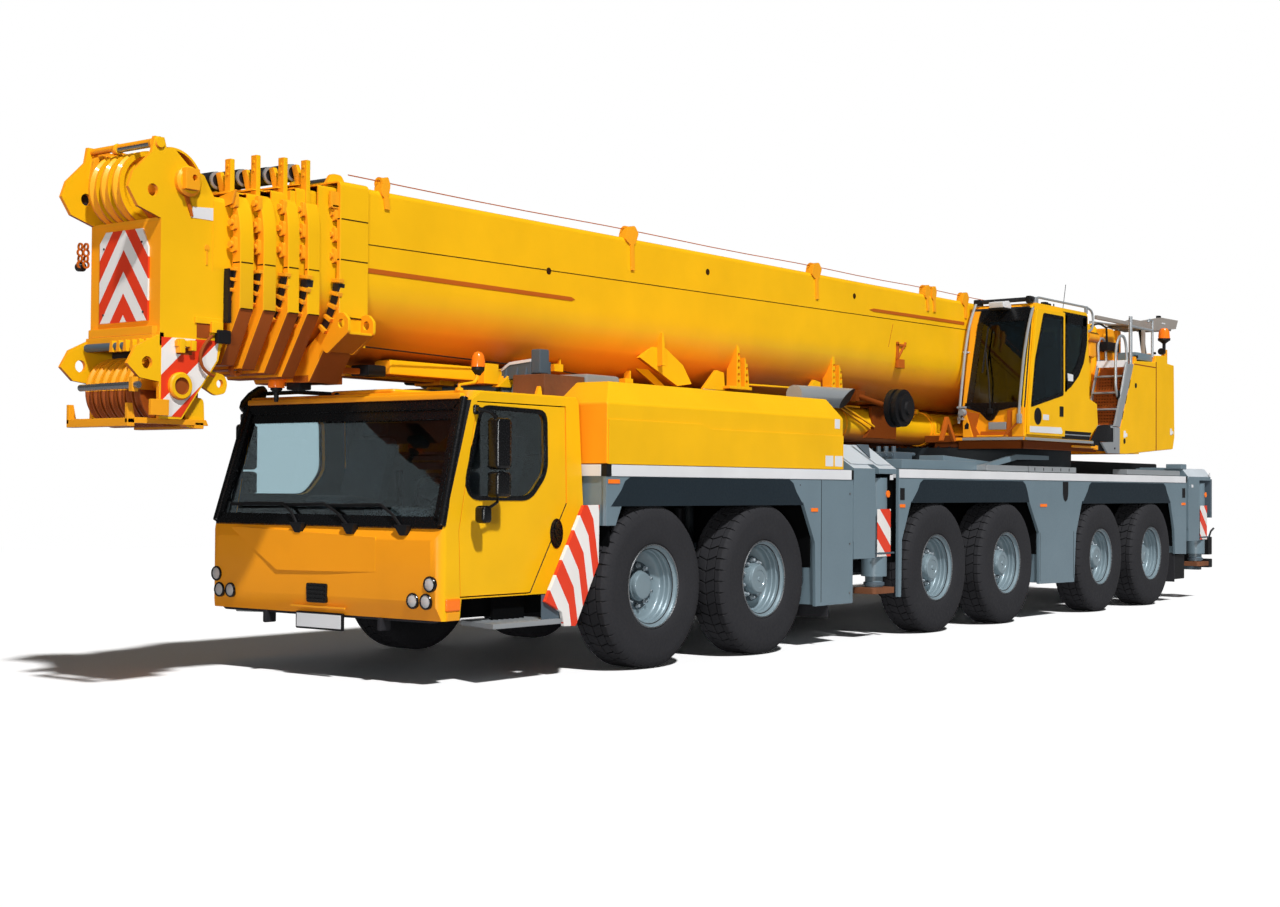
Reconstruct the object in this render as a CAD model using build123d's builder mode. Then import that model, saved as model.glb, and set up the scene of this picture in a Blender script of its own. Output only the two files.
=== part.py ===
"""Six-axle all-terrain mobile crane, parked with its telescopic boom lowered over the cab.

Millimetres.  The front faces -Y, +X is the left side and +Z is up.  The origin is on the ground at the
middle of the whole machine.  Lengthwise positions in this file are measured back from the front axle,
and side_plane, front_plane and at turn them into the shared frame.
"""

from build123d import *
import os

os.makedirs("parts", exist_ok=True)

# ---------------------------------------------------------------- driving dimensions
FRONT_AXLE_Y = -4400            # front axle in the shared frame
HALF_WIDTH = 1500               # over the side panels
AXLES = (0, 1650, 4930, 6580, 9210, 10860)

TYRE_R = 675
TYRE_INNER_X = 1115
RIM_FACE_X = 1471
KINGPIN_X = 1175
HUB_BORE_R = 62
SPINDLE_R = 60

FRAME_HALF = 500
FRAME_BOTTOM = 900
FRAME_TOP = 1640
FRONT_DECK_TOP = 1668
REAR_DECK_TOP = 1690
PANEL = 20

CAB_HALF = 1275
CAB_WALL = 50
CAB_FLOOR_BOTTOM = 900
CAB_FLOOR_TOP = 950

SLEW_Y = 8500                   # slewing axis
RING_R = 1280
RING_TOP = 1985
TURNTABLE_BOTTOM = 1990
TURNTABLE_DECK = 2060

BOOM_PIVOT = (11200, 3200)      # behind the front axle, height
LUFF_BASE = (8600, 2210)
LUFF_EYE = (3350, 2210)
LUFF_BARREL_R = 195
LUFF_ROD_R = 110

BASE_HALF = 600                 # half-width of the base section
BASE_TOP = 3710
BASE_BOTTOM = 2430
TUBE_STEP = 42                  # each section is this much smaller all round
TUBE_WALL = 14
TUBE_REAR = 10100

JACK_X = 1350
BEAM_Z = 1250
BEAM_HEIGHT = 420
BEAM_WIDTH = 330
TUNNEL_CLEARANCE = 10


# ---------------------------------------------------------------- placing
def side_plane(x):
    """Upright plane facing +X: local x runs rearwards from the front axle and local y runs up."""
    return Plane(origin=(x, FRONT_AXLE_Y, 0), x_dir=(0, 1, 0), z_dir=(1, 0, 0))


def front_plane(back):
    """Upright plane facing forwards, the given way behind the front axle: local x is X, local y is up."""
    return Plane(origin=(0, FRONT_AXLE_Y + back, 0), x_dir=(1, 0, 0), z_dir=(0, -1, 0))


def at(x, back, z):
    """Point in the shared frame from X, the way behind the front axle and the height."""
    return (x, FRONT_AXLE_Y + back, z)


def block(x, back, z, mode=Mode.ADD):
    """Box between the low and high ends of each pair: X, the way behind the front axle, height."""
    with Locations(at((x[0] + x[1]) / 2, (back[0] + back[1]) / 2, (z[0] + z[1]) / 2)):
        Box(x[1] - x[0], back[1] - back[0], z[1] - z[0], mode=mode)


def bar_x(x, back, z, radius, mode=Mode.ADD):
    """Round bar across the machine between two X values."""
    with Locations(Location(at((x[0] + x[1]) / 2, back, z), (0, 90, 0))):
        Cylinder(radius, x[1] - x[0], mode=mode)


def bar_y(x, back, z, radius, mode=Mode.ADD):
    """Round bar along the machine between two lengthwise positions."""
    with Locations(Location(at(x, (back[0] + back[1]) / 2, z), (90, 0, 0))):
        Cylinder(radius, back[1] - back[0], mode=mode)


def bar_z(x, back, z, radius, mode=Mode.ADD):
    """Upright round bar between two heights."""
    with Locations(at(x, back, (z[0] + z[1]) / 2)):
        Cylinder(radius, z[1] - z[0], mode=mode)


def plate(x, outline, mode=Mode.ADD):
    """Flat piece with a side outline of (back, height) corners, between two X values."""
    with BuildSketch(side_plane(x[0])) as face:
        Polygon(*outline, align=None)
    extrude(face.sketch, amount=x[1] - x[0], mode=mode)


def prism_y(back, outline, mode=Mode.ADD):
    """Piece with a front outline of (X, height) corners, between two lengthwise positions."""
    with BuildSketch(front_plane(back[1])) as face:
        Polygon(*outline, align=None)
    extrude(face.sketch, amount=back[1] - back[0], mode=mode)


def finish(part, name):
    """Label a finished piece and write it."""
    part.label = name
    export_step(part, f"parts/{name}.step")


SIDES = (("left", 1), ("right", -1))

# ---------------------------------------------------------------- wheels
# Half section through tyre, rim and hub: (X, radius) from the hub bore round the inner side to the outer.
WHEEL_SECTION = (
    (1275, HUB_BORE_R), (1275, 250), (1255, 300), (1128, 304), (1118, 345),
    (TYRE_INNER_X, 420), (TYRE_INNER_X, 560), (1136, 625), (1165, 668), (1190, TYRE_R),
    (1425, TYRE_R), (1450, 668), (1479, 625), (HALF_WIDTH, 560), (HALF_WIDTH, 420), (1482, 345),
    (RIM_FACE_X, 320), (1440, 305), (1318, 296), (1297, 250), (1297, 128), (1365, 110),
    (1365, 0), (1330, 0), (1330, HUB_BORE_R),
)

for axle, axle_back in enumerate(AXLES, start=1):
    for side, sign in SIDES:
        with BuildPart() as wheel:
            with BuildSketch(Plane(origin=at(0, axle_back, TYRE_R), x_dir=(1, 0, 0), z_dir=(0, -1, 0))):
                Polygon(*[(sign * x, radius) for x, radius in WHEEL_SECTION], align=None)
            revolve(axis=Axis(at(0, axle_back, TYRE_R), (1, 0, 0)))
        finish(wheel.part, f"wheel_{axle}_{side}")

# ---------------------------------------------------------------- steering knuckles
EAR_GAP = 100                   # from the wheel centre to the inner face of each ear
EAR = 30
PLATE_X = (1238, 1266)
PIN_R = 25

for axle, axle_back in enumerate(AXLES, start=1):
    for side, sign in SIDES:
        inner_x, outer_x = PLATE_X
        with BuildPart() as knuckle:
            for ear_sign in (1, -1):
                ear_z = sorted((TYRE_R + ear_sign * EAR_GAP, TYRE_R + ear_sign * (EAR_GAP + EAR)))
                bar_z(sign * KINGPIN_X, axle_back, ear_z, 62)
                block(sorted((sign * KINGPIN_X, sign * outer_x)), (axle_back - 55, axle_back + 55), ear_z)
            block(sorted((sign * inner_x, sign * outer_x)), (axle_back - 75, axle_back + 75),
                  (TYRE_R - EAR_GAP - EAR, TYRE_R + EAR_GAP + EAR))
            bar_x(sorted((sign * outer_x, sign * 1325)), axle_back, TYRE_R, SPINDLE_R)
            bar_z(sign * KINGPIN_X, axle_back, (TYRE_R - 200, TYRE_R + 200), PIN_R + 2, mode=Mode.SUBTRACT)
        finish(knuckle.part, f"knuckle_{axle}_{side}")

# ---------------------------------------------------------------- axle beams with their struts
with BuildPart() as axle_beams:
    for axle_back in AXLES:
        deck_bottom = FRAME_TOP if axle_back < 3000 else REAR_DECK_TOP - 30
        block((-1150, 1150), (axle_back - 70, axle_back + 70), (TYRE_R - 80, TYRE_R + 80))
        bar_x((-210, 210), axle_back, TYRE_R, 190)
        for side, sign in SIDES:
            bar_z(sign * KINGPIN_X, axle_back, (TYRE_R - 92, TYRE_R + 92), 55)
            bar_z(sign * KINGPIN_X, axle_back, (TYRE_R - 128, TYRE_R + 128), PIN_R)
            bar_z(sign * 640, axle_back, (TYRE_R, deck_bottom), 50)
finish(axle_beams.part, "axle_beams")

# ---------------------------------------------------------------- outriggers
# name, lengthwise centre of the beam, side its jack is on, tunnel edges lengthwise
OUTRIGGERS = (
    ("front_left", 3840, 1, (3625, 4055)),
    ("front_right", 3400, -1, (3190, 3615)),
    ("rear_left", 12820, 1, (12605, 13035)),
    ("rear_right", 12380, -1, (12165, 12595)),
)
TUNNEL_Z = (980, 1520)
JACK_BORE_R = 93
JACK_ROD_R = 88
HOUSING_Z = (620, 1600)
PAD_Z = (450, 510)

for name, back, sign, tunnel in OUTRIGGERS:
    with BuildPart() as beam:
        block(sorted((-sign * 1380, sign * 1260)), (back - BEAM_WIDTH / 2, back + BEAM_WIDTH / 2),
              (BEAM_Z - BEAM_HEIGHT / 2, BEAM_Z + BEAM_HEIGHT / 2))
        bar_z(sign * JACK_X, back, HOUSING_Z, 128)
        bar_z(sign * JACK_X, back, (0, HOUSING_Z[1] - 40), JACK_BORE_R, mode=Mode.SUBTRACT)
    finish(beam.part, f"outrigger_beam_{name}")
    with BuildPart() as jack:
        bar_z(sign * JACK_X, back, (PAD_Z[1], HOUSING_Z[1] - 60), JACK_ROD_R)
        with BuildSketch(Plane(origin=at(sign * JACK_X, back, PAD_Z[0]))):
            RectangleRounded(260, 420, 40)
        extrude(amount=PAD_Z[1] - PAD_Z[0])
    finish(jack.part, f"outrigger_jack_{name}")

# ---------------------------------------------------------------- carrier frame
HORN = ((-400, 400), (-2150, -300), (640, FRAME_BOTTOM))
OUTRIGGER_TOP_OUTLINE = ((500, 1640), (1490, 1640), (1490, 1690), (1120, 1930), (620, 1930), (500, 1860))
REAR_TOP_OUTLINE = ((500, 1640), (1490, 1640), (1490, 1690), (1400, 1800), (500, 1800))
STEP = ((1150, 1450), (-1930, -1185), (435, 475))
JAW = ((-90, 90), (13030, 13190), (905, 995))
JAW_PIN = (13125, 25.5)         # behind the front axle, bore radius

def cut_channels():
    """Open each outrigger's channel, from its outer end to just short of the far side."""
    for name, back, sign, tunnel in OUTRIGGERS:
        half_width = BEAM_WIDTH / 2 + TUNNEL_CLEARANCE
        half_height = BEAM_HEIGHT / 2 + TUNNEL_CLEARANCE
        block(sorted((sign * 1300, -sign * 1430)), (back - half_width, back + half_width),
              (BEAM_Z - half_height, BEAM_Z + half_height), mode=Mode.SUBTRACT)


with BuildPart() as carrier_frame:
    block((-FRAME_HALF, FRAME_HALF), (-600, 13040), (FRAME_BOTTOM, FRAME_TOP))
    block((-FRAME_HALF, FRAME_HALF), (3050, 13040), (FRAME_TOP, REAR_DECK_TOP))
    block(*HORN)
    bar_z(0, SLEW_Y, (REAR_DECK_TOP, RING_TOP), RING_R)
    block((-1300, 1300), (13110, 13210), (380, 490))
    block(*JAW)
    bar_z(0, JAW_PIN[0], (JAW[2][0] - 5, JAW[2][1] + 5), JAW_PIN[1], mode=Mode.SUBTRACT)
    for side, sign in SIDES:
        block(sorted((sign * 350, sign * 450)), (13000, 13160), (400, 1000))
    cut_channels()
finish(carrier_frame.part, "carrier_frame")

with BuildPart() as outrigger_boxes:
    for side, sign in SIDES:
        for back in ((3200, 3560), (3690, 4040)):
            prism_y(back, [(sign * x, z) for x, z in OUTRIGGER_TOP_OUTLINE])
        prism_y((12165, 13040), [(sign * x, z) for x, z in REAR_TOP_OUTLINE])
    for name, back, sign, tunnel in OUTRIGGERS:
        block(sorted((sign * 1205, -sign * 1495)), tunnel, TUNNEL_Z)
        block(sorted((-sign * 1450, -sign * 1495)), (tunnel[0] + 8, tunnel[1] - 8), (810, 1690))
    block((-FRAME_HALF, FRAME_HALF), (3000, 13200), (800, 1900), mode=Mode.SUBTRACT)
    cut_channels()
finish(outrigger_boxes.part, "outrigger_boxes")

with BuildPart() as cab_steps:
    for side, sign in SIDES:
        block(sorted((sign * 400, sign * 1200)), (-1600, -1450), (640, 700))
        block(sorted((sign * 1150, sign * 1200)), (-1700, -1350), (475, 700))
        block(sorted((sign * STEP[0][0], sign * STEP[0][1])), STEP[1], STEP[2])
finish(cab_steps.part, "cab_steps")

# ---------------------------------------------------------------- side panels over the wheels
ARCH_TOP = 1360
FRONT_PANEL = (
    (-655, FRONT_DECK_TOP), (-655, 1180), (-592, ARCH_TOP), (2282, ARCH_TOP), (2496, 981),
    (2511, 388), (3188, 388), (3188, FRONT_DECK_TOP),
)
REAR_PANEL = (
    (4090, REAR_DECK_TOP), (4090, 404), (4146, 404), (4160, 980), (4347, ARCH_TOP), (7131, ARCH_TOP),
    (7401, 996), (7404, 408), (8386, 394), (8441, 979), (8616, ARCH_TOP), (11505, ARCH_TOP),
    (11652, 981), (11689, 645), (12099, 635), (12099, REAR_DECK_TOP),
)
STRIPED_GUARD = ((-859, 1344), (-705, 1344), (-715, 930), (-960, 400), (-1094, 407), (-1321, 608))
# cabinets behind the panels: lengthwise ends, height ends
CABINETS = (((2530, 3188), (400, 1640)), ((7425, 8370), (420, 1660)), ((11705, 12095), (650, 1660)))

with BuildPart() as side_fenders:
    for side, sign in SIDES:
        skin = sorted((sign * (HALF_WIDTH - PANEL), sign * HALF_WIDTH))
        deck = sorted((sign * FRAME_HALF, sign * (HALF_WIDTH - PANEL)))
        plate(skin, FRONT_PANEL)
        block(deck, (-640, 3188), (FRAME_TOP, FRONT_DECK_TOP))
        block(sorted((sign * 1300, sign * HALF_WIDTH)), (-655, -635), (1200, FRONT_DECK_TOP))
        plate(sorted((sign * 1400, sign * 1430)), STRIPED_GUARD)
        block(sorted((sign * 1400, sign * HALF_WIDTH)), (-725, -640), (1200, 1340))
        plate(skin, REAR_PANEL)
        block(deck, (4090, 12099), (REAR_DECK_TOP - 30, REAR_DECK_TOP))
        for back, height in CABINETS:
            block(sorted((sign * 1000, sign * (HALF_WIDTH - PANEL))), back, height)
finish(side_fenders.part, "side_fenders")

# ---------------------------------------------------------------- carrier cab
CAB_OUTLINE = (
    (-2290, 500), (-2335, 640), (-2335, 1080), (-2290, 1170), (-2000, 2130), (-1900, 2190),
    (-770, 2190), (-745, 2150), (-680, 1352), (-1021, 655), (-2090, 655), (-2110, 500),
)
CAB_INSIDE = (
    (-2270, CAB_FLOOR_TOP), (-2270, 1110), (-2235, 1180), (-1960, 2090), (-1890, 2140),
    (-815, 2140), (-795, 2110), (-733, 1362), (-930, CAB_FLOOR_TOP),
)
CAB_UNDERSIDE = (
    (-2270, 450), (-2285, 640), (-2285, CAB_FLOOR_BOTTOM), (-880, CAB_FLOOR_BOTTOM), (-1060, 655), (-1060, 450),
)
DOOR_OUTLINE = (
    (-2100, 672), (-2120, 1160), (-1930, 2115), (-914, 2115), (-890, 1360), (-1320, 672),
)
DOOR_OPENING = (
    (-2106, 664), (-2128, 1160), (-1936, 2123), (-906, 2123), (-882, 1358), (-1316, 664),
)
DOOR_WINDOW = (
    (-2040, 1490), (-1990, 1400), (-1320, 1400), (-1130, 1600), (-1150, 2065), (-1870, 2065),
)
SCREEN_Z = (1225, 2050)

with BuildPart() as carrier_cab:
    plate((-CAB_HALF, CAB_HALF), CAB_OUTLINE)
    with BuildSketch(Plane(origin=at(0, -1335, 0))) as plan:
        RectangleRounded(2 * CAB_HALF, 2000, 90)
    extrude(plan.sketch, amount=3000, mode=Mode.INTERSECT)
    plate((-CAB_HALF + CAB_WALL, CAB_HALF - CAB_WALL), CAB_INSIDE, mode=Mode.SUBTRACT)
    plate((-CAB_HALF + CAB_WALL, CAB_HALF - CAB_WALL), CAB_UNDERSIDE, mode=Mode.SUBTRACT)
    block((-400, 400), (-1200, -600), (600, CAB_FLOOR_BOTTOM), mode=Mode.SUBTRACT)
    block((-1170, 1170), (-2500, -1850), SCREEN_Z, mode=Mode.SUBTRACT)
    for side, sign in SIDES:
        plate(sorted((sign * (CAB_HALF - CAB_WALL - 5), sign * (CAB_HALF + 5))), DOOR_OPENING, mode=Mode.SUBTRACT)
finish(carrier_cab.part, "carrier_cab")

WINDSCREEN = ((-2266, 1228), (-2256, 1228), (-2009, 2047), (-2019, 2047))

with BuildPart() as windscreen:
    plate((-1166, 1166), WINDSCREEN)
finish(windscreen.part, "windscreen")

for side, sign in SIDES:
    with BuildPart() as cab_door:
        plate(sorted((sign * (CAB_HALF - CAB_WALL), sign * CAB_HALF)), DOOR_OUTLINE)
        plate(sorted((sign * (CAB_HALF - CAB_WALL - 5), sign * (CAB_HALF + 5))), DOOR_WINDOW, mode=Mode.SUBTRACT)
        block(sorted((sign * (CAB_HALF - 10), sign * 1400)), (-1990, -1950), (1330, 1360))
        bar_z(sign * 1400, -1970, (1330, 1500), 16)
        block(sorted((sign * 1360, sign * 1485)), (-1930, -1780), (1440, 1990))
        block(sorted((sign * 1384, sign * 1416)), (-1985, -1920), (1455, 1500))
    finish(cab_door.part, f"cab_door_{side}")

# ---------------------------------------------------------------- engine cover, engine, boom rest
COVER_BACK = (-650, 3000)
COVER_OUTLINE = (
    (-HALF_WIDTH, 1672), (-HALF_WIDTH, 2160), (-1300, 2350), (1300, 2350), (HALF_WIDTH, 2160), (HALF_WIDTH, 1672),
)
COVER_INSIDE = (
    (-1470, 1600), (-1470, 2148), (-1287, 2320), (1287, 2320), (1470, 2148), (1470, 1600),
)

with BuildPart() as engine_cover:
    prism_y(COVER_BACK, COVER_OUTLINE)
    prism_y((COVER_BACK[0] + 30, COVER_BACK[1] - 30), COVER_INSIDE, mode=Mode.SUBTRACT)
finish(engine_cover.part, "engine_cover")

with BuildPart() as engine_block:
    block((-450, 450), (300, 2000), (FRAME_TOP, 2250))
finish(engine_block.part, "engine_block")

with BuildPart() as boom_rest:
    block((-420, 420), (-600, -350), (2350, 2395))
    block((-260, 260), (-560, -390), (2395, 2420))
finish(boom_rest.part, "boom_rest")

# ---------------------------------------------------------------- turntable
SLOT_HALF = 213
LUG_X = (214, 262)
SIDE_PLATE_X = (620, 670)
SIDE_PLATE_OUTLINE = (
    (9300, TURNTABLE_DECK), (9300, 2450), (10600, 3350), (10950, 3500), (11450, 3500), (11690, 3250),
    (11690, TURNTABLE_DECK),
)
GIRDER_OUTLINE = ((7250, 2060), (7250, 2150), (8200, 2395), (10900, 2395), (10900, 2060))
BOOM_PIN_R = 90
LUFF_PIN_R = 70
SEAT_BACK = (11300, 11740)      # where counterweight slabs sit down

with BuildPart() as turntable:
    bar_z(0, SLEW_Y, (TURNTABLE_BOTTOM, TURNTABLE_DECK), 1250)
    block((620, 1487), (7020, 8950), (TURNTABLE_DECK, 2095))
    block((-1487, -620), (7020, 11690), (TURNTABLE_DECK, 2095))
    block((-620, 620), (8900, 12600), (2010, 2140))
    block((-430, 430), SEAT_BACK, (2140, 2160))
    for side, sign in SIDES:
        plate(sorted((sign * SIDE_PLATE_X[0], sign * SIDE_PLATE_X[1])), SIDE_PLATE_OUTLINE)
        plate(sorted((sign * LUG_X[0], sign * 620)), GIRDER_OUTLINE)
    block((-SLOT_HALF, SLOT_HALF), (6900, 8860), (1900, 2600), mode=Mode.SUBTRACT)
    bar_x((-LUG_X[1], LUG_X[1]), LUFF_BASE[0], LUFF_BASE[1], LUFF_PIN_R)
    bar_x((-SIDE_PLATE_X[1], SIDE_PLATE_X[1]), BOOM_PIVOT[0], BOOM_PIVOT[1], BOOM_PIN_R)
finish(turntable.part, "turntable")

# ---------------------------------------------------------------- crane cab
CRANE_CAB_X = (676, 1440)
CRANE_CAB_WALL = 45
CRANE_CAB_OUTLINE = (
    (7100, 2100), (7130, 2435), (7286, 3411), (7370, 3620), (7420, 3660), (8840, 3660), (8885, 3620),
    (8944, 2611), (9170, 2556), (9203, 2300), (8900, 2100),
)
CRANE_CAB_INSIDE = (
    (7150, 2150), (7176, 2430), (7331, 3400), (7405, 3585), (7435, 3610), (8815, 3610), (8840, 3590),
    (8895, 2640), (8860, 2150),
)
CRANE_DOOR_OUTLINE = ((7165, 2160), (7345, 3590), (8120, 3600), (8120, 2160))
CRANE_DOOR_OPENING = ((7215, 2200), (7385, 3550), (8080, 3560), (8080, 2200))
CRANE_DOOR_WINDOW = ((7215, 2480), (7300, 2950), (7500, 3520), (8050, 3545), (8050, 2640))
REAR_SIDE_WINDOW = ((8165, 2690), (8520, 2885), (8735, 3200), (8745, 3560), (8165, 3570))

with BuildPart() as crane_cab:
    plate(CRANE_CAB_X, CRANE_CAB_OUTLINE)
    plate((CRANE_CAB_X[0] + CRANE_CAB_WALL, CRANE_CAB_X[1] - CRANE_CAB_WALL), CRANE_CAB_INSIDE, mode=Mode.SUBTRACT)
    block((760, 1356), (6900, 7420), (2480, 3540), mode=Mode.SUBTRACT)
    plate((1390, 1450), CRANE_DOOR_OPENING, mode=Mode.SUBTRACT)
    plate((1390, 1450), REAR_SIDE_WINDOW, mode=Mode.SUBTRACT)
    block((660, 730), (7500, 8700), (2650, 3500), mode=Mode.SUBTRACT)
    block((760, 1356), (8700, 9000), (2750, 3500), mode=Mode.SUBTRACT)
    bar_z(1150, 8540, (3640, 3990), 8)
finish(crane_cab.part, "crane_cab")

with BuildPart() as crane_cab_door:
    plate((1447, 1487), CRANE_DOOR_OUTLINE)
    plate((1440, 1490), CRANE_DOOR_WINDOW, mode=Mode.SUBTRACT)
finish(crane_cab_door.part, "crane_cab_door")

with BuildPart() as crane_cab_glass:
    plate((762, 1354), ((7160, 2482), (7172, 2482), (7343, 3538), (7331, 3538)))
finish(crane_cab_glass.part, "crane_cab_glass")

# ---------------------------------------------------------------- machinery boxes and winch
LEFT_BOX = (
    (9736, 1950), (10250, 3170), (11030, 3180), (11030, 3250), (11690, 3250), (11690, 2100), (11573, 2030),
)
RIGHT_BOX = ((7600, 2095), (7600, 2900), (10000, 2900), (10250, 3200), (11690, 3200), (11690, 2095))

with BuildPart() as machinery_boxes:
    plate((SIDE_PLATE_X[1], 1480), LEFT_BOX)
    plate((-1480, -SIDE_PLATE_X[1]), RIGHT_BOX)
finish(machinery_boxes.part, "machinery_boxes")

WINCH = (12150, 2550)

with BuildPart() as winch:
    bar_x((-480, 480), WINCH[0], WINCH[1], 300)
    for side, sign in SIDES:
        bar_x(sorted((sign * 440, sign * 480)), WINCH[0], WINCH[1], 390)
        plate(sorted((sign * 480, sign * 540)),
              ((11850, 2140), (11950, 2700), (12350, 2700), (12550, 2140)))
finish(winch.part, "winch")

# ---------------------------------------------------------------- boom
# collar of each section, the base first: front, back, half-width, top, height of the knee, bottom
COLLARS = (
    (-2800, -2430, 620, 3725, 2850, 2250),
    (-3000, -2830, 590, 3680, 2850, 2270),
    (-3190, -3030, 560, 3640, 2850, 2290),
    (-3380, -3220, 530, 3600, 2850, 2310),
    (-3570, -3410, 500, 3560, 2850, 2330),
)
SHOULDER = 40                   # slope at the top corners of a collar
KEEL_HALF = 300                 # half-width of a collar's flat bottom
POST_TOPS = (3846, 3846, 3840, 3819, 3767)
SECTION_NAMES = ("boom_base", "boom_section_1", "boom_section_2", "boom_section_3", "boom_section_4")


def tube(half, top, bottom, back):
    """Hollow boom section with a flat top and a half-round bottom, between two lengthwise positions."""
    knee = bottom + half
    with BuildSketch(front_plane(back[1])) as section:
        with BuildLine():
            Polyline((-half, knee), (-half, top), (half, top), (half, knee))
            ThreePointArc((half, knee), (0, bottom), (-half, knee))
        make_face()
        fillet(section.vertices().group_by(Axis.Y)[-1], radius=45)
        offset(amount=-TUBE_WALL, kind=Kind.INTERSECTION, mode=Mode.SUBTRACT)
    extrude(section.sketch, amount=back[1] - back[0])


def collar(front, back, half, top, knee, bottom, bore_half, bore_top, bore_bottom):
    """Stiff frame round the front end of a boom section, bored for the next section."""
    bore_knee = bore_bottom + bore_half
    with BuildSketch(front_plane(back)) as frame:
        Polygon((-half, knee), (-half, top - SHOULDER), (SHOULDER - half, top), (half - SHOULDER, top),
                (half, top - SHOULDER), (half, knee), (KEEL_HALF, bottom), (-KEEL_HALF, bottom), align=None)
        with BuildLine():
            Polyline((-bore_half, bore_knee), (-bore_half, bore_top), (bore_half, bore_top), (bore_half, bore_knee))
            ThreePointArc((bore_half, bore_knee), (0, bore_bottom), (-bore_half, bore_knee))
        make_face(mode=Mode.SUBTRACT)
    extrude(frame.sketch, amount=back - front)


LUFF_LUG_X = (112, 144)
FOOT_X = (470, 600)
FOOT_R = 280

for index, name in enumerate(SECTION_NAMES):
    half = BASE_HALF - index * TUBE_STEP
    top = BASE_TOP - index * TUBE_STEP
    bottom = BASE_BOTTOM + index * TUBE_STEP
    front, back, collar_half, collar_top, knee, collar_bottom = COLLARS[index]
    with BuildPart() as section_part:
        tube(half, top, bottom, (back, 10700 if index == 0 else TUBE_REAR))
        if index == 0:
            for side, sign in SIDES:
                foot = sorted((sign * FOOT_X[0], sign * FOOT_X[1]))
                plate(foot, ((10250, 2900), (10250, 3640), (11250, 3478), (11150, 2925)))
                bar_x(foot, BOOM_PIVOT[0], BOOM_PIVOT[1], FOOT_R)
            bar_x((-700, 700), BOOM_PIVOT[0], BOOM_PIVOT[1], BOOM_PIN_R + 4, mode=Mode.SUBTRACT)
        else:
            collar(front, back, collar_half, collar_top, knee, collar_bottom,
                   half - TUBE_WALL, top - TUBE_WALL, bottom + TUBE_WALL)
            block((collar_half - 230, collar_half - 150), (front + 20, front + 100),
                  (top - TUBE_WALL + 4, POST_TOPS[index]))
    finish(section_part.part, name)

with BuildPart() as boom_base_fittings:
    front, back, collar_half, collar_top, knee, collar_bottom = COLLARS[0]
    for side, sign in SIDES:
        lug = sorted((sign * LUFF_LUG_X[0], sign * LUFF_LUG_X[1]))
        plate(lug, ((3190, 2460), (3190, 2210), (3520, 2210), (3800, 2460)))
        bar_x(lug, LUFF_EYE[0], LUFF_EYE[1], 158)
    bar_x((-200, 200), LUFF_EYE[0], LUFF_EYE[1], 62, mode=Mode.SUBTRACT)
    bar_y(0, (3000, 4000), BASE_BOTTOM + BASE_HALF, BASE_HALF, mode=Mode.SUBTRACT)
    collar(front, back, collar_half, collar_top, knee, collar_bottom,
           BASE_HALF - TUBE_WALL, BASE_TOP - TUBE_WALL, BASE_BOTTOM + TUBE_WALL)
finish(boom_base_fittings.part, "boom_base_fittings")

# ---------------------------------------------------------------- head section
HEAD_HALF = 385
HEAD_PLATE = 30
HEAD_TUBE_HALF = BASE_HALF - 5 * TUBE_STEP
UPPER_SHEAVES = (-4020, 3530)
LOWER_SHEAVES = (-4060, 2170)
HEAD_SIDE = (
    (-4140, 1930), (-4140, 2180), (-4300, 2200), (-4400, 2290), (-4330, 2410), (-4140, 2500), (-4140, 3290),
    (-4330, 3350), (-4410, 3470), (-4370, 3580), (-4220, 3730), (-4200, 3840), (-4120, 3840), (-4100, 3775),
    (-4030, 3775), (-3916, 3680), (-3780, 3630),
    (-3690, 3490), (-3600, 3440), (-3600, 2500), (-3640, 2350), (-3950, 1930),
)

with BuildPart() as head_section:
    tube(HEAD_TUBE_HALF, BASE_TOP - 5 * TUBE_STEP, BASE_BOTTOM + 5 * TUBE_STEP, (-3700, TUBE_REAR))
    for side, sign in SIDES:
        plate(sorted((sign * (HEAD_HALF - HEAD_PLATE), sign * HEAD_HALF)), HEAD_SIDE)
    block((-HEAD_HALF, HEAD_HALF), (-4140, -4110), (2500, 3275))
    block((-HEAD_HALF, HEAD_HALF), (-3640, -3610), (2560, 3440))
    block((-HEAD_HALF, HEAD_HALF), (-4120, -3620), (2500, 2530))
    bar_x((-HEAD_HALF, HEAD_HALF), UPPER_SHEAVES[0], UPPER_SHEAVES[1], 60)
    bar_x((-HEAD_HALF, HEAD_HALF), LOWER_SHEAVES[0], LOWER_SHEAVES[1], 60)
    bar_x((-HEAD_HALF, HEAD_HALF), -4160, 3812, 24)
    for side, sign in SIDES:
        ear = sorted((sign * (HEAD_HALF - HEAD_PLATE - 5), sign * (HEAD_HALF + 5)))
        bar_x(ear, -4210, 3472, 42, mode=Mode.SUBTRACT)
        bar_x(ear, -4240, 2304, 42, mode=Mode.SUBTRACT)
finish(head_section.part, "boom_head_section")

# sheave sets: lengthwise centre, height, outer radius, X of each sheave
SHEAVE_SETS = (
    (UPPER_SHEAVES, 260, (-190, -60, 70)),
    (LOWER_SHEAVES, 300, (-270, -180, -90, 0, 90, 180, 270)),
)

with BuildPart() as head_sheaves:
    for (back, height), radius, places in SHEAVE_SETS:
        for x in places:
            with BuildSketch(Plane(origin=at(0, back, height), x_dir=(1, 0, 0), z_dir=(0, -1, 0))):
                Polygon((x - 32, 62), (x - 32, radius), (x - 18, radius), (x, radius - 35), (x + 18, radius),
                        (x + 32, radius), (x + 32, 62), align=None)
            revolve(axis=Axis(at(0, back, height), (1, 0, 0)))
finish(head_sheaves.part, "head_sheaves")

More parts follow.
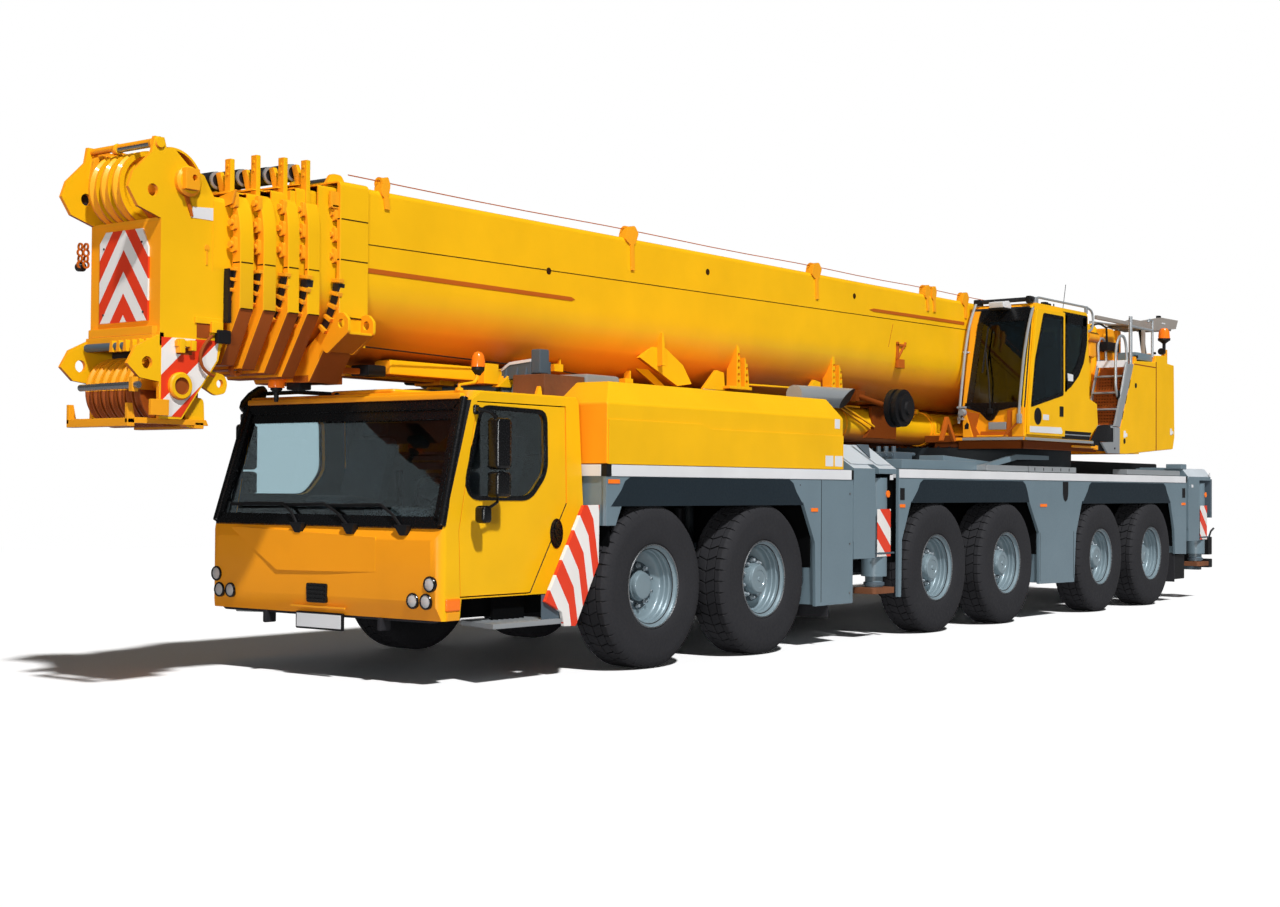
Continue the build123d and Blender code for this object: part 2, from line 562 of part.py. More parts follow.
# ---------------------------------------------------------------- luffing cylinder
with BuildPart() as luff_cylinder:
    bar_y(0, (3750, 8450), LUFF_BASE[1], LUFF_BARREL_R)
    bar_x((-207, 207), LUFF_BASE[0], LUFF_BASE[1], 188)
    bar_y(0, (3700, 8200), LUFF_BASE[1], LUFF_ROD_R + 4, mode=Mode.SUBTRACT)
    bar_x((-250, 250), LUFF_BASE[0], LUFF_BASE[1], LUFF_PIN_R + 3, mode=Mode.SUBTRACT)
finish(luff_cylinder.part, "luff_cylinder")

with BuildPart() as luff_rod:
    bar_y(0, (3400, 8150), LUFF_EYE[1], LUFF_ROD_R)
    bar_x((-100, 100), LUFF_EYE[0], LUFF_EYE[1], 140)
    bar_x((-150, 150), LUFF_EYE[0], LUFF_EYE[1], 62, mode=Mode.SUBTRACT)
finish(luff_rod.part, "luff_rod")
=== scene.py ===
"""Looks of a six-axle mobile crane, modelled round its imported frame.

Metres.  The front faces -Y, +X is the left side and +Z is up.  Lengthwise places are given as `back`,
the way behind the front axle, and `at` turns them into the shared frame.
"""

from __future__ import annotations

import logging
import math
from collections.abc import Callable, Sequence
from dataclasses import dataclass, replace
from enum import Enum

import bpy
from mathutils import Matrix, Vector


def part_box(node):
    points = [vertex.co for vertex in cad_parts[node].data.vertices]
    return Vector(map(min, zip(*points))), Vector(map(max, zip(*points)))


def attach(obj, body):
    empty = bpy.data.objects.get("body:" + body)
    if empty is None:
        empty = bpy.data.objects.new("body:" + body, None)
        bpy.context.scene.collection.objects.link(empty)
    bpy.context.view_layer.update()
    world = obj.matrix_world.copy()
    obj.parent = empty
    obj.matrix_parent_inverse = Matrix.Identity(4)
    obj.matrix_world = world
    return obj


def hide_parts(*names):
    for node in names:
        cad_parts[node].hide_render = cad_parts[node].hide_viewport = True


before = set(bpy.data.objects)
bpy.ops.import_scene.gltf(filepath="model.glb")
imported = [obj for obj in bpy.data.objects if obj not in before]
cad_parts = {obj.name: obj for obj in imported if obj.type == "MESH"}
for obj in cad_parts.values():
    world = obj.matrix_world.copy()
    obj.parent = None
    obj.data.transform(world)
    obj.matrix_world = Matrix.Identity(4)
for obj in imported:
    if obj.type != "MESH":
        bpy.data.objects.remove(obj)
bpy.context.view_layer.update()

LOG = logging.getLogger("crane")
Piece = bpy.types.Object
Span = tuple[float, float]
Outline = Sequence[tuple[float, float]]

FRONT_AXLE = sum(corner.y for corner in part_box("wheel_1_left")) / 2
SIDES = (("left", 1), ("right", -1))
AXLES = (0.0, 1.65, 4.93, 6.58, 9.21, 10.86)
MERGE_DISTANCE = 0.00002
FLAT_ANGLE = 0.8
BODY_EDGE_ANGLE = 35.0
NOISE_BAND = (0.3, 0.7)
BROAD_PATCHES = 1.7
GLOSS_SPREAD = (0.85, 1.15)
BUMP_STRENGTH = 0.4
COAT_ROUGHNESS = 0.08
WHOLE_PITCHES = 100
WHITE_LIGHT = (1, 1, 1, 1)


# ---------------------------------------------------------------- finishes
def linear(colour: Sequence[float]) -> tuple[float, float, float, float]:
    """Colour of a paint chart, 0 to 255, as the linear values that a shader takes.

    Args:
        colour: red, green and blue from 0 to 255.

    Returns:
        Linear red, green, blue and a full alpha.
    """
    shares = [value / 255 for value in colour]
    return (*[s / 12.92 if s <= 0.04045 else ((s + 0.055) / 1.055) ** 2.4 for s in shares], 1.0)


class Nodes:
    """Shader nodes of one material or world, made and linked in a line each."""

    def __init__(self, owner: bpy.types.Material | bpy.types.World) -> None:
        """Start with no nodes but the surface's coordinates.

        Args:
            owner: what the nodes belong to.
        """
        owner.use_nodes = True
        self.owner = owner
        self.tree = owner.node_tree
        self.tree.nodes.clear()
        coordinates = self.make("ShaderNodeTexCoord")
        self.place = coordinates.outputs["Object"]
        self.facing = coordinates.outputs["Normal"]

    def make(self, kind: str, inputs: dict[str | int, object] | None = None,
             **settings: object) -> bpy.types.Node:
        """Add a node.

        Args:
            kind: the node's type.
            inputs: a number, a colour or an output for each input that is set.
            settings: its attributes.

        Returns:
            The new node.
        """
        node = self.tree.nodes.new(kind)
        for key, value in settings.items():
            setattr(node, key, value)
        for key, value in (inputs or {}).items():
            if isinstance(value, bpy.types.NodeSocket):
                self.tree.links.new(value, node.inputs[key])
            else:
                node.inputs[key].default_value = value
        return node

    def noise(self, scale: float, detail: float = 3.0) -> bpy.types.NodeSocket:
        """Soft noise over the piece.

        Args:
            scale: how fine it is, in patches a metre.
            detail: how many finer layers it has.

        Returns:
            The noise's value.
        """
        inputs = {"Vector": self.place, "Scale": scale, "Detail": detail}
        return self.make("ShaderNodeTexNoise", inputs).outputs["Fac"]

    def sum(self, kind: str, *values: object) -> bpy.types.NodeSocket:
        """One sum.

        Args:
            kind: the Math node's operation.
            values: numbers or outputs.

        Returns:
            The result.
        """
        return self.make("ShaderNodeMath", dict(enumerate(values)), operation=kind).outputs[0]

    def range(self, value: bpy.types.NodeSocket, source: Span, target: Span) -> bpy.types.NodeSocket:
        """A value carried from one range to another.

        Args:
            value: what is carried.
            source: its low and high end.
            target: what those become.

        Returns:
            The new value.
        """
        ends = dict(zip(("From Min", "From Max", "To Min", "To Max"), (*source, *target)))
        return self.make("ShaderNodeMapRange", {"Value": value, **ends}).outputs["Result"]

    def mix(self, share: object, first: object, second: object) -> bpy.types.NodeSocket:
        """Two colours mixed.

        Args:
            share: how much of the second, as a number or an output.
            first: a linear colour or an output.
            second: a linear colour or an output.

        Returns:
            The mixed colour.
        """
        return self.make("ShaderNodeMix", {0: share, 6: first, 7: second}, data_type="RGBA").outputs[2]

    def axes(self, socket: bpy.types.NodeSocket) -> tuple[bpy.types.NodeSocket, ...]:
        """The three parts of a vector."""
        return tuple(self.make("ShaderNodeSeparateXYZ", {0: socket}).outputs)


@dataclass(frozen=True)
class Finish:
    """One surface: its colour, gloss and fine grain."""

    name: str
    colour: tuple[int, int, int]
    roughness: float = 0.38
    metallic: float = 0.0
    specular: float = 0.5
    coat: float = 0.0
    drift: float = 0.05
    grain: float = 60.0
    relief: float = 0.0
    clear: float = 0.0
    glow: float = 0.0
    # Painted shade: the shaded colour goes on faces turned to the front, the low one on faces turned partly
    # down and the under one on faces turned down.
    shaded: tuple[int, int, int] | None = None
    under: tuple[int, int, int] = (150, 70, 14)
    low: tuple[int, int, int] = (255, 146, 38)

    def pattern(self, nodes: Nodes) -> object:
        """The colour before its small changes, with painted shade if it has a shaded colour: orange to the
        front and brown below.

        Args:
            nodes: the material's nodes.

        Returns:
            The colour, as a linear one or as an output.
        """
        if self.shaded is None:
            return linear(self.colour)
        # Painted shade by facing: front faces take the shaded colour, faces turned partly down the low one,
        # faces turned down the under one.
        _, y, z = nodes.axes(nodes.facing)
        front = nodes.range(y, (-0.25, -0.85), (0.0, 1.0))
        lower = nodes.range(z, (-0.2, -0.65), (0.0, 1.0))
        below = nodes.range(z, (-0.55, -0.95), (0.0, 1.0))
        warm = nodes.mix(front, linear(self.colour), linear(self.shaded))
        return nodes.mix(below, nodes.mix(lower, warm, linear(self.low)), linear(self.under))

    def material(self) -> bpy.types.Material:
        """The finish as a material, made once.

        Returns:
            The material, with noise in its colour, gloss and relief.
        """
        title = f"{self.name}_finish"
        if title in bpy.data.materials:
            return bpy.data.materials[title]
        nodes = Nodes(bpy.data.materials.new(title))
        broad, fine = nodes.noise(BROAD_PATCHES), nodes.noise(self.grain, 2.0)
        light = nodes.range(broad, NOISE_BAND, (1 - self.drift, 1 + self.drift))
        dim = nodes.make("ShaderNodeHueSaturation", {"Value": light, "Color": self.pattern(nodes)})
        matt, gloss = GLOSS_SPREAD
        rough = nodes.range(fine, NOISE_BAND, (self.roughness * matt, min(1.0, self.roughness * gloss)))
        inputs = {"Base Color": dim.outputs[0], "Roughness": rough, "Metallic": self.metallic,
                  "Specular IOR Level": self.specular, "Coat Weight": self.coat,
                  "Coat Roughness": COAT_ROUGHNESS, "Transmission Weight": self.clear}
        if self.relief:
            bump = {"Strength": BUMP_STRENGTH, "Distance": self.relief, "Height": fine}
            inputs["Normal"] = nodes.make("ShaderNodeBump", bump).outputs[0]
        if self.glow:
            inputs |= {"Emission Color": linear(self.colour), "Emission Strength": self.glow}
        shader = nodes.make("ShaderNodeBsdfPrincipled", inputs)
        nodes.make("ShaderNodeOutputMaterial", {0: shader.outputs[0]})
        return nodes.owner


class Slant(Enum):
    """Which way the stripes of a warning board run."""

    CHEVRON = "chevron"
    DOWN_TO_REAR = "down to rear"
    DOWN_TO_FRONT = "down to front"


@dataclass(frozen=True)
class Stripes(Finish):
    """Red and white warning stripes."""

    colour: tuple[int, int, int] = (232, 60, 25)
    roughness: float = 0.35
    coat: float = 0.2
    second: tuple[int, int, int] = (238, 234, 230)
    pitch: float = 0.28
    steepness: float = 1.0
    shift: float = 0.0
    fold: tuple[float, float, float] | None = None
    slant: Slant = Slant.CHEVRON

    def pattern(self, nodes: Nodes) -> bpy.types.NodeSocket:
        """Stripes that follow the piece's own place.

        Args:
            nodes: the material's nodes.

        Returns:
            The striped colour.
        """
        x, y, z = nodes.axes(nodes.place)
        across = nodes.sum("ABSOLUTE", x) if self.slant is Slant.CHEVRON else y
        sign = -1 if self.slant is Slant.DOWN_TO_FRONT else 1
        height = nodes.sum("ADD", z, nodes.sum("MULTIPLY", across, sign * self.steepness))
        if self.fold:
            start, lean, more = self.fold
            past = nodes.sum("SUBTRACT", nodes.sum("SUBTRACT", y, start), nodes.sum("MULTIPLY", z, lean))
            height = nodes.sum("ADD", height, nodes.sum("MULTIPLY", nodes.sum("MAXIMUM", past, 0.0), more))
        raised = nodes.sum("ADD", height, self.shift + WHOLE_PITCHES * self.pitch)
        turn = nodes.sum("FRACT", nodes.sum("DIVIDE", raised, self.pitch))
        return nodes.mix(nodes.sum("GREATER_THAN", turn, 0.5), linear(self.colour), linear(self.second))


# Yellow paint; its shaded colour adds painted shade, orange on faces turned to the front and brown on faces
# turned down.
YELLOW = Finish("yellow_paint", (245, 186, 16), 0.42, specular=0.25, coat=0.08, relief=0.0004,
                shaded=(255, 162, 24))
YELLOW_EDGE = replace(YELLOW, name="yellow_edge", shaded=None)
# The yellow in an orange tone: painted shade for parts that face the front or sit in shade, with the same
# painted shade by facing on top.
SHADED_YELLOW = Finish("yellow_in_painted_shade", (248, 166, 28), 0.36, specular=0.35, coat=0.15, relief=0.0004,
               shaded=(248, 162, 26))
# Darker orange and brown: painted shade on undersides, in grooves and on small parts in shade.
SHADE_BROWN = Finish("shade_brown", (118, 56, 12), 0.6, specular=0.15, relief=0.0004)
AMBER_SHADE = Finish("amber_shade", (186, 92, 18), 0.5, specular=0.3, relief=0.0004)
# Brown for seams, a hose and the plates behind the ladder's steps, and painted shade on undersides, in a
# recess and as the latches' shadows.
BROWN_AND_PAINTED_SHADE = Finish("brown_and_painted_shade", (150, 72, 20), 0.5, specular=0.3, relief=0.0006)
SEAM = Finish("dark_seam", (58, 32, 10), 0.7, specular=0.1)
GREY = Finish("panel_grey", (109, 128, 138), 0.42, coat=0.15, relief=0.0004)
# Painted light: pale grey for the outrigger housings' sloped faces turned up to the sun.
SUNLIT_GREY = Finish("painted_sunlit_grey", (192, 200, 206), 0.5, relief=0.0005)
FRAME_GREY = Finish("frame_grey", (78, 92, 102), 0.5, relief=0.0006)
DARK_BAND = Finish("dark_band", (26, 38, 46), 0.5, specular=0.3)
WHITE = Finish("white_paint", (226, 227, 229), 0.4, coat=0.2)
SILVER = Finish("silver_sheet", (168, 173, 176), 0.42, metallic=0.4, relief=0.0005)
STEEL = Finish("dark_steel", (46, 46, 50), 0.55, metallic=0.3, specular=0.3, drift=0.15, relief=0.001)
BRIGHT = Finish("bright_steel", (150, 152, 155), 0.28, metallic=0.85)
CHROME = Finish("piston_chrome", (205, 208, 210), 0.12, metallic=1.0)
FRAME_DARK = Finish("chassis_dark", (38, 44, 48), 0.6, specular=0.25, relief=0.001)
# Near-black, darker than any paint: painted shade for the wheel wells, under the cab and its step hangers.
WELL_SHADE = Finish("wheel_well_painted_shade", (8, 9, 10), 0.9, specular=0.05)
PLASTIC = Finish("black_plastic", (22, 22, 24), 0.5, specular=0.25, relief=0.0006)
GLOSS_BLACK = Finish("gloss_black", (14, 15, 17), 0.26, specular=0.35, coat=0.1)
PLATFORM = Finish("platform_grey", (150, 143, 136), 0.5, relief=0.0005)
MIRROR = Finish("mirror_glass", (190, 196, 200), 0.05, metallic=1.0)
TRIM = Finish("cab_trim", (18, 21, 25), 0.7, relief=0.001)
CLOTH = Finish("seat_cloth", (46, 48, 54), 0.9, relief=0.002, grain=220.0)
RUBBER = Finish("tyre_rubber", (45, 45, 48), 0.8, specular=0.2, drift=0.1, relief=0.001, grain=45.0)
# Painted highlight: pale rubber on the block edges at the tread's outer shoulder.
TREAD_EDGE_HIGHLIGHT = Finish("tread_edge_highlight", (118, 115, 112), 0.8, specular=0.2, relief=0.001)
# Painted shade: dark rubber on the walls of the tread's grooves.
GROOVE_SHADE_RUBBER = Finish("groove_painted_shade", (28, 28, 30), 0.9, specular=0.1, relief=0.001)
RIM = Finish("rim_grey", (130, 148, 156), 0.36, metallic=0.2, coat=0.3)
# Painted shade: darker grey on the flange ring between the nuts.
RIM_FLANGE_SHADE = Finish("rim_flange_painted_shade", (62, 76, 84), 0.5, relief=0.0005)
NUT = Finish("wheel_nut", (170, 180, 186), 0.3, metallic=0.4)
GLASS = Finish("tinted_glass", (205, 224, 230), 0.03, drift=0.0, clear=1.0)
DOOR_GLASS = Finish("door_glass", (200, 216, 220), 0.04, specular=0.32, drift=0.0, clear=1.0)
LAMP = Finish("clear_lamp", (225, 228, 230), 0.1, clear=0.35)
ORANGE_LENS = Finish("orange_lens", (246, 118, 24), 0.2, glow=0.15)
RED_LENS = Finish("red_lens", (200, 25, 20), 0.2, glow=0.1)
TIMBER = Finish("brown_block", (120, 72, 42), 0.75, drift=0.25, relief=0.003, grain=25.0)
CHEVRONS = Stripes("chevron_board", pitch=0.3, steepness=1.35, shift=0.05)
HEAD_STRIPES = Stripes("head_stripes", pitch=0.36, steepness=0.9, slant=Slant.DOWN_TO_FRONT)
GUARD_STRIPES = Stripes("guard_stripes", pitch=0.447, steepness=1.52, shift=0.1,
                        fold=(FRONT_AXLE - 1.299, 0.45, 1.086), slant=Slant.DOWN_TO_REAR)
BOARD_STRIPES = Stripes("board_stripes", pitch=0.34, steepness=0.9, slant=Slant.DOWN_TO_REAR)


# ---------------------------------------------------------------- bench
class Along(Enum):
    """Direction of a shaft, with a direction square to it in which its radius is drawn."""

    X = (Vector((1, 0, 0)), Vector((0, 0, 1)))
    Y = (Vector((0, 1, 0)), Vector((0, 0, 1)))
    Z = (Vector((0, 0, 1)), Vector((1, 0, 0)))


def at(x: float, back: float, z: float) -> Vector:
    """Point in the shared frame from X, the way behind the front axle and the height."""
    return Vector((x, FRONT_AXLE + back, z))


def take(*pieces: Piece) -> None:
    """Select these pieces alone, the first as the active one.

    Args:
        pieces: the pieces, or none to drop all.
    """
    bpy.ops.object.select_all(action="DESELECT")
    for piece in pieces:
        piece.select_set(True)
    if pieces:
        bpy.context.view_layer.objects.active = pieces[0]


def edit(piece: Piece) -> None:
    """Open a piece for editing with all of its mesh selected."""
    take(piece)
    bpy.ops.object.mode_set(mode="EDIT")
    bpy.ops.mesh.select_all(action="SELECT")


def close(outwards: bool = True) -> None:
    """Leave edit mode.

    Args:
        outwards: whether all faces are turned outwards first.
    """
    if outwards:
        bpy.ops.mesh.select_all(action="SELECT")
        bpy.ops.mesh.normals_make_consistent(inside=False)
    bpy.ops.object.mode_set(mode="OBJECT")


def modify(piece: Piece, kind: str, **settings: object) -> Piece:
    """Change a piece with a modifier, which is applied.

    Args:
        piece: the piece.
        kind: the modifier's type.
        settings: the modifier's attributes.

    Returns:
        The same piece.
    """
    take(piece)
    modifier = piece.modifiers.new(kind.lower(), kind)
    for key, value in settings.items():
        setattr(modifier, key, value)
    bpy.ops.object.modifier_apply(modifier=modifier.name)
    return piece


def break_edges(piece: Piece, width: float, angle: float = 30.0, segments: int = 2) -> Piece:
    """Round off the sharp edges of a piece.

    Args:
        piece: the piece.
        width: the width of the rounding, or 0 for none.
        angle: how sharp an edge has to be, in degrees.
        segments: steps across the rounding.

    Returns:
        The same piece.
    """
    if not width:
        return piece
    return modify(piece, "BEVEL", width=width, segments=segments, limit_method="ANGLE",
                  angle_limit=math.radians(angle))


def block(x: Span, back: Span, z: Span, edge: float = 0.006) -> Piece:
    """Box with softened edges between the low and high ends of each pair.

    Args:
        x: left and right faces.
        back: front and rear faces, behind the front axle.
        z: bottom and top.
        edge: width of the rounding.

    Returns:
        The new piece.
    """
    take()
    spans = [sorted(pair) for pair in (x, back, z)]
    middle = [(low + high) / 2 for low, high in spans]
    bpy.ops.mesh.primitive_cube_add(size=1, location=at(*middle), scale=[high - low for low, high in spans])
    piece = bpy.context.object
    bpy.ops.object.transform_apply()
    if edge:
        edit(piece)
        bpy.ops.mesh.bevel(offset=edge, segments=2, affect="EDGES")
        close(False)
    return piece


def path(points: Sequence[Vector]) -> Piece:
    """Line drawn point by point, and left in edit mode with its last point selected.

    Args:
        points: the corners of the line.

    Returns:
        The line as a mesh.
    """
    take()
    bpy.ops.mesh.primitive_plane_add(size=0.01, location=points[0])
    piece = bpy.context.object
    bpy.ops.object.transform_apply()
    bpy.ops.object.mode_set(mode="EDIT")
    bpy.ops.mesh.select_mode(type="VERT")
    bpy.ops.mesh.select_all(action="SELECT")
    bpy.ops.mesh.merge(type="CENTER")
    for here, there in zip(points, points[1:]):
        bpy.ops.mesh.extrude_vertices_move(TRANSFORM_OT_translate={"value": there - here})
    return piece


def sheet(points: Sequence[Vector], pull: Vector, edge: float = 0.004, rim: float = 0.0) -> Piece:
    """Flat piece: its outline is drawn, filled and pulled to its thickness.

    Args:
        points: the outline's corners.
        pull: the way and the distance that the outline is pulled.
        edge: width of the rounding.
        rim: width of the rim that stays when the middle is taken out, or 0 for a whole piece.

    Returns:
        The new piece.
    """
    piece = path(points)
    bpy.ops.mesh.select_all(action="SELECT")
    bpy.ops.mesh.edge_face_add()
    if rim:
        bpy.ops.mesh.select_mode(type="FACE")
        bpy.ops.mesh.inset(thickness=rim, depth=0)
        bpy.ops.mesh.delete(type="FACE")
        bpy.ops.mesh.select_all(action="SELECT")
    bpy.ops.mesh.extrude_region_move(TRANSFORM_OT_translate={"value": pull})
    close()
    return break_edges(piece, edge)


def ring_sheet(points: Sequence[Vector], pull: Vector, width: float, edge: float = 0.004) -> Piece:
    """Flat frame.

    Args:
        points: the outer outline's corners.
        pull: the way and the distance that the rim is pulled.
        width: how wide the rim is.
        edge: width of the rounding.

    Returns:
        The new piece.
    """
    return sheet(points, pull, edge, width)


def rounded(outline: Outline, radius: float, steps: int = 4) -> list[tuple[float, float]]:
    """Outline with its corners rounded.

    Args:
        outline: the corners.
        radius: how far from a corner its rounding starts.
        steps: steps across each rounding.

    Returns:
        The new corners.
    """
    corners = [Vector(corner) for corner in outline]
    points = []
    for index, corner in enumerate(corners):
        before, after = corners[index - 1], corners[(index + 1) % len(corners)]
        start = corner + (before - corner).normalized() * min(radius, (before - corner).length * 0.49)
        end = corner + (after - corner).normalized() * min(radius, (after - corner).length * 0.49)
        for step in range(steps + 1):
            share = step / steps
            bent = start * (1 - share) ** 2 + corner * 2 * share * (1 - share) + end * share ** 2
            points.append((bent.x, bent.y))
    return points


def oval(centre: tuple[float, float], half: tuple[float, float],
         steps: int = 24) -> list[tuple[float, float]]:
    """Outline of an oval.

    Args:
        centre: its middle.
        half: half of its width and of its height.
        steps: how many points it has.

    Returns:
        The points.
    """
    turns = [math.tau * step / steps for step in range(steps)]
    return [(centre[0] + half[0] * math.cos(turn), centre[1] + half[1] * math.sin(turn)) for turn in turns]


def side_sheet(x: Span, outline: Outline, edge: float = 0.004) -> Piece:
    """Upright piece with a side outline of (back, height) corners between two X values.

    Args:
        x: its two faces.
        outline: the corners.
        edge: width of the rounding.

    Returns:
        The new piece.
    """
    return sheet([at(x[0], back, z) for back, z in outline], Vector((x[1] - x[0], 0, 0)), edge)


def front_sheet(back: Span, outline: Outline, edge: float = 0.004) -> Piece:
    """Upright piece with a front outline of (X, height) corners between two lengthwise places.

    Args:
        back: its front and rear faces.
        outline: the corners.
        edge: width of the rounding.

    Returns:
        The new piece.
    """
    return sheet([at(x, back[0], z) for x, z in outline], Vector((0, back[1] - back[0], 0)), edge)


def deck_sheet(z: Span, outline: Outline, edge: float = 0.004) -> Piece:
    """Lying piece with an outline of (X, back) corners between two heights.

    Args:
        z: its bottom and top.
        outline: the corners.
        edge: width of the rounding.

    Returns:
        The new piece.
    """
    return sheet([at(x, back, z[0]) for x, back in outline], Vector((0, 0, z[1] - z[0])), edge)


def rod(start: Vector, end: Vector, radius: float, sides: int = 20, edge: float = 0.003) -> Piece:
    """Round bar between two points, with softened ends.

    Args:
        start: middle of one end.
        end: middle of the other.
        radius: its radius.
        sides: how many flat sides it has.
        edge: width of the rounding at the ends.

    Returns:
        The new piece.
    """
    take()
    run = end - start
    turn = run.to_track_quat("Z", "Y").to_euler()
    bpy.ops.mesh.primitive_cylinder_add(
        vertices=sides, radius=radius, depth=run.length, location=(start + end) / 2, rotation=turn)
    piece = bpy.context.object
    bpy.ops.object.transform_apply()
    return break_edges(piece, min(edge, radius / 3), 60.0)


def rail(points: Sequence[Vector], radius: float, bend: float = 0.05, sides: int = 2) -> Piece:
    """Bent tube along a line of points.

    Args:
        points: the corners of the tube's middle line.
        radius: the tube's radius.
        bend: how far from a corner its bend starts.
        sides: smoothness of the tube's section.

    Returns:
        The new piece.
    """
    piece = path(points)
    bpy.ops.object.mode_set(mode="OBJECT")
    for index, vertex in enumerate(piece.data.vertices):
        vertex.select = 0 < index < len(points) - 1
    if bend and len(points) > 2:
        bpy.ops.object.mode_set(mode="EDIT")
        bpy.ops.mesh.bevel(offset=bend, segments=4, affect="VERTICES")
        bpy.ops.object.mode_set(mode="OBJECT")
    bpy.ops.object.convert(target="CURVE")
    piece = bpy.context.object
    piece.data.bevel_depth = radius
    piece.data.bevel_resolution = sides
    piece.data.use_fill_caps = True
    bpy.ops.object.convert(target="MESH")
    return bpy.context.object


def turned(profile: Outline, centre: Vector, along: Along = Along.X, steps: int = 40) -> Piece:
    """Turned piece: a profile of (along, radius) points spun round a shaft.

    Args:
        profile: the points, from one end to the other.
        centre: the point on the shaft from which `along` is measured.
        along: the shaft's direction.
        steps: how many steps go round.

    Returns:
        The new piece.
    """
    axis, out = along.value
    piece = path([centre + axis * way + out * radius for way, radius in profile])
    bpy.ops.mesh.select_all(action="SELECT")
    bpy.ops.mesh.spin(steps=steps, angle=math.tau, center=centre, axis=axis)
    bpy.ops.mesh.select_all(action="SELECT")
    bpy.ops.mesh.remove_doubles(threshold=MERGE_DISTANCE)
    close()
    return piece


def ringed(piece: Piece, centre: Vector, along: Along, count: int) -> Piece:
    """Repeat a piece in a ring.

    Args:
        piece: the first of them.
        centre: middle of the ring.
        along: direction of the ring's axis.
        count: how many there are.

    Returns:
        The piece with its copies.
    """
    edit(piece)
    bpy.ops.mesh.spin(steps=count - 1, dupli=True, angle=math.tau * (count - 1) / count, center=centre,
                      axis=along.value[0])
    close(False)
    return piece


def rowed(piece: Piece, step: Vector, count: int) -> Piece:
    """Repeat a piece in a row.

    Args:
        piece: the first of them.
        step: the way from one to the next.
        count: how many there are.

    Returns:
        The piece with its copies.
    """
    return modify(piece, "ARRAY", count=count, use_relative_offset=False, use_constant_offset=True,
                  constant_offset_displace=step)


def both_sides(piece: Piece) -> Piece:
    """Add the piece's mirror image on the machine's other side.

    Args:
        piece: the left one.

    Returns:
        The piece with both.
    """
    edit(modify(piece, "MIRROR", use_mirror_merge=False))
    close()
    return piece


def copied(piece: Piece, move: Vector, turn: float = 0.0, pivot: Vector | None = None) -> Piece:
    """Copy a piece, with its own mesh.

    Args:
        piece: what is copied.
        move: how far the copy is moved.
        turn: how far it is first turned about the upright through pivot, in radians.
        pivot: the point that it turns about.

    Returns:
        The copy.
    """
    take(piece)
    bpy.ops.object.duplicate(linked=False)
    copy = bpy.context.object
    centre = pivot or Vector()
    turning = Matrix.Rotation(turn, 3, "Z")
    copy.rotation_euler = turning.to_euler()
    copy.location = centre - turning @ centre + move
    bpy.ops.object.transform_apply()
    return copy


def cut(piece: Piece, *tools: Piece) -> Piece:
    """Cut pieces out of another.

    Args:
        piece: what is cut.
        tools: the shapes taken out, which are used up.

    Returns:
        The cut piece.
    """
    for tool in tools:
        modify(piece, "BOOLEAN", operation="DIFFERENCE", object=tool)
        bpy.data.objects.remove(tool)
    return piece


def joined(pieces: Sequence[Piece]) -> Piece:
    """Join pieces into one mesh.

    Args:
        pieces: at least one.

    Returns:
        The joined piece.
    """
    take(*pieces)
    if len(pieces) > 1:
        bpy.ops.object.join()
    return bpy.context.object


def softened(node: str, edge: float) -> Piece:
    """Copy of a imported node, with its triangles merged to faces and its edges softly broken.

    Args:
        node: the node's name.
        edge: width of the rounding, or 0 for none.

    Returns:
        The copy.
    """
    take(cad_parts[node])
    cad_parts[node].hide_set(False)
    bpy.ops.object.duplicate(linked=False)
    copy = bpy.context.object
    copy.parent = None
    for key in [key for key in copy.keys() if key.startswith("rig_")]:
        del copy[key]
    edit(copy)
    bpy.ops.mesh.remove_doubles(threshold=MERGE_DISTANCE)
    bpy.ops.mesh.dissolve_limited(angle_limit=math.radians(FLAT_ANGLE))
    close(False)
    return break_edges(copy, edge, BODY_EDGE_ANGLE)


def fit(piece: Piece, name: str, body: str, finish: Finish, stands_for: Sequence[str] = (),
        smooth: float = 32.0) -> Piece:
    """Name a finished piece, dress it and fasten it to its body.

    Args:
        piece: the piece.
        name: its name.
        body: the body that it rides on.
        finish: its finish.
        stands_for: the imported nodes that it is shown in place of.
        smooth: faces that meet at less than this angle are shaded as one, in degrees.

    Returns:
        The same piece.
    """
    piece.name = name
    piece.data.name = name
    piece.data.materials.clear()
    piece.data.materials.append(finish.material())
    take(piece)
    bpy.ops.object.shade_smooth_by_angle(angle=math.radians(smooth))
    modify(piece, "WEIGHTED_NORMAL", keep_sharp=True)
    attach(piece, body)
    if stands_for:
        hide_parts(*stands_for)
    LOG.info("%s on %s in %s, %d faces", name, body, finish.name, len(piece.data.polygons))
    return piece


def repaint(piece: Piece, finish: Finish, chosen: Callable[[Vector, Vector], bool]) -> Piece:
    """Give some faces of a fitted piece a second finish.

    Args:
        piece: the piece.
        finish: the second finish.
        chosen: says for a face's middle, as X, way behind the front axle and height, and for its normal
            whether the face gets it.

    Returns:
        The same piece.
    """
    piece.data.materials.append(finish.material())
    slot = len(piece.data.materials) - 1
    for face in piece.data.polygons:
        middle = face.center - Vector((0, FRONT_AXLE, 0))
        if chosen(middle, face.normal):
            face.material_index = slot
    return piece


def dress_node(node: str, finish: Finish) -> None:
    """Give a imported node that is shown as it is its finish.

    Args:
        node: the node's name.
        finish: its finish.
    """
    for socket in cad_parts[node].material_slots:
        socket.material = finish.material()
    LOG.info("%s in %s", node, finish.name)


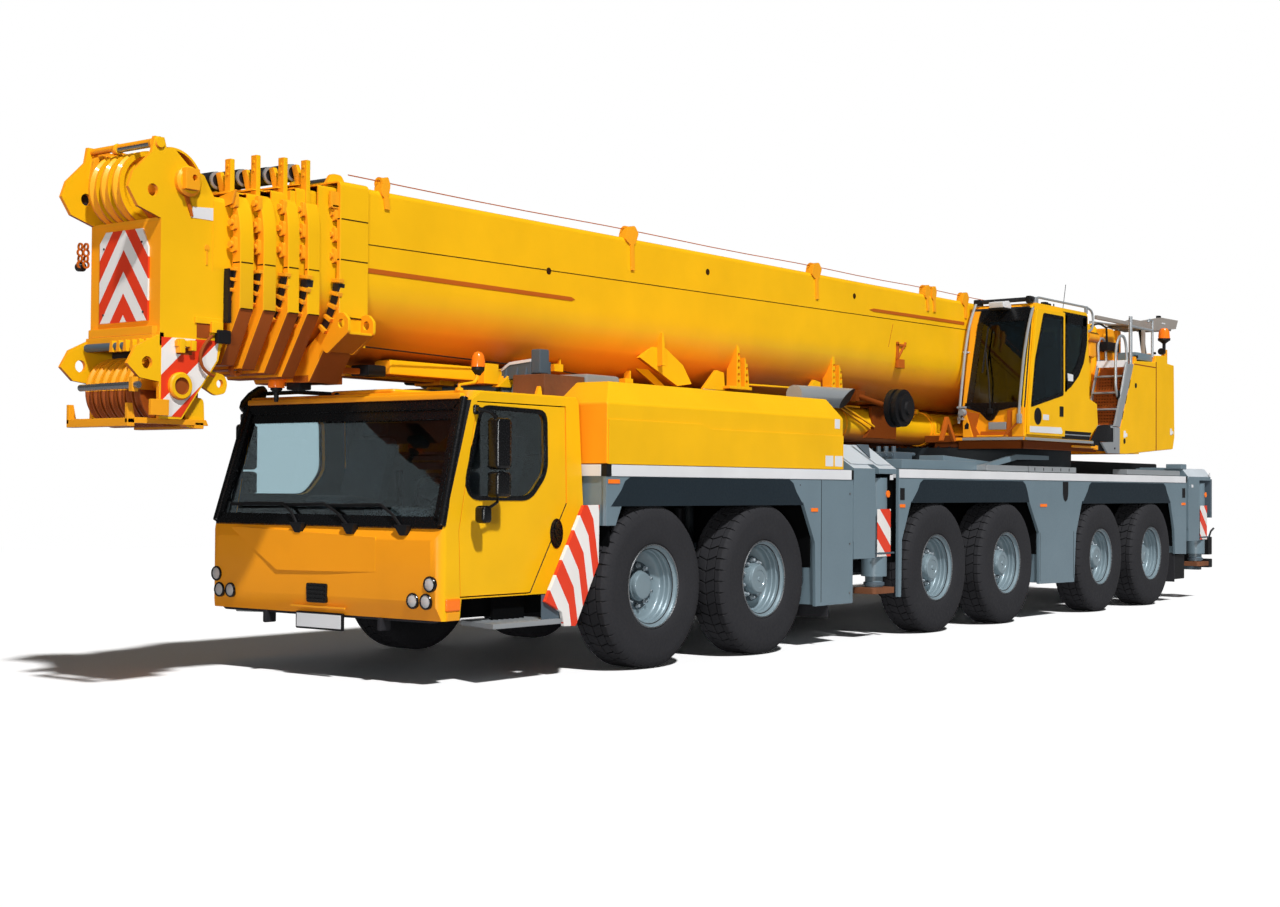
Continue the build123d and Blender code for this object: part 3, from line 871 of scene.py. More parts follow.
# ---------------------------------------------------------------- studio
@dataclass
class Studio:
    """Pale floor, soft daylight and the camera, which stands off the front left corner."""

    eye: tuple[float, float, float] = (10.26, -16.152, 1.484)
    yaw: float = math.radians(37.2417)
    pitch: float = math.radians(1.1036)
    roll: float = math.radians(0.3968)
    lens: float = 50.1085
    light_way: tuple[float, float, float] = (-0.575, 0.304, -0.759)
    sun: float = 3.5
    sky: float = 0.056
    fills: tuple[tuple[float, float, float], ...] = ((-0.5, 0.86, 1.5), (0.6, -0.8, 1.0))
    floor_radius: float = 90.0
    fade: Span = (13.0, 26.0)
    film: float = 36.0
    far_limit: float = 500.0

    def build(self) -> None:
        """Set up floor, lights and camera."""
        self.lay_floor()
        self.light()
        self.place_camera()

    def lay_floor(self) -> None:
        """Round pale floor that keeps shadows near the machine and fades to plain white."""
        take()
        bpy.ops.mesh.primitive_circle_add(vertices=96, radius=self.floor_radius, fill_type="NGON")
        floor = bpy.context.object
        floor.name = "floor"
        nodes = Nodes(bpy.data.materials.new("pale_floor"))
        sight = nodes.make("ShaderNodeLightPath").outputs["Is Camera Ray"]
        bounce = nodes.mix(nodes.noise(9.0), linear((166, 166, 168)), linear((172, 172, 174)))
        seen = nodes.mix(nodes.noise(9.0), (1.10, 1.10, 1.10, 1), (1.14, 1.14, 1.14, 1))
        paint = nodes.make("ShaderNodeBsdfPrincipled", {
            "Base Color": nodes.mix(sight, bounce, seen), "Roughness": 0.9, "Specular IOR Level": 0.0})
        plain = nodes.make("ShaderNodeEmission")
        x, y, _ = nodes.axes(nodes.place)
        away = nodes.sum("SQRT", nodes.sum("ADD", nodes.sum("MULTIPLY", x, x), nodes.sum("MULTIPLY", y, y)))
        share = nodes.sum("MULTIPLY", nodes.range(away, self.fade, (0.0, 1.0)), sight)
        blend = nodes.make("ShaderNodeMixShader", {0: share, 1: paint.outputs[0], 2: plain.outputs[0]})
        nodes.make("ShaderNodeOutputMaterial", {0: blend.outputs[0]})
        floor.data.materials.append(nodes.owner)

    def light(self) -> None:
        """One soft sun, two level fill lights and an even sky, which shows as white where it is looked at."""
        lamps = [(self.light_way, self.sun, 3.0)]
        lamps += [((x, y, 0.0), energy, 12.0) for x, y, energy in self.fills]
        for way, energy, angle in lamps:
            take()
            bpy.ops.object.light_add(type="SUN", location=Vector(way) * -20)
            lamp = bpy.context.object
            lamp.data.energy = energy
            lamp.data.angle = math.radians(angle)
            lamp.rotation_euler = Vector(way).to_track_quat("-Z", "Y").to_euler()
        world = bpy.data.worlds.new("sky")
        bpy.context.scene.world = world
        nodes = Nodes(world)
        sight = nodes.make("ShaderNodeLightPath").outputs
        seen = nodes.sum("MAXIMUM", sight["Is Camera Ray"], sight["Is Transmission Ray"])
        even = nodes.make("ShaderNodeBackground", {"Color": WHITE_LIGHT, "Strength": self.sky})
        white = nodes.make("ShaderNodeBackground", {"Color": WHITE_LIGHT})
        blend = nodes.make("ShaderNodeMixShader", {0: seen, 1: even.outputs[0], 2: white.outputs[0]})
        nodes.make("ShaderNodeOutputWorld", {0: blend.outputs[0]})

    def place_camera(self) -> None:
        """Camera at its place, turned by its yaw, pitch and roll."""
        take()
        bpy.ops.object.camera_add()
        camera = bpy.context.object
        forward = Vector((-math.sin(self.yaw) * math.cos(self.pitch),
                          math.cos(self.yaw) * math.cos(self.pitch), math.sin(self.pitch)))
        level = Vector((math.cos(self.yaw), math.sin(self.yaw), 0))
        upright = level.cross(forward)
        right = math.cos(self.roll) * level + math.sin(self.roll) * upright
        up = math.cos(self.roll) * upright - math.sin(self.roll) * level
        camera.matrix_world = Matrix.Translation(self.eye) @ Matrix((right, up,
                                                                     -forward)).transposed().to_4x4()
        camera.data.lens = self.lens
        camera.data.sensor_width = self.film
        camera.data.clip_end = self.far_limit
        bpy.context.scene.camera = camera
        bpy.context.scene.view_settings.view_transform = "Standard"


# ---------------------------------------------------------------- wheels
@dataclass
class Wheels:
    """Twelve equal tyres on deeply dished rims; the driven axles have bigger hubs."""

    radius: float = 0.675
    pitches: int = 42
    block_length: float = 0.089
    tread_base: float = 0.654
    tread_top: float = 0.6716
    # Where the painted highlight on block edges and the painted shade on groove walls go.
    highlight_from: float = 0.655
    highlight_side: float = 1.44
    highlight_slope: float = 0.35
    groove_from: float = 0.655
    slopes: Span = (0.25, 0.9)
    flange: Span = (0.14, 0.20)
    nut_ring: Span = (0.1435, 0.1915)
    flange_depth: Span = (1.29, 1.344)
    nut_depths: tuple[Span, Span] = ((1.304, 1.3419), (1.3435, 1.39))
    nut_circle: float = 0.1675
    nuts: int = 10
    capped_axles: tuple[int, ...] = (1, 6)
    tread_columns: tuple[tuple[float, float, float, float], ...] = (
        (1.216, 1.305, 0.017, -0.017),
        (1.312, 1.396, -0.017, 0.017),
    )
    carcass: Outline = (
        (1.275, 0.300), (1.128, 0.304), (1.118, 0.345), (1.115, 0.420), (1.115, 0.560), (1.129, 0.620),
        (1.140, 0.642), (1.160, 0.654), (1.300, 0.658), (1.455, 0.654), (1.474, 0.642), (1.486, 0.620),
        (1.4965, 0.588), (1.4995, 0.560), (1.500, 0.500), (1.4985, 0.440), (1.495, 0.400), (1.486, 0.362),
        (1.480, 0.353), (1.466, 0.349), (1.440, 0.305),
    )
    shoulder: Outline = (
        (1.403, 0.650), (1.403, 0.6732), (1.450, 0.6700), (1.476, 0.648), (1.490, 0.612), (1.484, 0.606),
        (1.466, 0.635),
    )
    dish: Outline = (
        (1.462, 0.350), (1.474, 0.348), (1.479, 0.341), (1.475, 0.334), (1.462, 0.332), (1.452, 0.322),
        (1.446, 0.313), (1.412, 0.311), (1.404, 0.303), (1.372, 0.302), (1.364, 0.294), (1.332, 0.292),
        (1.318, 0.284), (1.308, 0.266), (1.303, 0.240), (1.298, 0.214), (1.300, 0.200), (1.300, 0.090),
    )
    back_of_dish: Outline = ((1.275, 0.040), (1.275, 0.25), (1.255, 0.30), (1.200, 0.31), (1.128, 0.318))
    cap_hub: Outline = (
        (1.290, 0.128), (1.330, 0.126), (1.334, 0.118), (1.362, 0.114), (1.372, 0.107), (1.377, 0.090),
        (1.377, 0.0001),
    )
    drive_hub: Outline = (
        (1.290, 0.204), (1.335, 0.203), (1.342, 0.197), (1.342, 0.142), (1.400, 0.138), (1.412, 0.130),
        (1.424, 0.127), (1.431, 0.119), (1.431, 0.082), (1.426, 0.078), (1.426, 0.024), (1.434, 0.020),
        (1.434, 0.0001),
    )

    def build(self) -> None:
        """Model one wheel of each kind and place the others as copies."""
        centre = at(0, 0, self.radius)
        tyre = self.tyre(centre)
        capped = self.rim(centre, self.cap_hub, 1.300)
        driven = self.rim(centre, self.drive_hub, 1.342)
        lip = turned(((1.470, 0.3475), (1.4785, 0.3465), (1.4835, 0.3405), (1.4785, 0.3345), (1.470, 0.3335)),
                     centre, steps=72)
        for axle in range(1, len(AXLES) + 1):
            rim = capped if axle in self.capped_axles else driven
            for side, sign in SIDES:
                body = f"wheel_{axle}_{side}"
                low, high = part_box(body)
                move = Vector((0, (low.y + high.y) / 2 - FRONT_AXLE, 0))
                turn = 0.0 if sign > 0 else math.pi
                place = {"move": move, "turn": turn, "pivot": at(0, 0, 0)}
                shown = fit(copied(tyre, **place), f"tyre_{axle}_{side}", body, RUBBER, (body,))
                hub = Vector((0, move.y, self.radius))
                # Painted shade on the groove walls and a painted highlight on the block edges at the outer
                # shoulder.
                repaint(shown, GROOVE_SHADE_RUBBER, lambda spot, normal: self.is_edge(spot - hub, normal, False))
                repaint(shown, TREAD_EDGE_HIGHLIGHT, lambda spot, normal: self.is_edge(spot - hub, normal, True))
                metal = fit(copied(rim, **place), f"rim_{axle}_{side}", body, RIM)
                # Painted shade on the flange ring round the nuts.
                repaint(metal, RIM_FLANGE_SHADE,
                        lambda spot, normal: self.in_ring(spot - hub, self.flange, self.flange_depth))
                repaint(metal, NUT, lambda spot, normal: any(
                    self.in_ring(spot - hub, self.nut_ring, depth) for depth in self.nut_depths))
                fit(copied(lip, **place), f"rim_lip_{axle}_{side}", body, BRIGHT)
        for pattern in (tyre, capped, driven, lip):
            bpy.data.objects.remove(pattern)

    def is_edge(self, spot: Vector, normal: Vector, highlight: bool) -> bool:
        """Whether a face is a broken edge of a tread block at the outer shoulder, which takes a painted
        highlight, or a groove wall elsewhere, which takes painted shade.

        Args:
            spot: the face's middle, from the wheel's.
            normal: its normal.
            highlight: whether the faces for the painted highlight at the outer shoulder are asked for.

        Returns:
            Whether it is.
        """
        out = Vector((0, spot.y, spot.z))
        slope = out.normalized().dot(normal)
        round_way = abs(out.normalized().cross(Vector((1, 0, 0))).dot(normal))
        if highlight:
            return (out.length > self.highlight_from and abs(spot.x) > self.highlight_side
                    and self.slopes[1] > round_way > self.highlight_slope)
        return out.length > self.groove_from and slope < self.slopes[0]

    def in_ring(self, spot: Vector, reach: Span, depth: Span) -> bool:
        """Whether a face lies in a ring round the hub.

        Args:
            spot: the face's middle, from the wheel's.
            reach: the ring's inner and outer radius.
            depth: its two ends across the machine.

        Returns:
            Whether it does.
        """
        return reach[0] < math.hypot(spot.y, spot.z) < reach[1] and depth[0] < abs(spot.x) < depth[1]

    def tyre(self, centre: Vector) -> Piece:
        """Tyre with block tread.

        Args:
            centre: middle of the machine on the axle's line.

        Returns:
            The left tyre of the front axle.
        """
        carcass = turned(self.carcass, centre, steps=96)
        half = self.block_length / 2
        back = centre.y - FRONT_AXLE
        blocks = []
        for inner, outer, start, end in self.tread_columns:
            outline = ((inner, back - half + start), (outer, back - half + end), (outer, back + half + end),
                       (inner, back + half + start))
            blocks.append(deck_sheet((centre.z + self.tread_base - 0.002, centre.z + self.tread_top), outline,
                                     0.005))
        outline = [(x, centre.z + height) for x, height in self.shoulder]
        outer = front_sheet((back - half, back + half), outline, 0.005)
        outline = [(2.615 - x, height) for x, height in outline]
        inner = front_sheet((back - half, back + half), outline, 0.005)
        tread = ringed(joined([*blocks, outer, inner]), centre, Along.X, self.pitches)
        return joined([carcass, tread])

    def rim(self, centre: Vector, hub: Outline, seat: float) -> Piece:
        """Dished rim with its ring of nuts and its hub.

        Args:
            centre: middle of the machine on the axle's line.
            hub: the hub's profile.
            seat: X of the face that the nuts sit on.

        Returns:
            The left rim of the front axle.
        """
        nut = turned(((seat - 0.004, 0.024), (seat + 0.008, 0.024), (seat + 0.010, 0.0175),
                      (seat + 0.034, 0.0155), (seat + 0.042, 0.010), (seat + 0.042, 0.0001)),
                     centre + Vector((0, 0, self.nut_circle)), steps=6)
        nuts = ringed(nut, centre, Along.X, self.nuts)
        return joined([turned(self.dish, centre, steps=72), turned(self.back_of_dish, centre, steps=48),
                       turned(hub, centre, steps=48), nuts])


# ---------------------------------------------------------------- carrier cab
@dataclass
class CarrierCab:
    """Low wide driving cab with a raked windscreen, two hinged doors and its mirrors."""

    body: str = "carrier"
    half: float = 1.275
    wall: float = 0.05
    face: float = -2.335
    screen_foot: tuple[float, float] = (-2.29, 1.17)
    screen_head: tuple[float, float] = (-2.0, 2.13)
    door_outline: Outline = (
        (-2.100, 0.672), (-2.120, 1.160), (-1.930, 2.115), (-0.914, 2.115), (-0.890, 1.360), (-1.320, 0.672),
    )
    window: Outline = (
        (-1.905, 2.098), (-1.136, 2.085), (-1.120, 1.594), (-1.324, 1.379), (-1.996, 1.382), (-2.076, 1.500),
    )
    lamps: tuple[tuple[float, float], ...] = ((1.188, 0.770), (1.017, 0.643), (1.151, 0.642))
    wiper_pivots: tuple[tuple[float, float], ...] = ((-0.233, -0.465), (0.346, 0.004), (0.907, 0.614))
    seats: tuple[float, ...] = (-0.72, 0.72)

    def build(self) -> None:
        """Shell, glass, doors, front fittings, roof, inside, steps."""
        self.shell()
        self.screen()
        for side, sign in SIDES:
            self.door(side, sign)
            self.mirrors(side, sign)
        self.front()
        self.roof()
        self.inside()
        self.steps()

    def on_screen(self, x: float, z: float, lift: float = 0.0) -> Vector:
        """Point on the raked plane of the windscreen.

        Args:
            x: its X.
            z: its height.
            lift: how far it stands out of the plane.

        Returns:
            The point.
        """
        (foot, low), (head, high) = self.screen_foot, self.screen_head
        way = self.outward()
        return at(x, foot + (z - low) * (head - foot) / (high - low), z) + way * lift

    def outward(self) -> Vector:
        """The way out of the windscreen."""
        (foot, low), (head, high) = self.screen_foot, self.screen_head
        return Vector((0, -(high - low), head - foot)).normalized()

    def shell(self) -> None:
        """Cab shell, dark inside, with the fold across its front."""
        shell = fit(softened("carrier_cab", 0.014), "cab_shell", self.body, YELLOW,
                    ("carrier_cab",))
        inner = self.half - self.wall / 2
        repaint(shell, TRIM, lambda middle, normal: abs(middle.x) < inner and -2.28 < middle.y < -0.72
                and 0.94 < middle.z < 2.16)
        # Painted shade: the low inside faces of the shell are dark steel.
        repaint(shell, STEEL, lambda middle, normal: middle.z < 0.93 and abs(middle.x) < inner
                and middle.y > -2.29)
        fold_line = ((-1.02, 1.145), (-0.458, 0.824), (0.10, 0.830), (0.62, 0.842))
        heights = (0.001, 0.015, 0.011, 0.001)
        points = [at(x, self.face - rise, z) for (x, z), rise in zip(fold_line, heights)]
        fold = sheet([*points, at(0.62, self.face - 0.001, 1.10), at(-0.9, self.face - 0.001, 1.15)],
                     Vector((0, 0.02, 0)), 0.0)
        fit(fold, "cab_front_fold", self.body, YELLOW, smooth=5)

    def screen(self) -> None:
        """Windscreen in its wide black frame, with wipers."""
        dress_node("windscreen", GLASS)
        out = self.outward()
        rim = [self.on_screen(x, z, -0.012) for x, z in rounded(
            ((-1.268, 1.172), (1.268, 1.172), (1.214, 2.142), (-1.214, 2.142)), 0.06)]
        frame_piece = ring_sheet(rim, out * 0.034, 0.088, 0.008)
        pillars = [rod(self.on_screen(sign * 1.252, 1.19, 0.006),
                       self.on_screen(sign * 1.200, 2.15, 0.006), 0.034, 24, 0.012) for _, sign in SIDES]
        fit(joined([frame_piece, *pillars]), "windscreen_frame", self.body, GLOSS_BLACK)
        band = sheet([self.on_screen(x, z, 0.001) for x, z in (
            (-1.16, 1.985), (1.16, 1.985), (1.15, 2.06), (-1.15, 2.06))], out * 0.006, 0.0)
        fit(band, "windscreen_sun_band", self.body, GLOSS_BLACK)
        arms = []
        for index, (pivot, tip) in enumerate(self.wiper_pivots):
            start = -1.088 if index == 0 else self.wiper_pivots[index - 1][1] + 0.02
            foot = self.on_screen(pivot, 1.145, 0.03)
            knee = self.on_screen(tip, 1.335, 0.045)
            base = sheet([foot + Vector((x, -0.02, z))
                          for x, z in ((-0.095, 0.045), (0.055, 0.045), (0.03, -0.035), (-0.03, -0.035))],
                         Vector((0, 0.07, 0)), 0.008)
            arms += [base,
                     rail([foot, self.on_screen((pivot + tip) / 2 + 0.02, 1.255, 0.05), knee], 0.011, 0.03),
                     rod(knee, self.on_screen(start, 1.325, 0.04), 0.009, 8),
                     sheet([self.on_screen(x, z, 0.022)
                            for x, z in ((start, 1.312), (tip, 1.322), (tip, 1.332), (start, 1.322))],
                           out * 0.014, 0.0)]
        fit(joined(arms), "windscreen_wipers", self.body, PLASTIC)

    def door(self, side: str, sign: int) -> None:
        """Hinged door with its window, seal and handle.

        Args:
            side: left or right.
            sign: 1 for left.
        """
        body = f"cab_door_{side}"
        outer, inner = sign * self.half, sign * (self.half - self.wall)
        opening = rounded(self.window, 0.10)
        panel = side_sheet((inner, outer), self.door_outline, 0.007)
        hole = side_sheet((inner - sign * 0.02, outer + sign * 0.02), [
            (back * 0.97 - 0.048, 1.735 + (z - 1.735) * 0.93) for back, z in opening], 0.0)
        door = fit(cut(panel, hole), f"{body}_panel", body, YELLOW, (body,))
        repaint(door, TRIM, lambda middle, normal: normal.x * sign < -0.5)
        seal = ring_sheet([at(outer - sign * 0.012, back, z) for back, z in opening],
                          Vector((sign * 0.018, 0, 0)), 0.034, 0.005)
        fit(seal, f"{body}_seal", body, GLOSS_BLACK)
        pane = side_sheet((outer - sign * 0.016, outer - sign * 0.010), opening, 0.0)
        fit(pane, f"{body}_glass", body, DOOR_GLASS)
        grip = sheet([at(outer - sign * 0.004, back, z) for back, z in oval((-1.012, 1.122), (0.076, 0.117))],
                     Vector((sign * 0.014, 0, 0)), 0.005)
        pull = sheet([at(outer + sign * 0.008, back, z) for back, z in oval((-1.012, 1.150), (0.036, 0.070))],
                     Vector((sign * 0.012, 0, 0)), 0.004)
        fit(joined([grip, pull]), f"{body}_handle", body, GLOSS_BLACK)
        lining = side_sheet((inner - sign * 0.004, inner + sign * 0.01),
                            ((-2.03, 0.75), (-2.04, 1.28), (-1.25, 1.28), (-1.05, 1.2), (-1.33, 0.75)), 0.004)
        rest = block((inner, inner - sign * 0.07), (-1.9, -1.35), (1.20, 1.25), 0.015)
        fit(joined([lining, rest]), f"{body}_lining", body, TRIM)

    def mirrors(self, side: str, sign: int) -> None:
        """Tall two-part mirror and a small round one on bent arms.

        Args:
            side: left or right.
            sign: 1 for left.
        """
        body = f"cab_door_{side}"
        parts = []
        for low, high in ((1.405, 1.597), (1.612, 1.995)):
            case = block((sign * 1.355, sign * 1.482), (-1.925, -1.775), (low, high), 0.0)
            parts.append(break_edges(case, 0.030, 30, 4))
        parts.append(rail([at(sign * x, back, z)
                           for x, back, z in ((1.255, -1.955, 2.055), (1.33, -1.975, 2.06),
                                              (1.415, -1.90, 2.03), (1.42, -1.87, 1.96))], 0.016, 0.04))
        parts.append(break_edges(block((sign * 1.245, sign * 1.30), (-1.985, -1.925), (2.02, 2.095), 0.0),
                                 0.02, 30, 3))
        parts.append(rail([at(sign * x, back, z)
                           for x, back, z in ((1.42, -1.86, 1.42), (1.42, -1.87, 1.37), (1.41, -1.95, 1.325),
                                              (1.40, -1.99, 1.32))], 0.012, 0.03))
        small = break_edges(block((sign * 1.345, sign * 1.455), (-2.045, -1.95), (1.215, 1.345), 0.0), 0.03,
                            30, 4)
        fit(joined([*parts, small]), f"mirror_{side}", body, GLOSS_BLACK)
        glasses = [block((sign * 1.368, sign * 1.470), (-1.776, -1.771), (low, high), 0.002)
                   for low, high in ((1.42, 1.582), (1.63, 1.975))]
        fit(joined(glasses), f"mirror_glass_{side}", body, MIRROR)

    def front(self) -> None:
        """Lamps, indicators, blank badge and number plate, and the lower edge."""
        rings, lenses, bowls = [], [], []
        for _, sign in SIDES:
            for x, z in self.lamps:
                centre = at(sign * x, self.face, z)
                rings.append(turned(((0.012, 0.060), (-0.008, 0.060), (-0.014, 0.056), (-0.014, 0.048),
                                     (0.0, 0.046), (0.012, 0.046)), centre, Along.Y, 32))
                lenses.append(turned(((0.004, 0.047), (-0.008, 0.046), (-0.013, 0.032), (-0.016, 0.0001)),
                                     centre, Along.Y, 32))
                bowls.append(turned(((0.006, 0.046), (0.001, 0.043), (0.006, 0.020), (0.006, 0.0001)), centre,
                                    Along.Y, 24))
        fit(joined(rings), "headlamp_rings", self.body, GLOSS_BLACK)
        fit(joined(lenses), "headlamp_lenses", self.body, LAMP)
        fit(joined(bowls), "headlamp_bowls", self.body, BRIGHT)
        indicators, holders = [], []
        for _, sign in SIDES:
            lens = block((sign * 1.225, sign * 1.290), (-2.262, -2.112), (0.570, 0.662), 0.0)
            indicators.append(break_edges(lens, 0.012, 30, 3))
            holders.append(block((sign * 1.25, sign * 1.284), (-2.25, -2.12), (0.50, 0.565)))
        fit(joined(indicators), "cab_indicators", self.body, ORANGE_LENS)
        fit(joined(holders), "cab_indicator_holders", self.body, SHADED_YELLOW)
        badge = front_sheet((self.face - 0.014, self.face + 0.01), rounded((
            (-0.115, 0.585), (0.105, 0.585), (0.11, 0.735), (-0.12, 0.735)), 0.02), 0.006)
        ribs = rowed(block((-0.10, 0.09), (self.face - 0.022, self.face - 0.012), (0.603, 0.622), 0.004),
                     Vector((0, 0, 0.032)), 4)
        fit(joined([badge, ribs]), "front_badge_blank", self.body, GLOSS_BLACK)
        plate_frame = front_sheet((-2.322, -2.300), rounded((
            (-0.262, 0.378), (0.262, 0.378), (0.262, 0.512), (-0.262, 0.512)), 0.015), 0.004)
        fit(plate_frame, "number_plate_frame", self.body, PLASTIC)
        fit(front_sheet((-2.327, -2.319),
                        ((-0.245, 0.393), (0.245, 0.393), (0.245, 0.497), (-0.245, 0.497)), 0.002),
            "number_plate_blank", self.body, WHITE)
        skirt = front_sheet((-2.28, -2.20), ((-1.15, 0.48), (1.15, 0.48), (1.2, 0.51), (-1.2, 0.51)), 0.01)
        hooks = [block((sign * 0.62, sign * 0.66), (-2.31, -2.2), (0.40, 0.50), 0.01) for _, sign in SIDES]
        fit(joined([skirt, *hooks]), "front_skirt", self.body, STEEL)
        # Near-black sheets below the cab, painted shade.
        liner = block((1.10, 1.13), (-1.95, -0.78), (0.50, 0.94))
        fit(both_sides(liner), "cab_step_liners", self.body, WELL_SHADE)
        cover = block((-0.30, 0.30), (self.face - 0.006, self.face + 0.01), (0.545, 0.56), 0.002)
        fit(cover, "front_cover_strip", self.body, SHADED_YELLOW)

    def roof(self) -> None:
        """Roof cap with its visor, hatch, warning beacon and the front mirror on its arm."""
        cap = deck_sheet((2.140, 2.204),
                         rounded(((-1.268, -0.735), (-1.268, -1.90), (-1.215, -1.99), (1.215, -1.99),
                                  (1.268, -1.90), (1.268, -0.735)), 0.05), 0.012)
        visor = front_sheet((-2.035, -1.93),
                            ((-1.2, 2.135), (1.2, 2.135), (1.19, 2.182), (-1.19, 2.182)), 0.012)
        fit(joined([cap, visor]), "cab_roof_cap", self.body, YELLOW)
        hatch = deck_sheet((2.20, 2.238), rounded((
            (-0.33, -1.93), (0.42, -1.96), (0.42, -1.30), (-0.33, -1.30)), 0.05), 0.018)
        ribs = rowed(block((-1.05, -0.55), (-1.75, -1.71), (2.20, 2.212), 0.005), Vector((0, 0.18, 0)), 5)
        fit(joined([hatch, both_sides(ribs)]), "cab_roof_hatch", self.body, YELLOW)
        post = rail([at(1.12, -1.97, 2.19), at(1.12, -1.97, 2.245), at(1.09, -1.76, 2.275),
                     at(1.09, -1.73, 2.36)], 0.013, 0.03, 3)
        foot = turned(((0.0, 0.032), (0.02, 0.030), (0.025, 0.018)), at(1.12, -1.97, 2.20), Along.Z, 20)
        lug = side_sheet((1.0, 1.03), ((-0.98, 2.2), (-0.94, 2.29), (-0.92, 2.29), (-0.90, 2.2)), 0.004)
        fit(joined([post, foot, lug]), "beacon_post", self.body, YELLOW)
        lamp = at(1.09, -1.73, 2.37)
        base = turned(((-0.04, 0.020), (-0.02, 0.034), (0.0, 0.05), (0.022, 0.05), (0.026, 0.04)), lamp,
                      Along.Z, 24)
        fit(base, "beacon_base", self.body, PLASTIC)
        dome = turned(((0.024, 0.052), (0.07, 0.052), (0.11, 0.044), (0.134, 0.028), (0.142, 0.0001)), lamp,
                      Along.Z, 28)
        fit(dome, "beacon_dome", self.body, ORANGE_LENS)
        case = turned(((-0.15, 0.004), (-0.145, 0.035), (-0.10, 0.062), (0.0, 0.072), (0.10, 0.060),
                       (0.145, 0.032), (0.15, 0.004)), Vector((0, 0, 0)), Along.Z, 20)
        case.scale = (0.6, 1.0, 1.0)
        case.rotation_euler = (math.radians(-50), 0, math.radians(-8))
        case.location = at(-1.24, -1.93, 2.195)
        take(case)
        bpy.ops.object.transform_apply()
        arm = rail([at(-1.22, -1.85, 2.245), at(-0.75, -1.88, 2.245), at(-0.30, -1.90, 2.215),
                    at(-0.22, -1.90, 2.19)], 0.017, 0.06)
        boss = turned(((-0.02, 0.045), (0.012, 0.045), (0.022, 0.03), (0.022, 0.0001)),
                      at(-0.24, -1.90, 2.205), Along.Z, 20)
        fit(joined([case, arm, boss]), "front_mirror", self.body, GLOSS_BLACK)

    def inside(self) -> None:
        """Dashboard, instruments, steering wheel, seats and the rear wall."""
        dash = side_sheet((-1.18, 1.18),
                          ((-2.22, 0.95), (-2.24, 1.16), (-2.16, 1.235), (-1.99, 1.255), (-1.87, 1.20),
                           (-1.80, 1.02), (-1.84, 0.95)), 0.03)
        console = block((-0.28, 0.28), (-1.90, -1.20), (0.945, 1.12), 0.05)
        wall = block((-1.2, 1.2), (-0.86, -0.80), (0.96, 1.75), 0.02)
        fit(joined([dash, console, wall]), "cab_dashboard", self.body, TRIM)
        binnacle = side_sheet((0.50, 0.94),
                              ((-2.10, 1.22), (-2.06, 1.33), (-1.92, 1.33), (-1.88, 1.20)), 0.02)
        screens = [block((x, x + 0.16), (-1.905, -1.885), (1.215, 1.30), 0.004) for x in (0.05, 0.25)]
        fit(joined([binnacle, *screens]), "cab_instruments", self.body, GLOSS_BLACK)
        take()
        bpy.ops.mesh.primitive_torus_add(location=at(0.72, -1.76, 1.36),
                                         rotation=(math.radians(-62), 0, 0), major_radius=0.215,
                                         minor_radius=0.016, major_segments=36, minor_segments=10)
        wheel = bpy.context.object
        bpy.ops.object.transform_apply()
        hub = at(0.72, -1.775, 1.352)
        spokes = [rod(hub,
                      hub + Vector((0.21 * math.cos(turn), 0.10 * math.sin(turn), 0.188 * math.sin(turn))),
                      0.012, 10)
                  for turn in (0.3, math.pi - 0.3, -math.pi / 2)]
        column = rod(hub, at(0.72, -1.97, 1.20), 0.032, 16)
        boss = rod(hub + Vector((0, 0.02, 0.01)), hub - Vector((0, 0.03, 0.02)), 0.05, 20, 0.01)
        fit(joined([wheel, *spokes, column, boss]), "steering_wheel", self.body, PLASTIC)
        for index, x in enumerate(self.seats):
            cushion = side_sheet((x - 0.25, x + 0.25),
                                 ((-1.60, 1.28), (-1.62, 1.36), (-1.56, 1.41), (-1.20, 1.37), (-1.12, 1.30),
                                  (-1.14, 1.24)), 0.035)
            rest = side_sheet((x - 0.24, x + 0.24),
                              ((-1.24, 1.36), (-1.20, 1.34), (-1.12, 1.36), (-1.00, 1.84), (-1.01, 1.88),
                               (-1.09, 1.89)), 0.035)
            head = side_sheet((x - 0.13, x + 0.13), (
                (-1.09, 1.91), (-1.07, 2.05), (-0.99, 2.05), (-0.99, 1.91)), 0.03)
            plinth = block((x - 0.2, x + 0.2), (-1.55, -1.15), (0.95, 1.25), 0.03)
            fit(joined([cushion, rest, head]), f"cab_seat_{index + 1}", self.body, CLOTH)
            fit(plinth, f"cab_seat_plinth_{index + 1}", self.body, TRIM)

    def steps(self) -> None:
        """Step plates below the doors with their brackets."""
        plates, brackets, hangers = [], [], []
        for _, sign in SIDES:
            outline = [(sign * x, back)
                       for x, back in ((0.96, -1.76), (1.44, -1.925), (1.44, -1.14), (0.96, -1.14))]
            plates.append(deck_sheet((0.430, 0.470), outline, 0.006))
            plates.append(rowed(block((sign * 1.02, sign * 1.40), (-1.72, -1.705), (0.468, 0.476), 0.003),
                                Vector((0, 0.06, 0)), 9))
            hangers.append(block((sign * 1.17, sign * 1.20), (-1.66, -1.30), (0.46, 0.78), 0.005))
            brackets.append(side_sheet((sign * 1.395, sign * 1.40), (
                (-1.33, 0.47), (-1.33, 0.66), (-1.12, 0.66), (-1.12, 0.47)), 0.0))
            brackets.append(block((sign * 0.42, sign * 1.18), (-1.6, -1.45), (0.64, 0.70), 0.01))
        fit(joined(plates), "cab_step_plates", self.body, SILVER, ("cab_steps",))
        fit(joined(brackets), "cab_step_brackets", self.body, FRAME_GREY)
        # The step hangers are near-black, painted shade.
        fit(joined(hangers), "cab_step_hangers", self.body, WELL_SHADE)
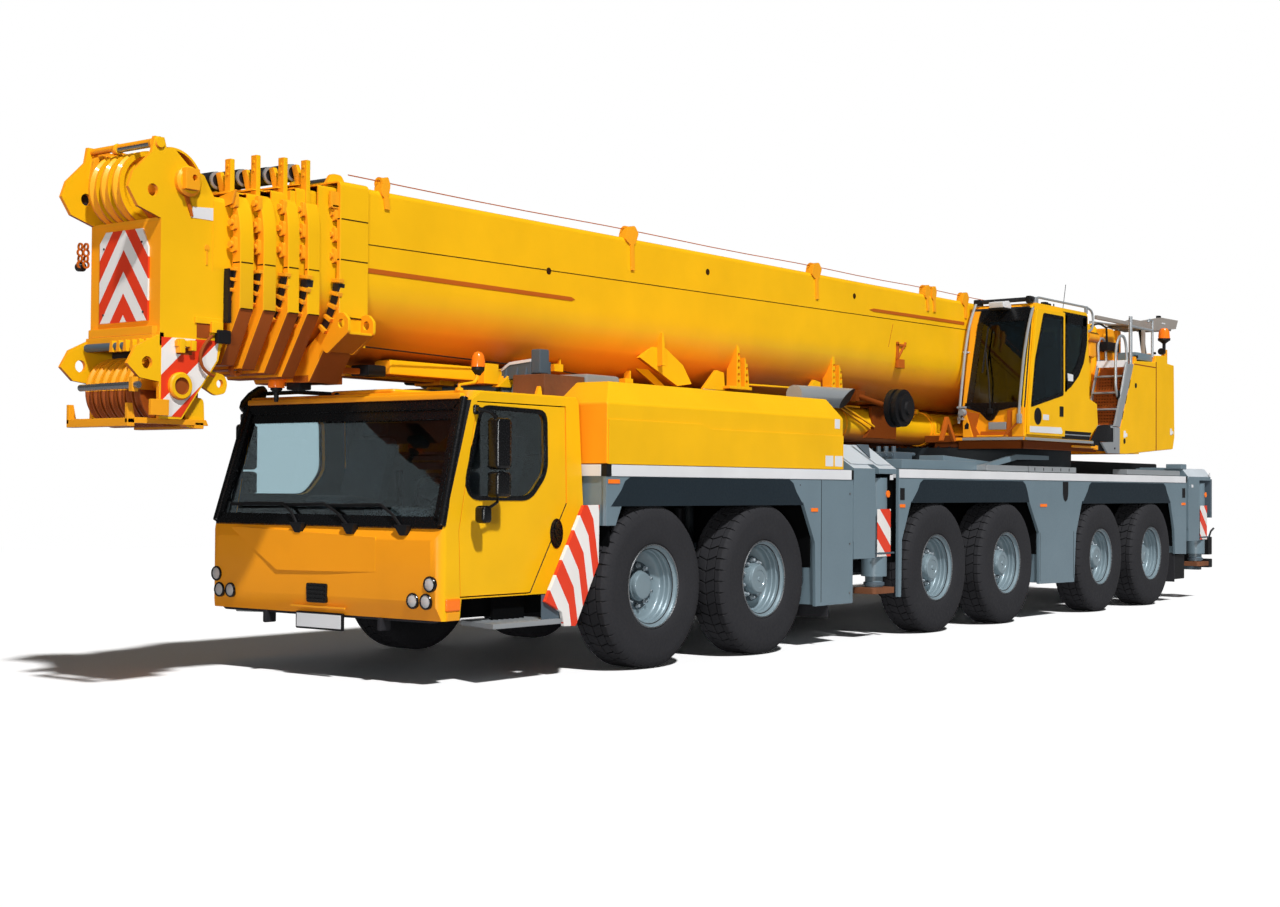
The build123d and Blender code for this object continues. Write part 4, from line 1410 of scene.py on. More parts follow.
# ---------------------------------------------------------------- boom
@dataclass(frozen=True)
class Collar:
    """Stiff frame round the front end of one boom section, with its post, roller and wear pads."""

    body: str
    node: str
    front: float
    back: float
    half: float
    top: float
    bottom: float
    bore: float
    post: tuple[float, float, float]
    keel: float = 0.3
    knee: float = 2.72
    axis: float = 3.03

    def outline(self) -> list[tuple[float, float]]:
        """Front outline with a round shoulder on each side, or a square one on the base section."""
        across, down = (0.04, 0.04) if self.body == "boom_base" else (0.15, 0.38)
        turns = [math.pi / 2 * step / 8 for step in range(9)]
        left = [(self.keel, self.bottom), (self.half, self.knee)]
        left += [(self.half - across * (1 - math.cos(turn)), self.top - down * (1 - math.sin(turn)))
                 for turn in turns]
        return left + [(-x, z) for x, z in reversed(left)]

    def bore_outline(self, slack: float = 0.0) -> list[tuple[float, float]]:
        """Outline of the opening for the next section."""
        half = self.bore + slack
        round_bottom = [(half * math.cos(turn), self.axis - half * math.sin(turn))
                        for turn in (math.pi * step / 20 for step in range(21))]
        return [(half, self.axis + half + 0.094), *round_bottom, (-half, self.axis + half + 0.094)]

    def sector(self, reach: Span, turn: Span) -> list[tuple[float, float]]:
        """Outline of a piece of a ring round the opening.

        Args:
            reach: inner and outer radius.
            turn: the two angles below the level, in degrees.

        Returns:
            Its four corners.
        """
        corners = ((reach[0], turn[0]), (reach[1], turn[0]), (reach[1], turn[1]), (reach[0], turn[1]))
        return [(radius * math.cos(math.radians(angle)), self.axis - radius * math.sin(math.radians(angle)))
                for radius, angle in corners]

    def frame(self) -> Piece:
        """The frame itself, bored."""
        body = front_sheet((self.front, self.back), self.outline(), 0.008)
        return cut(body, front_sheet((self.front - 0.1, self.back + 0.1), self.bore_outline(), 0))

    def pads(self) -> Piece:
        """Dark wear pads down the opening's edge."""
        reach = (self.bore - 0.022, self.bore + 0.042)
        pads = [front_sheet((self.front - 0.012, self.front + 0.05),
                            self.sector(reach, (turn, turn + 5.5)), 0.003)
                for turn in (6, 15, 24, 33)]
        return both_sides(joined(pads))

    def bolted(self) -> Piece:
        """Bolted lugs between the pads, and three rounded ones above them."""
        reach = (self.bore - 0.018, self.bore + 0.062)
        pieces = [front_sheet((self.front - 0.034, self.front + 0.02),
                              self.sector(reach, (turn, turn + 2.8)), 0.004)
                  for turn in (2.8, 11.8, 20.8, 29.8, 38.8)]
        x = self.half - 0.062
        for height in (3.17, 3.325, 3.48):
            lug = [(x - 0.03, height - 0.055), (x + 0.034, height - 0.055), (x + 0.034, height + 0.055),
                   (x - 0.012, height + 0.055)]
            pieces.append(front_sheet((self.front - 0.025, self.front + 0.01), rounded(lug, 0.025, 3), 0.004))
            pieces.append(rod(at(x - 0.002, self.front - 0.045, height),
                              at(x - 0.002, self.front, height), 0.024, 12))
        return both_sides(joined(pieces))

    def seams(self) -> Piece:
        """Thin dark joints across the side band."""
        heights = (3.443, 3.144) if self.body == "boom_base" else (3.045,)
        edges = [block((self.half - 0.004, self.half + 0.0015), (self.front + 0.01, self.back - 0.01),
                       (height - 0.0045, height + 0.0045), 0) for height in (*heights, self.knee)]
        edges += [block((self.bore + 0.004, self.half - 0.006), (self.front - 0.0015, self.front + 0.004),
                        (height - 0.0045, height + 0.0045), 0) for height in heights]
        return both_sides(joined(edges))


@dataclass
class Boom:
    """Telescopic boom up to its head: base tube and four sections, with their collars and fittings."""

    half: float = 0.6
    top: float = 3.71
    seam: tuple[Span, Span] = ((-2.43, 3.283), (10.2, 3.4))
    tube_step: float = 0.042
    wall: float = 0.014
    lead: tuple[tuple[float, float, float], ...] = (
        (0.44, -2.40, 2.54), (0.36, 0.03, 2.50), (0.34, 1.05, 2.43), (0.33, 2.6, 2.40),
    )
    fronts: tuple[tuple[float, float, float, float, float], ...] = (
        (-2.72, -2.43, 0.62, 3.725, 2.25), (-2.99, -2.87, 0.575, 3.68, 2.27),
        (-3.155, -3.045, 0.55, 3.64, 2.29),
        (-3.36, -3.24, 0.525, 3.60, 2.31), (-3.55, -3.425, 0.50, 3.56, 2.33))
    posts: tuple[tuple[float, float, float], ...] = (
        (0, 0, 0), (0.44, 0.527, 3.848), (0.382, 0.470, 3.848), (0.328, 0.415, 3.84), (0.273, 0.361, 3.79),
    )

    def build(self) -> None:
        """Tubes, collars, then the fittings of the base section."""
        for index, (front, back, half, top, bottom) in enumerate(self.fronts):
            node = f"boom_section_{index}" if index else "boom_base_fittings"
            body = node if index else "boom_base"
            collar = Collar(body, node, front, back, half, top, bottom,
                            self.half - index * self.tube_step - self.wall, self.posts[index])
            self.section(collar, index)
        self.base_tube()
        self.base_collar_fittings()
        self.side_fittings()
        self.cable_reel()
        self.under_fittings()

    def section(self, collar: Collar, index: int) -> None:
        """One collar with its tube, pads, lugs, post and roller.

        Args:
            collar: the collar.
            index: 0 for the base section, and up towards the head.
        """
        if index:
            half = self.half - index * self.tube_step
            outer = replace(collar, bore=half).bore_outline
            tube = front_sheet((collar.back - 0.01, 10.1), rounded(outer(-0.001), 0.03, 2), 0)
            tube = cut(tube, front_sheet((collar.back - 0.2, 10.3), outer(-self.wall), 0))
            hull = fit(joined([collar.frame(), tube]), f"{collar.node}_hull", collar.body, YELLOW,
                       (collar.node,))
        else:
            lugs = softened(collar.node, 0.006)
            lugs = cut(lugs, block((-0.7, 0.7), (-2.9, -2.2), (2.0, 3.8), 0))
            hull = fit(joined([collar.frame(), lugs]), "boom_base_collar", collar.body, YELLOW,
                       (collar.node,))
        # Painted shade: the collar's faces turned down near its rear are brown.
        repaint(hull, BROWN_AND_PAINTED_SHADE, lambda middle, normal: normal.z < -0.3 and middle.y < collar.back + 0.05
                and middle.z < 2.75)
        fit(collar.pads(), f"wear_pads_{index}", collar.body, STEEL)
        fit(collar.bolted(), f"pad_lugs_{index}", collar.body, SHADED_YELLOW)
        fit(collar.seams(), f"collar_seams_{index}", collar.body, SEAM)
        if index:
            self.post(collar, index)

    def post(self, collar: Collar, index: int) -> None:
        """Guide post on the left, the rope roller behind it and the roller's bracket.

        Args:
            collar: the collar that they stand on.
            index: the section's number.
        """
        left, right, high = collar.post
        front = collar.front + 0.02
        post = block((right - 0.062, right), (front, front + 0.04), (collar.top - 0.3, high), 0.005)
        pins = [rod(at(right - 0.031, front - 0.006, high - way),
                    at(right - 0.031, front + 0.02, high - way), 0.012, 10) for way in (0.05, 0.11)]
        height = collar.top + 0.1
        bracket = front_sheet((front + 0.03, front + 0.065), (
            (left - 0.11, height + 0.05), (left - 0.06, height + 0.055), (left + 0.02, collar.top - 0.03),
            (left - 0.05, collar.top - 0.05)), 0.004)
        stand = block((-0.34, -0.28), (front, front + 0.08), (collar.top - 0.1, height + 0.06), 0.006)
        fit(joined([post, *pins, bracket, stand]), f"rope_post_{index}", collar.body, YELLOW)
        roller = turned(((-0.28, 0), (-0.28, 0.055), (-0.26, 0.066), (left - 0.14, 0.066),
                         (left - 0.12, 0.055), (left - 0.12, 0)),
                        at(0, front + 0.05, height), Along.X, 20)
        fit(roller, f"rope_roller_{index}", collar.body, STEEL)
        cap = turned(((left - 0.125, 0.045), (left - 0.125, 0.064), (left - 0.112, 0.064),
                      (left - 0.108, 0.045), (left - 0.125, 0.045)),
                     at(0, front + 0.05, height), Along.X, 20)
        fit(cap, f"roller_cap_{index}", collar.body, SILVER)
        if index == 4:
            wedge = front_sheet((-3.6, -3.58),
                                ((0.264, 3.497), (0.50, 3.55), (0.46, 3.45), (0.37, 3.434)), 0.004)
            fit(wedge, "rope_guide_plate", collar.body, SHADED_YELLOW)
        if index == 2:
            box = block((0.4, 0.505), (-3.1, -3.008), (3.48, 3.61), 0.006)
            fit(box, "sensor_box", collar.body, YELLOW)

    def base_tube(self) -> None:
        """Base tube with its long seam, grooves and peep holes."""
        fit(softened("boom_base", 0.008), "boom_base_hull", "boom_base", YELLOW,
            ("boom_base",))
        x = (self.half - 0.004, self.half + 0.0016)
        (start, low), (end, high) = self.seam
        seam = side_sheet(x, ((start, low), (end, high), (end, high + 0.007), (start, low + 0.007)), 0)
        holes = [rod(at(x[0], back, height), at(x[1] + 0.001, back, height), 0.03, 16, 0)
                 for back, height in ((-0.33, 3.30), (1.99, 3.526), (4.71, 3.543))]
        fit(both_sides(joined([seam, *holes])), "boom_seams", "boom_base", SEAM)
        lines = [
            ((-2.43, 3.074), (-0.03, 3.074), (0.02, 3.09), (-0.03, 3.108), (-2.43, 3.112)),
            ((5.03, 3.425), (5.12, 3.41), (7.25, 3.428), (7.25, 3.466), (5.12, 3.446)),
        ]
        grooves = [side_sheet((x[0], x[1] + 0.004), line, 0.002) for line in lines]
        grooves.append(side_sheet((x[0], x[1] + 0.001),
                                  ((5.545, 3.31), (5.551, 3.31), (5.451, 3.05), (5.445, 3.05)), 0))
        fit(both_sides(joined(grooves)), "boom_grooves", "boom_base", AMBER_SHADE)

    def base_collar_fittings(self) -> None:
        """Corner brackets, upper lugs and the rope pin of the base section's collar."""
        plate = ((0.57, 2.66), (0.62, 2.745), (0.69, 2.75), (0.745, 2.70), (0.745, 2.60), (0.52, 2.45),
                 (0.45, 2.5))
        plates = []
        for back in (-2.75, -2.50):
            bore = rod(at(0.672, back - 0.02, 2.668), at(0.672, back + 0.06, 2.668), 0.034, 20, 0)
            plates.append(cut(front_sheet((back, back + 0.028), rounded(plate, 0.02, 2), 0.004), bore))
        floor = front_sheet((-2.73, -2.49), ((0.53, 2.465), (0.73, 2.59), (0.73, 2.61), (0.53, 2.485)), 0.004)
        web = block((0.6, 0.615), (-2.73, -2.49), (2.52, 2.72), 0)
        fit(both_sides(joined([*plates, floor, web])), "collar_brackets", "boom_base", YELLOW)
        lugs = [block((0.45, 0.60), (-2.78, -2.71), (3.515, 3.545)),
                block((0.57, 0.60), (-2.79, -2.71), (3.52, 3.64)),
                block((0.45, 0.58), (-2.76, -2.71), (3.57, 3.62))]
        fit(both_sides(joined(lugs)), "collar_upper_lugs", "boom_base", SHADED_YELLOW)
        pin = rod(at(0.02, -2.62, 3.755), at(0.44, -2.62, 3.755), 0.024)
        fit(pin, "rope_pin", "boom_base", BRIGHT)
        eye = side_sheet((0.42, 0.46),
                         rounded(((-2.72, 3.70), (-2.66, 3.80), (-2.56, 3.80), (-2.50, 3.70)), 0.03, 3))
        inner = side_sheet((0.0, 0.03), ((-2.69, 3.70), (-2.66, 3.79), (-2.58, 3.79), (-2.55, 3.70)))
        fit(joined([eye, inner]), "rope_pin_eyes", "boom_base", YELLOW)

    def rope_eye(self, back: float, width: float, drop: float) -> list[Piece]:
        """Rope eye on the boom's top edge with a leg down its side.

        Args:
            back: its place lengthwise.
            width: its length along the boom.
            drop: how far its leg reaches below the top.

        Returns:
            Its pieces.
        """
        outline = ((back - width / 2, self.top - 0.02), (back - width * 0.35, self.top + 0.08),
                   (back + width * 0.2, self.top + 0.115), (back + width / 2, self.top + 0.05),
                   (back + width * 0.25, self.top - 0.06), (back - width * 0.2, self.top - 0.06))
        leg = ((back - 0.02, self.top - 0.05), (back + 0.03, self.top - 0.05),
               (back + 0.045, self.top - drop), (back - 0.005, self.top - drop))
        head = side_sheet((self.half - 0.07, self.half + 0.014), rounded(outline, 0.02, 2), 0.004)
        ring = turned(((-0.02, 0.025), (-0.02, 0.045), (0.02, 0.045), (0.02, 0.025), (-0.02, 0.025)),
                      at(self.half - 0.03, back - width * 0.2, self.top + 0.06), Along.Y, 16)
        return [head, ring, side_sheet((self.half, self.half + 0.016), leg, 0.003)]

    def side_fittings(self) -> None:
        """Rope eyes and the thin rope above, gussets and the perforated brackets."""
        eyes = []
        for back, width, drop in ((-2.25, 0.1, 0.14), (0.80, 0.2, 0.29), (3.93, 0.2, 0.27),
                                  (6.33, 0.14, 0.19), (6.49, 0.12, 0.19), (7.27, 0.18, 0.2)):
            eyes += self.rope_eye(back, width, drop)
        fit(joined(eyes), "rope_eyes", "boom_base", SHADED_YELLOW)
        rope = rail([at(0.57, back, self.top + 0.075 - 0.012 * (index % 2)) for index, back in
                     enumerate((-2.6, -0.9, 0.76, 2.4, 3.89, 5.1, 6.30, 7.24, 10.2))], 0.0045, 0.3, 1)
        fit(rope, "boom_rope", "boom_base", AMBER_SHADE)
        gusset = ((1.02, 2.66), (1.30, 2.83), (1.69, 2.63), (1.83, 2.46), (1.60, 2.43))
        rib = ((1.285, 2.60), (1.275, 2.90), (1.31, 2.90), (1.34, 2.60))
        pieces = [side_sheet((0.50, 0.54), gusset, 0.004), side_sheet((0.5, 0.6), rib, 0.003),
                  side_sheet((0.36, 0.39), ((0.84, 2.72), (1.0, 2.76), (1.75, 2.36), (1.62, 2.36)), 0.004)]
        for back, height in ((2.52, 2.90), (4.30, 2.93)):
            fin = ((back - 0.44, 2.43), (back - 0.22, 2.62), (back - 0.1, 2.60), (back - 0.08, 2.43))
            pieces.append(side_sheet((0.46, 0.5), fin, 0.004))
            for way, tall in ((0.0, height), (0.14, height - 0.14)):
                upright = side_sheet((0.46, 0.58),
                                     ((back + way, 2.47), (back + way, tall),
                                      (back + way + 0.05, tall - 0.06), (back + way + 0.08, 2.47)), 0.003)
                bores = [rod(at(0.4, back + way + 0.036, 2.52 + 0.065 * step),
                             at(0.64, back + way + 0.036, 2.52 + 0.065 * step), 0.019, 10, 0)
                         for step in range(5)]
                pieces.append(cut(upright, *bores))
            pieces.append(block((0.44, 0.58), (back - 0.12, back + 0.27), (2.445, 2.475)))
        pieces.append(rod(at(0.52, 2.6, 2.50), at(0.52, 4.3, 2.52), 0.012, 10))
        fit(both_sides(joined(pieces)), "boom_brackets", "boom_base", YELLOW)
        valve = [block((0.585, 0.625), (5.63, 5.78), (2.83, 2.93)),
                 block((0.59, 0.62), (5.62, 5.66), (2.93, 3.12)),
                 block((0.59, 0.62), (5.62, 5.82), (3.07, 3.1)),
                 rod(at(0.61, 5.66, 2.95), at(0.61, 5.82, 3.12), 0.014, 8)]
        fit(joined(valve), "boom_side_valve", "boom_base", AMBER_SHADE)

    def cable_reel(self) -> None:
        """Stepped black reel of the length sensor's cable, on its bracket."""
        centre = at(0.95, 5.09, 2.355)
        reel = turned(((-0.12, 0), (-0.12, 0.1), (-0.09, 0.1), (-0.09, 0.205), (-0.03, 0.205), (-0.03, 0.18),
                       (0.0, 0.18), (0.0, 0.2), (0.05, 0.2), (0.055, 0.15), (0.09, 0.15), (0.095, 0.08),
                       (0.12, 0.07), (0.12, 0)), centre, Along.X, 36)
        fit(reel, "cable_reel", "boom_base", PLASTIC)
        arm = [rod(at(0.42, 5.09, 2.50), at(0.85, 5.09, 2.36), 0.03, 14),
               block((0.36, 0.46), (5.0, 5.2), (2.44, 2.56))]
        fit(joined(arm), "cable_reel_arm", "boom_base", SHADE_BROWN)

    def under_fittings(self) -> None:
        """Long boxes, lamp arm, beacon and cable under the base section, and keel rings on two others."""
        pieces = [block((0.16, 0.34), (-1.92, -0.42), (2.35, 2.47), 0.02),
                  block((0.1, 0.4), (-0.9, -0.72), (2.33, 2.5), 0.01),
                  side_sheet((0.34, 0.42),
                             ((-0.75, 2.31), (-0.46, 2.53), (-0.36, 2.53), (-0.36, 2.45), (-0.6, 2.31)))]
        fit(both_sides(joined(pieces)), "boom_long_boxes", "boom_base", YELLOW)
        arm = [block((0.12, 0.3), (-2.72, -2.38), (2.25, 2.31)),
               block((0.17, 0.23), (-2.42, -2.13), (2.345, 2.39))]
        fit(joined(arm), "lamp_arm", "boom_base", AMBER_SHADE)
        lamps = [block((0.1, 0.3), (-2.11, -1.92), (2.335, 2.42), 0.012),
                 block((0.05, 0.2), (-2.72, -2.6), (2.2, 2.26), 0.01)]
        fit(joined(lamps), "boom_lamps", "boom_base", PLASTIC)
        beacon = turned(((0.03, 0), (0.03, 0.05), (-0.06, 0.065), (-0.075, 0.06), (-0.075, 0)),
                        at(0.0, -2.77, 2.29), Along.Z, 24)
        fit(beacon, "boom_beacon", "boom_base", ORANGE_LENS)
        stem = turned(((0.04, 0), (0.04, 0.045), (0.0, 0.045), (-0.02, 0.02), (-0.09, 0.016), (-0.09, 0)),
                      at(0.0, -2.77, 2.2), Along.Z, 16)
        fit(stem, "boom_beacon_stem", "boom_base", PLASTIC)
        cable = rail([at(*point) for point in self.lead], 0.006, 0.12, 1)
        fit(cable, "boom_cable", "boom_base", PLASTIC)
        clips = []
        for x, back, height in self.lead[:3]:
            clips += [block((x - 0.03, x + 0.06), (back - 0.06, back + 0.06), (height - 0.02, height + 0.045),
                            0.004),
                      block((x - 0.02, x + 0.05), (back + 0.02, back + 0.04), (height, height + 0.12), 0.003)]
        fit(both_sides(joined(clips)), "boom_cable_clips", "boom_base", YELLOW)
        ring = turned(((-0.02, 0.035), (-0.02, 0.055), (0.02, 0.055), (0.02, 0.035), (-0.02, 0.035)),
                      at(0.3, -2.905, 2.36), Along.X, 20)
        fit(both_sides(ring), "keel_ring_1", "boom_section_1", YELLOW)
        ring = turned(((-0.02, 0.03), (-0.02, 0.05), (0.02, 0.05), (0.02, 0.03), (-0.02, 0.03)),
                      at(0.2, -3.33, 2.315), Along.X, 20)
        fit(both_sides(ring), "keel_ring_3", "boom_section_3", AMBER_SHADE)


# ---------------------------------------------------------------- boom head
@dataclass
class BoomHead:
    """Head of the boom: side plates, two sets of sheaves, the warning board and the lower frame."""

    body: str = "boom_head"
    half: float = 0.385
    upper: tuple[float, float] = (-4.02, 3.53)
    lower: tuple[float, float] = (-3.99, 2.125)
    lower_radius: float = 0.245
    upper_radius: float = 0.26
    upper_places: tuple[float, ...] = (-0.19, -0.06, 0.07)
    lower_places: tuple[float, ...] = (-0.27, -0.18, -0.09, 0.0, 0.09, 0.18, 0.27)

    def build(self) -> None:
        """Plates, sheaves, board, top and lower fittings."""
        self.plates()
        self.sheaves()
        self.board()
        self.top_fittings()
        self.lower_fittings()
        self.side_details()

    def plates(self) -> None:
        """Side plates with round ears, the cross plates and the tube behind."""
        hull = softened("boom_head_section", 0.007)
        fit(hull, "boom_head_hull", self.body, YELLOW, ("boom_head_section",))
        lintel = [front_sheet((-4.138, -3.9),
                              ((-0.356, 3.24), (0.356, 3.24), (0.356, 3.30), (-0.356, 3.30)), 0.004),
                  block((-0.356, -0.30), (-4.139, -4.10), (2.53, 3.27)),
                  block((0.30, 0.356), (-4.139, -4.10), (2.53, 3.27)),
                  block((-0.356, 0.356), (-4.18, -4.1), (2.50, 2.56))]
        fit(joined(lintel), "head_front_frame", self.body, SHADED_YELLOW)

    def sheaves(self) -> None:
        """Grooved sheaves of the two sets, and two small far ones."""
        upper = [self.sheave(x, self.upper_radius, 0.045, self.upper) for x in self.upper_places]
        fit(joined(upper), "upper_sheaves", self.body, YELLOW, ("head_sheaves",))
        lower = [self.sheave(x, self.lower_radius, 0.034, self.lower) for x in self.lower_places]
        shown = fit(joined(lower), "lower_sheaves", self.body, SHADED_YELLOW)
        # Painted shade: faces of the lower sheaves turned down or below their pin are brown.
        repaint(shown, BROWN_AND_PAINTED_SHADE, lambda middle, normal: normal.z < -0.2 or middle.z < 2.12)
        far = [self.sheave(x, 0.2, 0.02, (-4.0, 3.62), 32) for x in (-0.30, -0.25)]
        fit(joined(far), "small_far_sheaves", self.body, SHADED_YELLOW)

    def sheave(self, x: float, radius: float, half: float, pin: tuple[float, float],
               steps: int = 48) -> Piece:
        """One grooved sheave.

        Args:
            x: its middle across the machine.
            radius: its outer radius.
            half: half of its width.
            pin: its pin's place, as the way behind the front axle and the height.
            steps: how many steps go round.

        Returns:
            The new piece.
        """
        rim = radius - 0.035
        profile = ((x - half, 0.06), (x - half * 0.6, 0.07), (x - half * 0.5, rim - 0.03), (x - half, rim),
                   (x - half, radius), (x - half * 0.6, radius), (x, rim), (x + half * 0.6, radius),
                   (x + half, radius), (x + half, rim), (x + half * 0.5, rim - 0.03), (x + half * 0.6, 0.07),
                   (x + half, 0.06))
        return turned(profile, at(0, *pin), Along.X, steps)

    def board(self) -> None:
        """Warning board with clipped corners, in its frame."""
        outline = ((-0.27, 2.60), (0.27, 2.60), (0.27, 3.10), (0.2, 3.235), (-0.2, 3.235), (-0.27, 3.16))
        fit(front_sheet((-4.155, -4.14), outline, 0.003), "warning_board", self.body, CHEVRONS)
        bolts = [rod(at(x, -4.16, z), at(x, -4.15, z), 0.008, 8)
                 for x, z in ((-0.22, 3.12), (0.2, 3.14), (-0.22, 2.66), (0.22, 2.66))]
        fit(joined(bolts), "board_bolts", self.body, STEEL)

    def top_fittings(self) -> None:
        """Rope guard rod, arched guard, far lugs and the pin boss on the side."""
        centre = Vector(self.upper)
        arc = [(centre.x + 0.262 * math.cos(turn), centre.y + 0.262 * math.sin(turn))
               for turn in (math.radians(100 - 7 * step) for step in range(15))]
        arch = [*arc,
                *[(centre.x + (b - centre.x) * 0.93, centre.y + (h - centre.y) * 0.93)
                  for b, h in reversed(arc)]]
        guard = side_sheet((0.15, self.half - 0.03), arch, 0.003)
        fit(guard, "sheave_guard", self.body, YELLOW)
        top = rod(at(-0.06, -4.16, 3.80), at(0.31, -4.16, 3.80), 0.024)
        fit(top, "head_top_rod", self.body, BRIGHT)
        eyes = [turned(((x, 0), (x, 0.035), (x + 0.03, 0.042), (x + 0.045, 0.035), (x + 0.045, 0)),
                       at(0, -4.16, 3.80), Along.X, 24)
                for x in (-0.10, 0.305, 0.355)]
        boss = turned(((-0.005, 0), (-0.005, 0.105), (0.03, 0.105), (0.045, 0.085), (0.045, 0)),
                      at(self.half, -3.93, 3.565), Along.X, 32)
        lug = block((self.half + 0.03, self.half + 0.085), (-4.0, -3.88), (3.50, 3.65), 0.008)
        lug = cut(lug, rod(at(self.half, -3.925, 3.585), at(self.half + 0.2, -3.925, 3.585), 0.022, 16, 0))
        fit(joined([*eyes, boss]), "head_pin_bosses", self.body, YELLOW)
        fit(lug, "head_square_lug", self.body, SHADED_YELLOW)
        hooks = [side_sheet((-0.375, -0.345),
                            rounded(((-4.2, 3.6), (-4.16, 3.80), (-4.02, 3.84), (-3.98, 3.7), (-4.05, 3.6)),
                                    0.03, 3)),
                 side_sheet((-0.31, -0.28),
                            rounded(((-4.22, 3.55), (-4.2, 3.76), (-4.08, 3.8), (-4.06, 3.62)), 0.03, 3))]
        fit(joined(hooks), "head_far_lugs", self.body, SHADED_YELLOW)
        fit(rod(at(-0.402, -4.206, 3.472), at(-0.396, -4.206, 3.472), 0.05, 20, 0), "head_far_pin_cap",
            self.body, STEEL)
        ropes = [rod(at(-0.2 + 0.13 * step, -4.14, 3.4), at(-0.2 + 0.13 * step, -4.02, 3.29), 0.03, 10)
                 for step in range(4)]
        fit(joined(ropes), "head_rope_guides", self.body, AMBER_SHADE)

    def lower_fittings(self) -> None:
        """Shelf, toothed roller, rope rod, base frame, hook arm and foot under the head."""
        shelf = [block((-0.37, 0.37), (-4.19, -4.0), (2.455, 2.50)),
                 block((-0.385, 0.385), (-4.145, -4.1), (2.42, 2.52))]
        fit(joined(shelf), "head_shelf", self.body, SHADED_YELLOW)
        fit(block((-0.33, 0.33), (-4.0, -3.96), (2.2, 2.455)), "head_shelf_recess", self.body, STEEL)
        roller = rod(at(-0.34, -4.2, 2.43), at(0.1, -4.2, 2.43), 0.028)
        fit(roller, "head_shelf_roller", self.body, FRAME_GREY)
        teeth = rowed(front_sheet((-4.23, -4.19),
                                  ((-0.05, 2.39), (-0.005, 2.39), (-0.015, 2.47), (-0.04, 2.47)), 0.003),
                      Vector((0.075, 0, 0)), 6)
        fit(teeth, "head_shelf_teeth", self.body, YELLOW)
        bar = rod(at(-0.17, -4.37, 2.14), at(0.47, -4.37, 2.146), 0.024)
        fit(bar, "lower_rope_rod", self.body, BRIGHT)
        frame_outline = ((-4.36, 1.895), (-4.36, 2.03), (-4.32, 2.03), (-4.30, 1.935), (-3.70, 1.935),
                         (-3.68, 1.895))
        base = [side_sheet((-0.34, -0.31), frame_outline, 0.004),
                side_sheet((0.31, 0.34), frame_outline, 0.004),
                block((-0.34, 0.34), (-4.36, -4.30), (1.872, 1.93)),
                block((-0.34, 0.34), (-3.8, -3.72), (1.872, 1.92)),
                block((0.39, 0.42), (-4.23, -4.08), (1.95, 2.06), 0.005),
                block((0.40, 0.44), (-4.40, -4.35), (2.1, 2.2), 0.004)]
        fit(joined(base), "head_base_frame", self.body, SHADED_YELLOW)
        hub = turned(((-0.3, 0), (-0.3, 0.08), (0.32, 0.08), (0.34, 0.06), (0.34, 0)), at(0, -4.02, 2.02),
                     Along.X, 24)
        fit(hub, "lower_hub", self.body, AMBER_SHADE)
        arm = side_sheet((0.28, 0.31),
                         rounded(((-3.78, 2.36), (-3.62, 2.28), (-3.52, 2.26), (-3.49, 2.2), (-3.51, 2.13),
                                  (-3.6, 2.11), (-3.78, 2.2)), 0.025, 3))
        arm = cut(arm, rod(at(0.2, -3.56, 2.196), at(0.4, -3.56, 2.196), 0.03, 16, 0))
        foot = side_sheet((0.24, 0.31),
                          rounded(((-3.86, 2.09), (-3.70, 2.09), (-3.69, 1.9), (-3.75, 1.874), (-3.86, 1.88)),
                                  0.04, 3))
        fit(joined([arm, foot]), "head_hook_arm", self.body, YELLOW)

    def side_details(self) -> None:
        """Stripes, ring boss, blank label, keyhole mark, latches and chain on the side plates."""
        stripes = side_sheet((self.half - 0.002, self.half + 0.002),
                             ((-4.125, 1.95), (-4.125, 2.485), (-3.64, 2.49), (-3.655, 2.35),
                              (-3.955, 1.945)), 0)
        fit(both_sides(stripes), "head_side_stripes", self.body, HEAD_STRIPES)
        ring = turned(((0, 0), (0, 0.095), (0.025, 0.095), (0.035, 0.085), (0.035, 0.06), (0.018, 0.055),
                       (0.018, 0)),
                      at(self.half, -3.975, 2.157), Along.X, 32)
        shown = fit(both_sides(ring), "head_ring_boss", self.body, YELLOW)
        # Painted shade in the boss's recess.
        repaint(shown, BROWN_AND_PAINTED_SHADE,
                lambda middle, normal: math.hypot(middle.y + 3.975, middle.z - 2.157) < 0.061)
        label = side_sheet((self.half - 0.002, self.half + 0.003),
                           ((-3.89, 3.325), (-3.875, 3.40), (-3.65, 3.415), (-3.655, 3.325)), 0)
        fit(label, "blank_label", self.body, WHITE)
        strut = side_sheet((self.half, self.half + 0.012),
                           ((-3.955, 3.47), (-3.915, 3.47), (-3.875, 3.33), (-3.895, 3.33)), 0.003)
        fit(strut, "head_side_strut", self.body, AMBER_SHADE)
        mark = [rod(at(self.half, -3.75, 3.13), at(self.half + 0.006, -3.75, 3.13), 0.022, 16, 0.001),
                block((self.half, self.half + 0.006), (-3.757, -3.743), (3.01, 3.12), 0.001)]
        fit(joined(mark), "keyhole_emboss", self.body, SHADED_YELLOW)
        side = self.half
        latch = [block((side, side + 0.04), (-4.02, -3.86), (2.425, 2.47), 0.008),
                 block((side, side + 0.05), (-4.01, -3.96), (2.38, 2.48), 0.008),
                 block((side, side + 0.05), (-3.91, -3.865), (2.40, 2.475), 0.008),
                 block((side, side + 0.012), (-3.85, -3.62), (2.60, 2.645), 0.004),
                 block((side, side + 0.03), (-3.72, -3.62), (2.54, 2.62), 0.006)]
        fit(joined(latch), "head_latches", self.body, YELLOW)
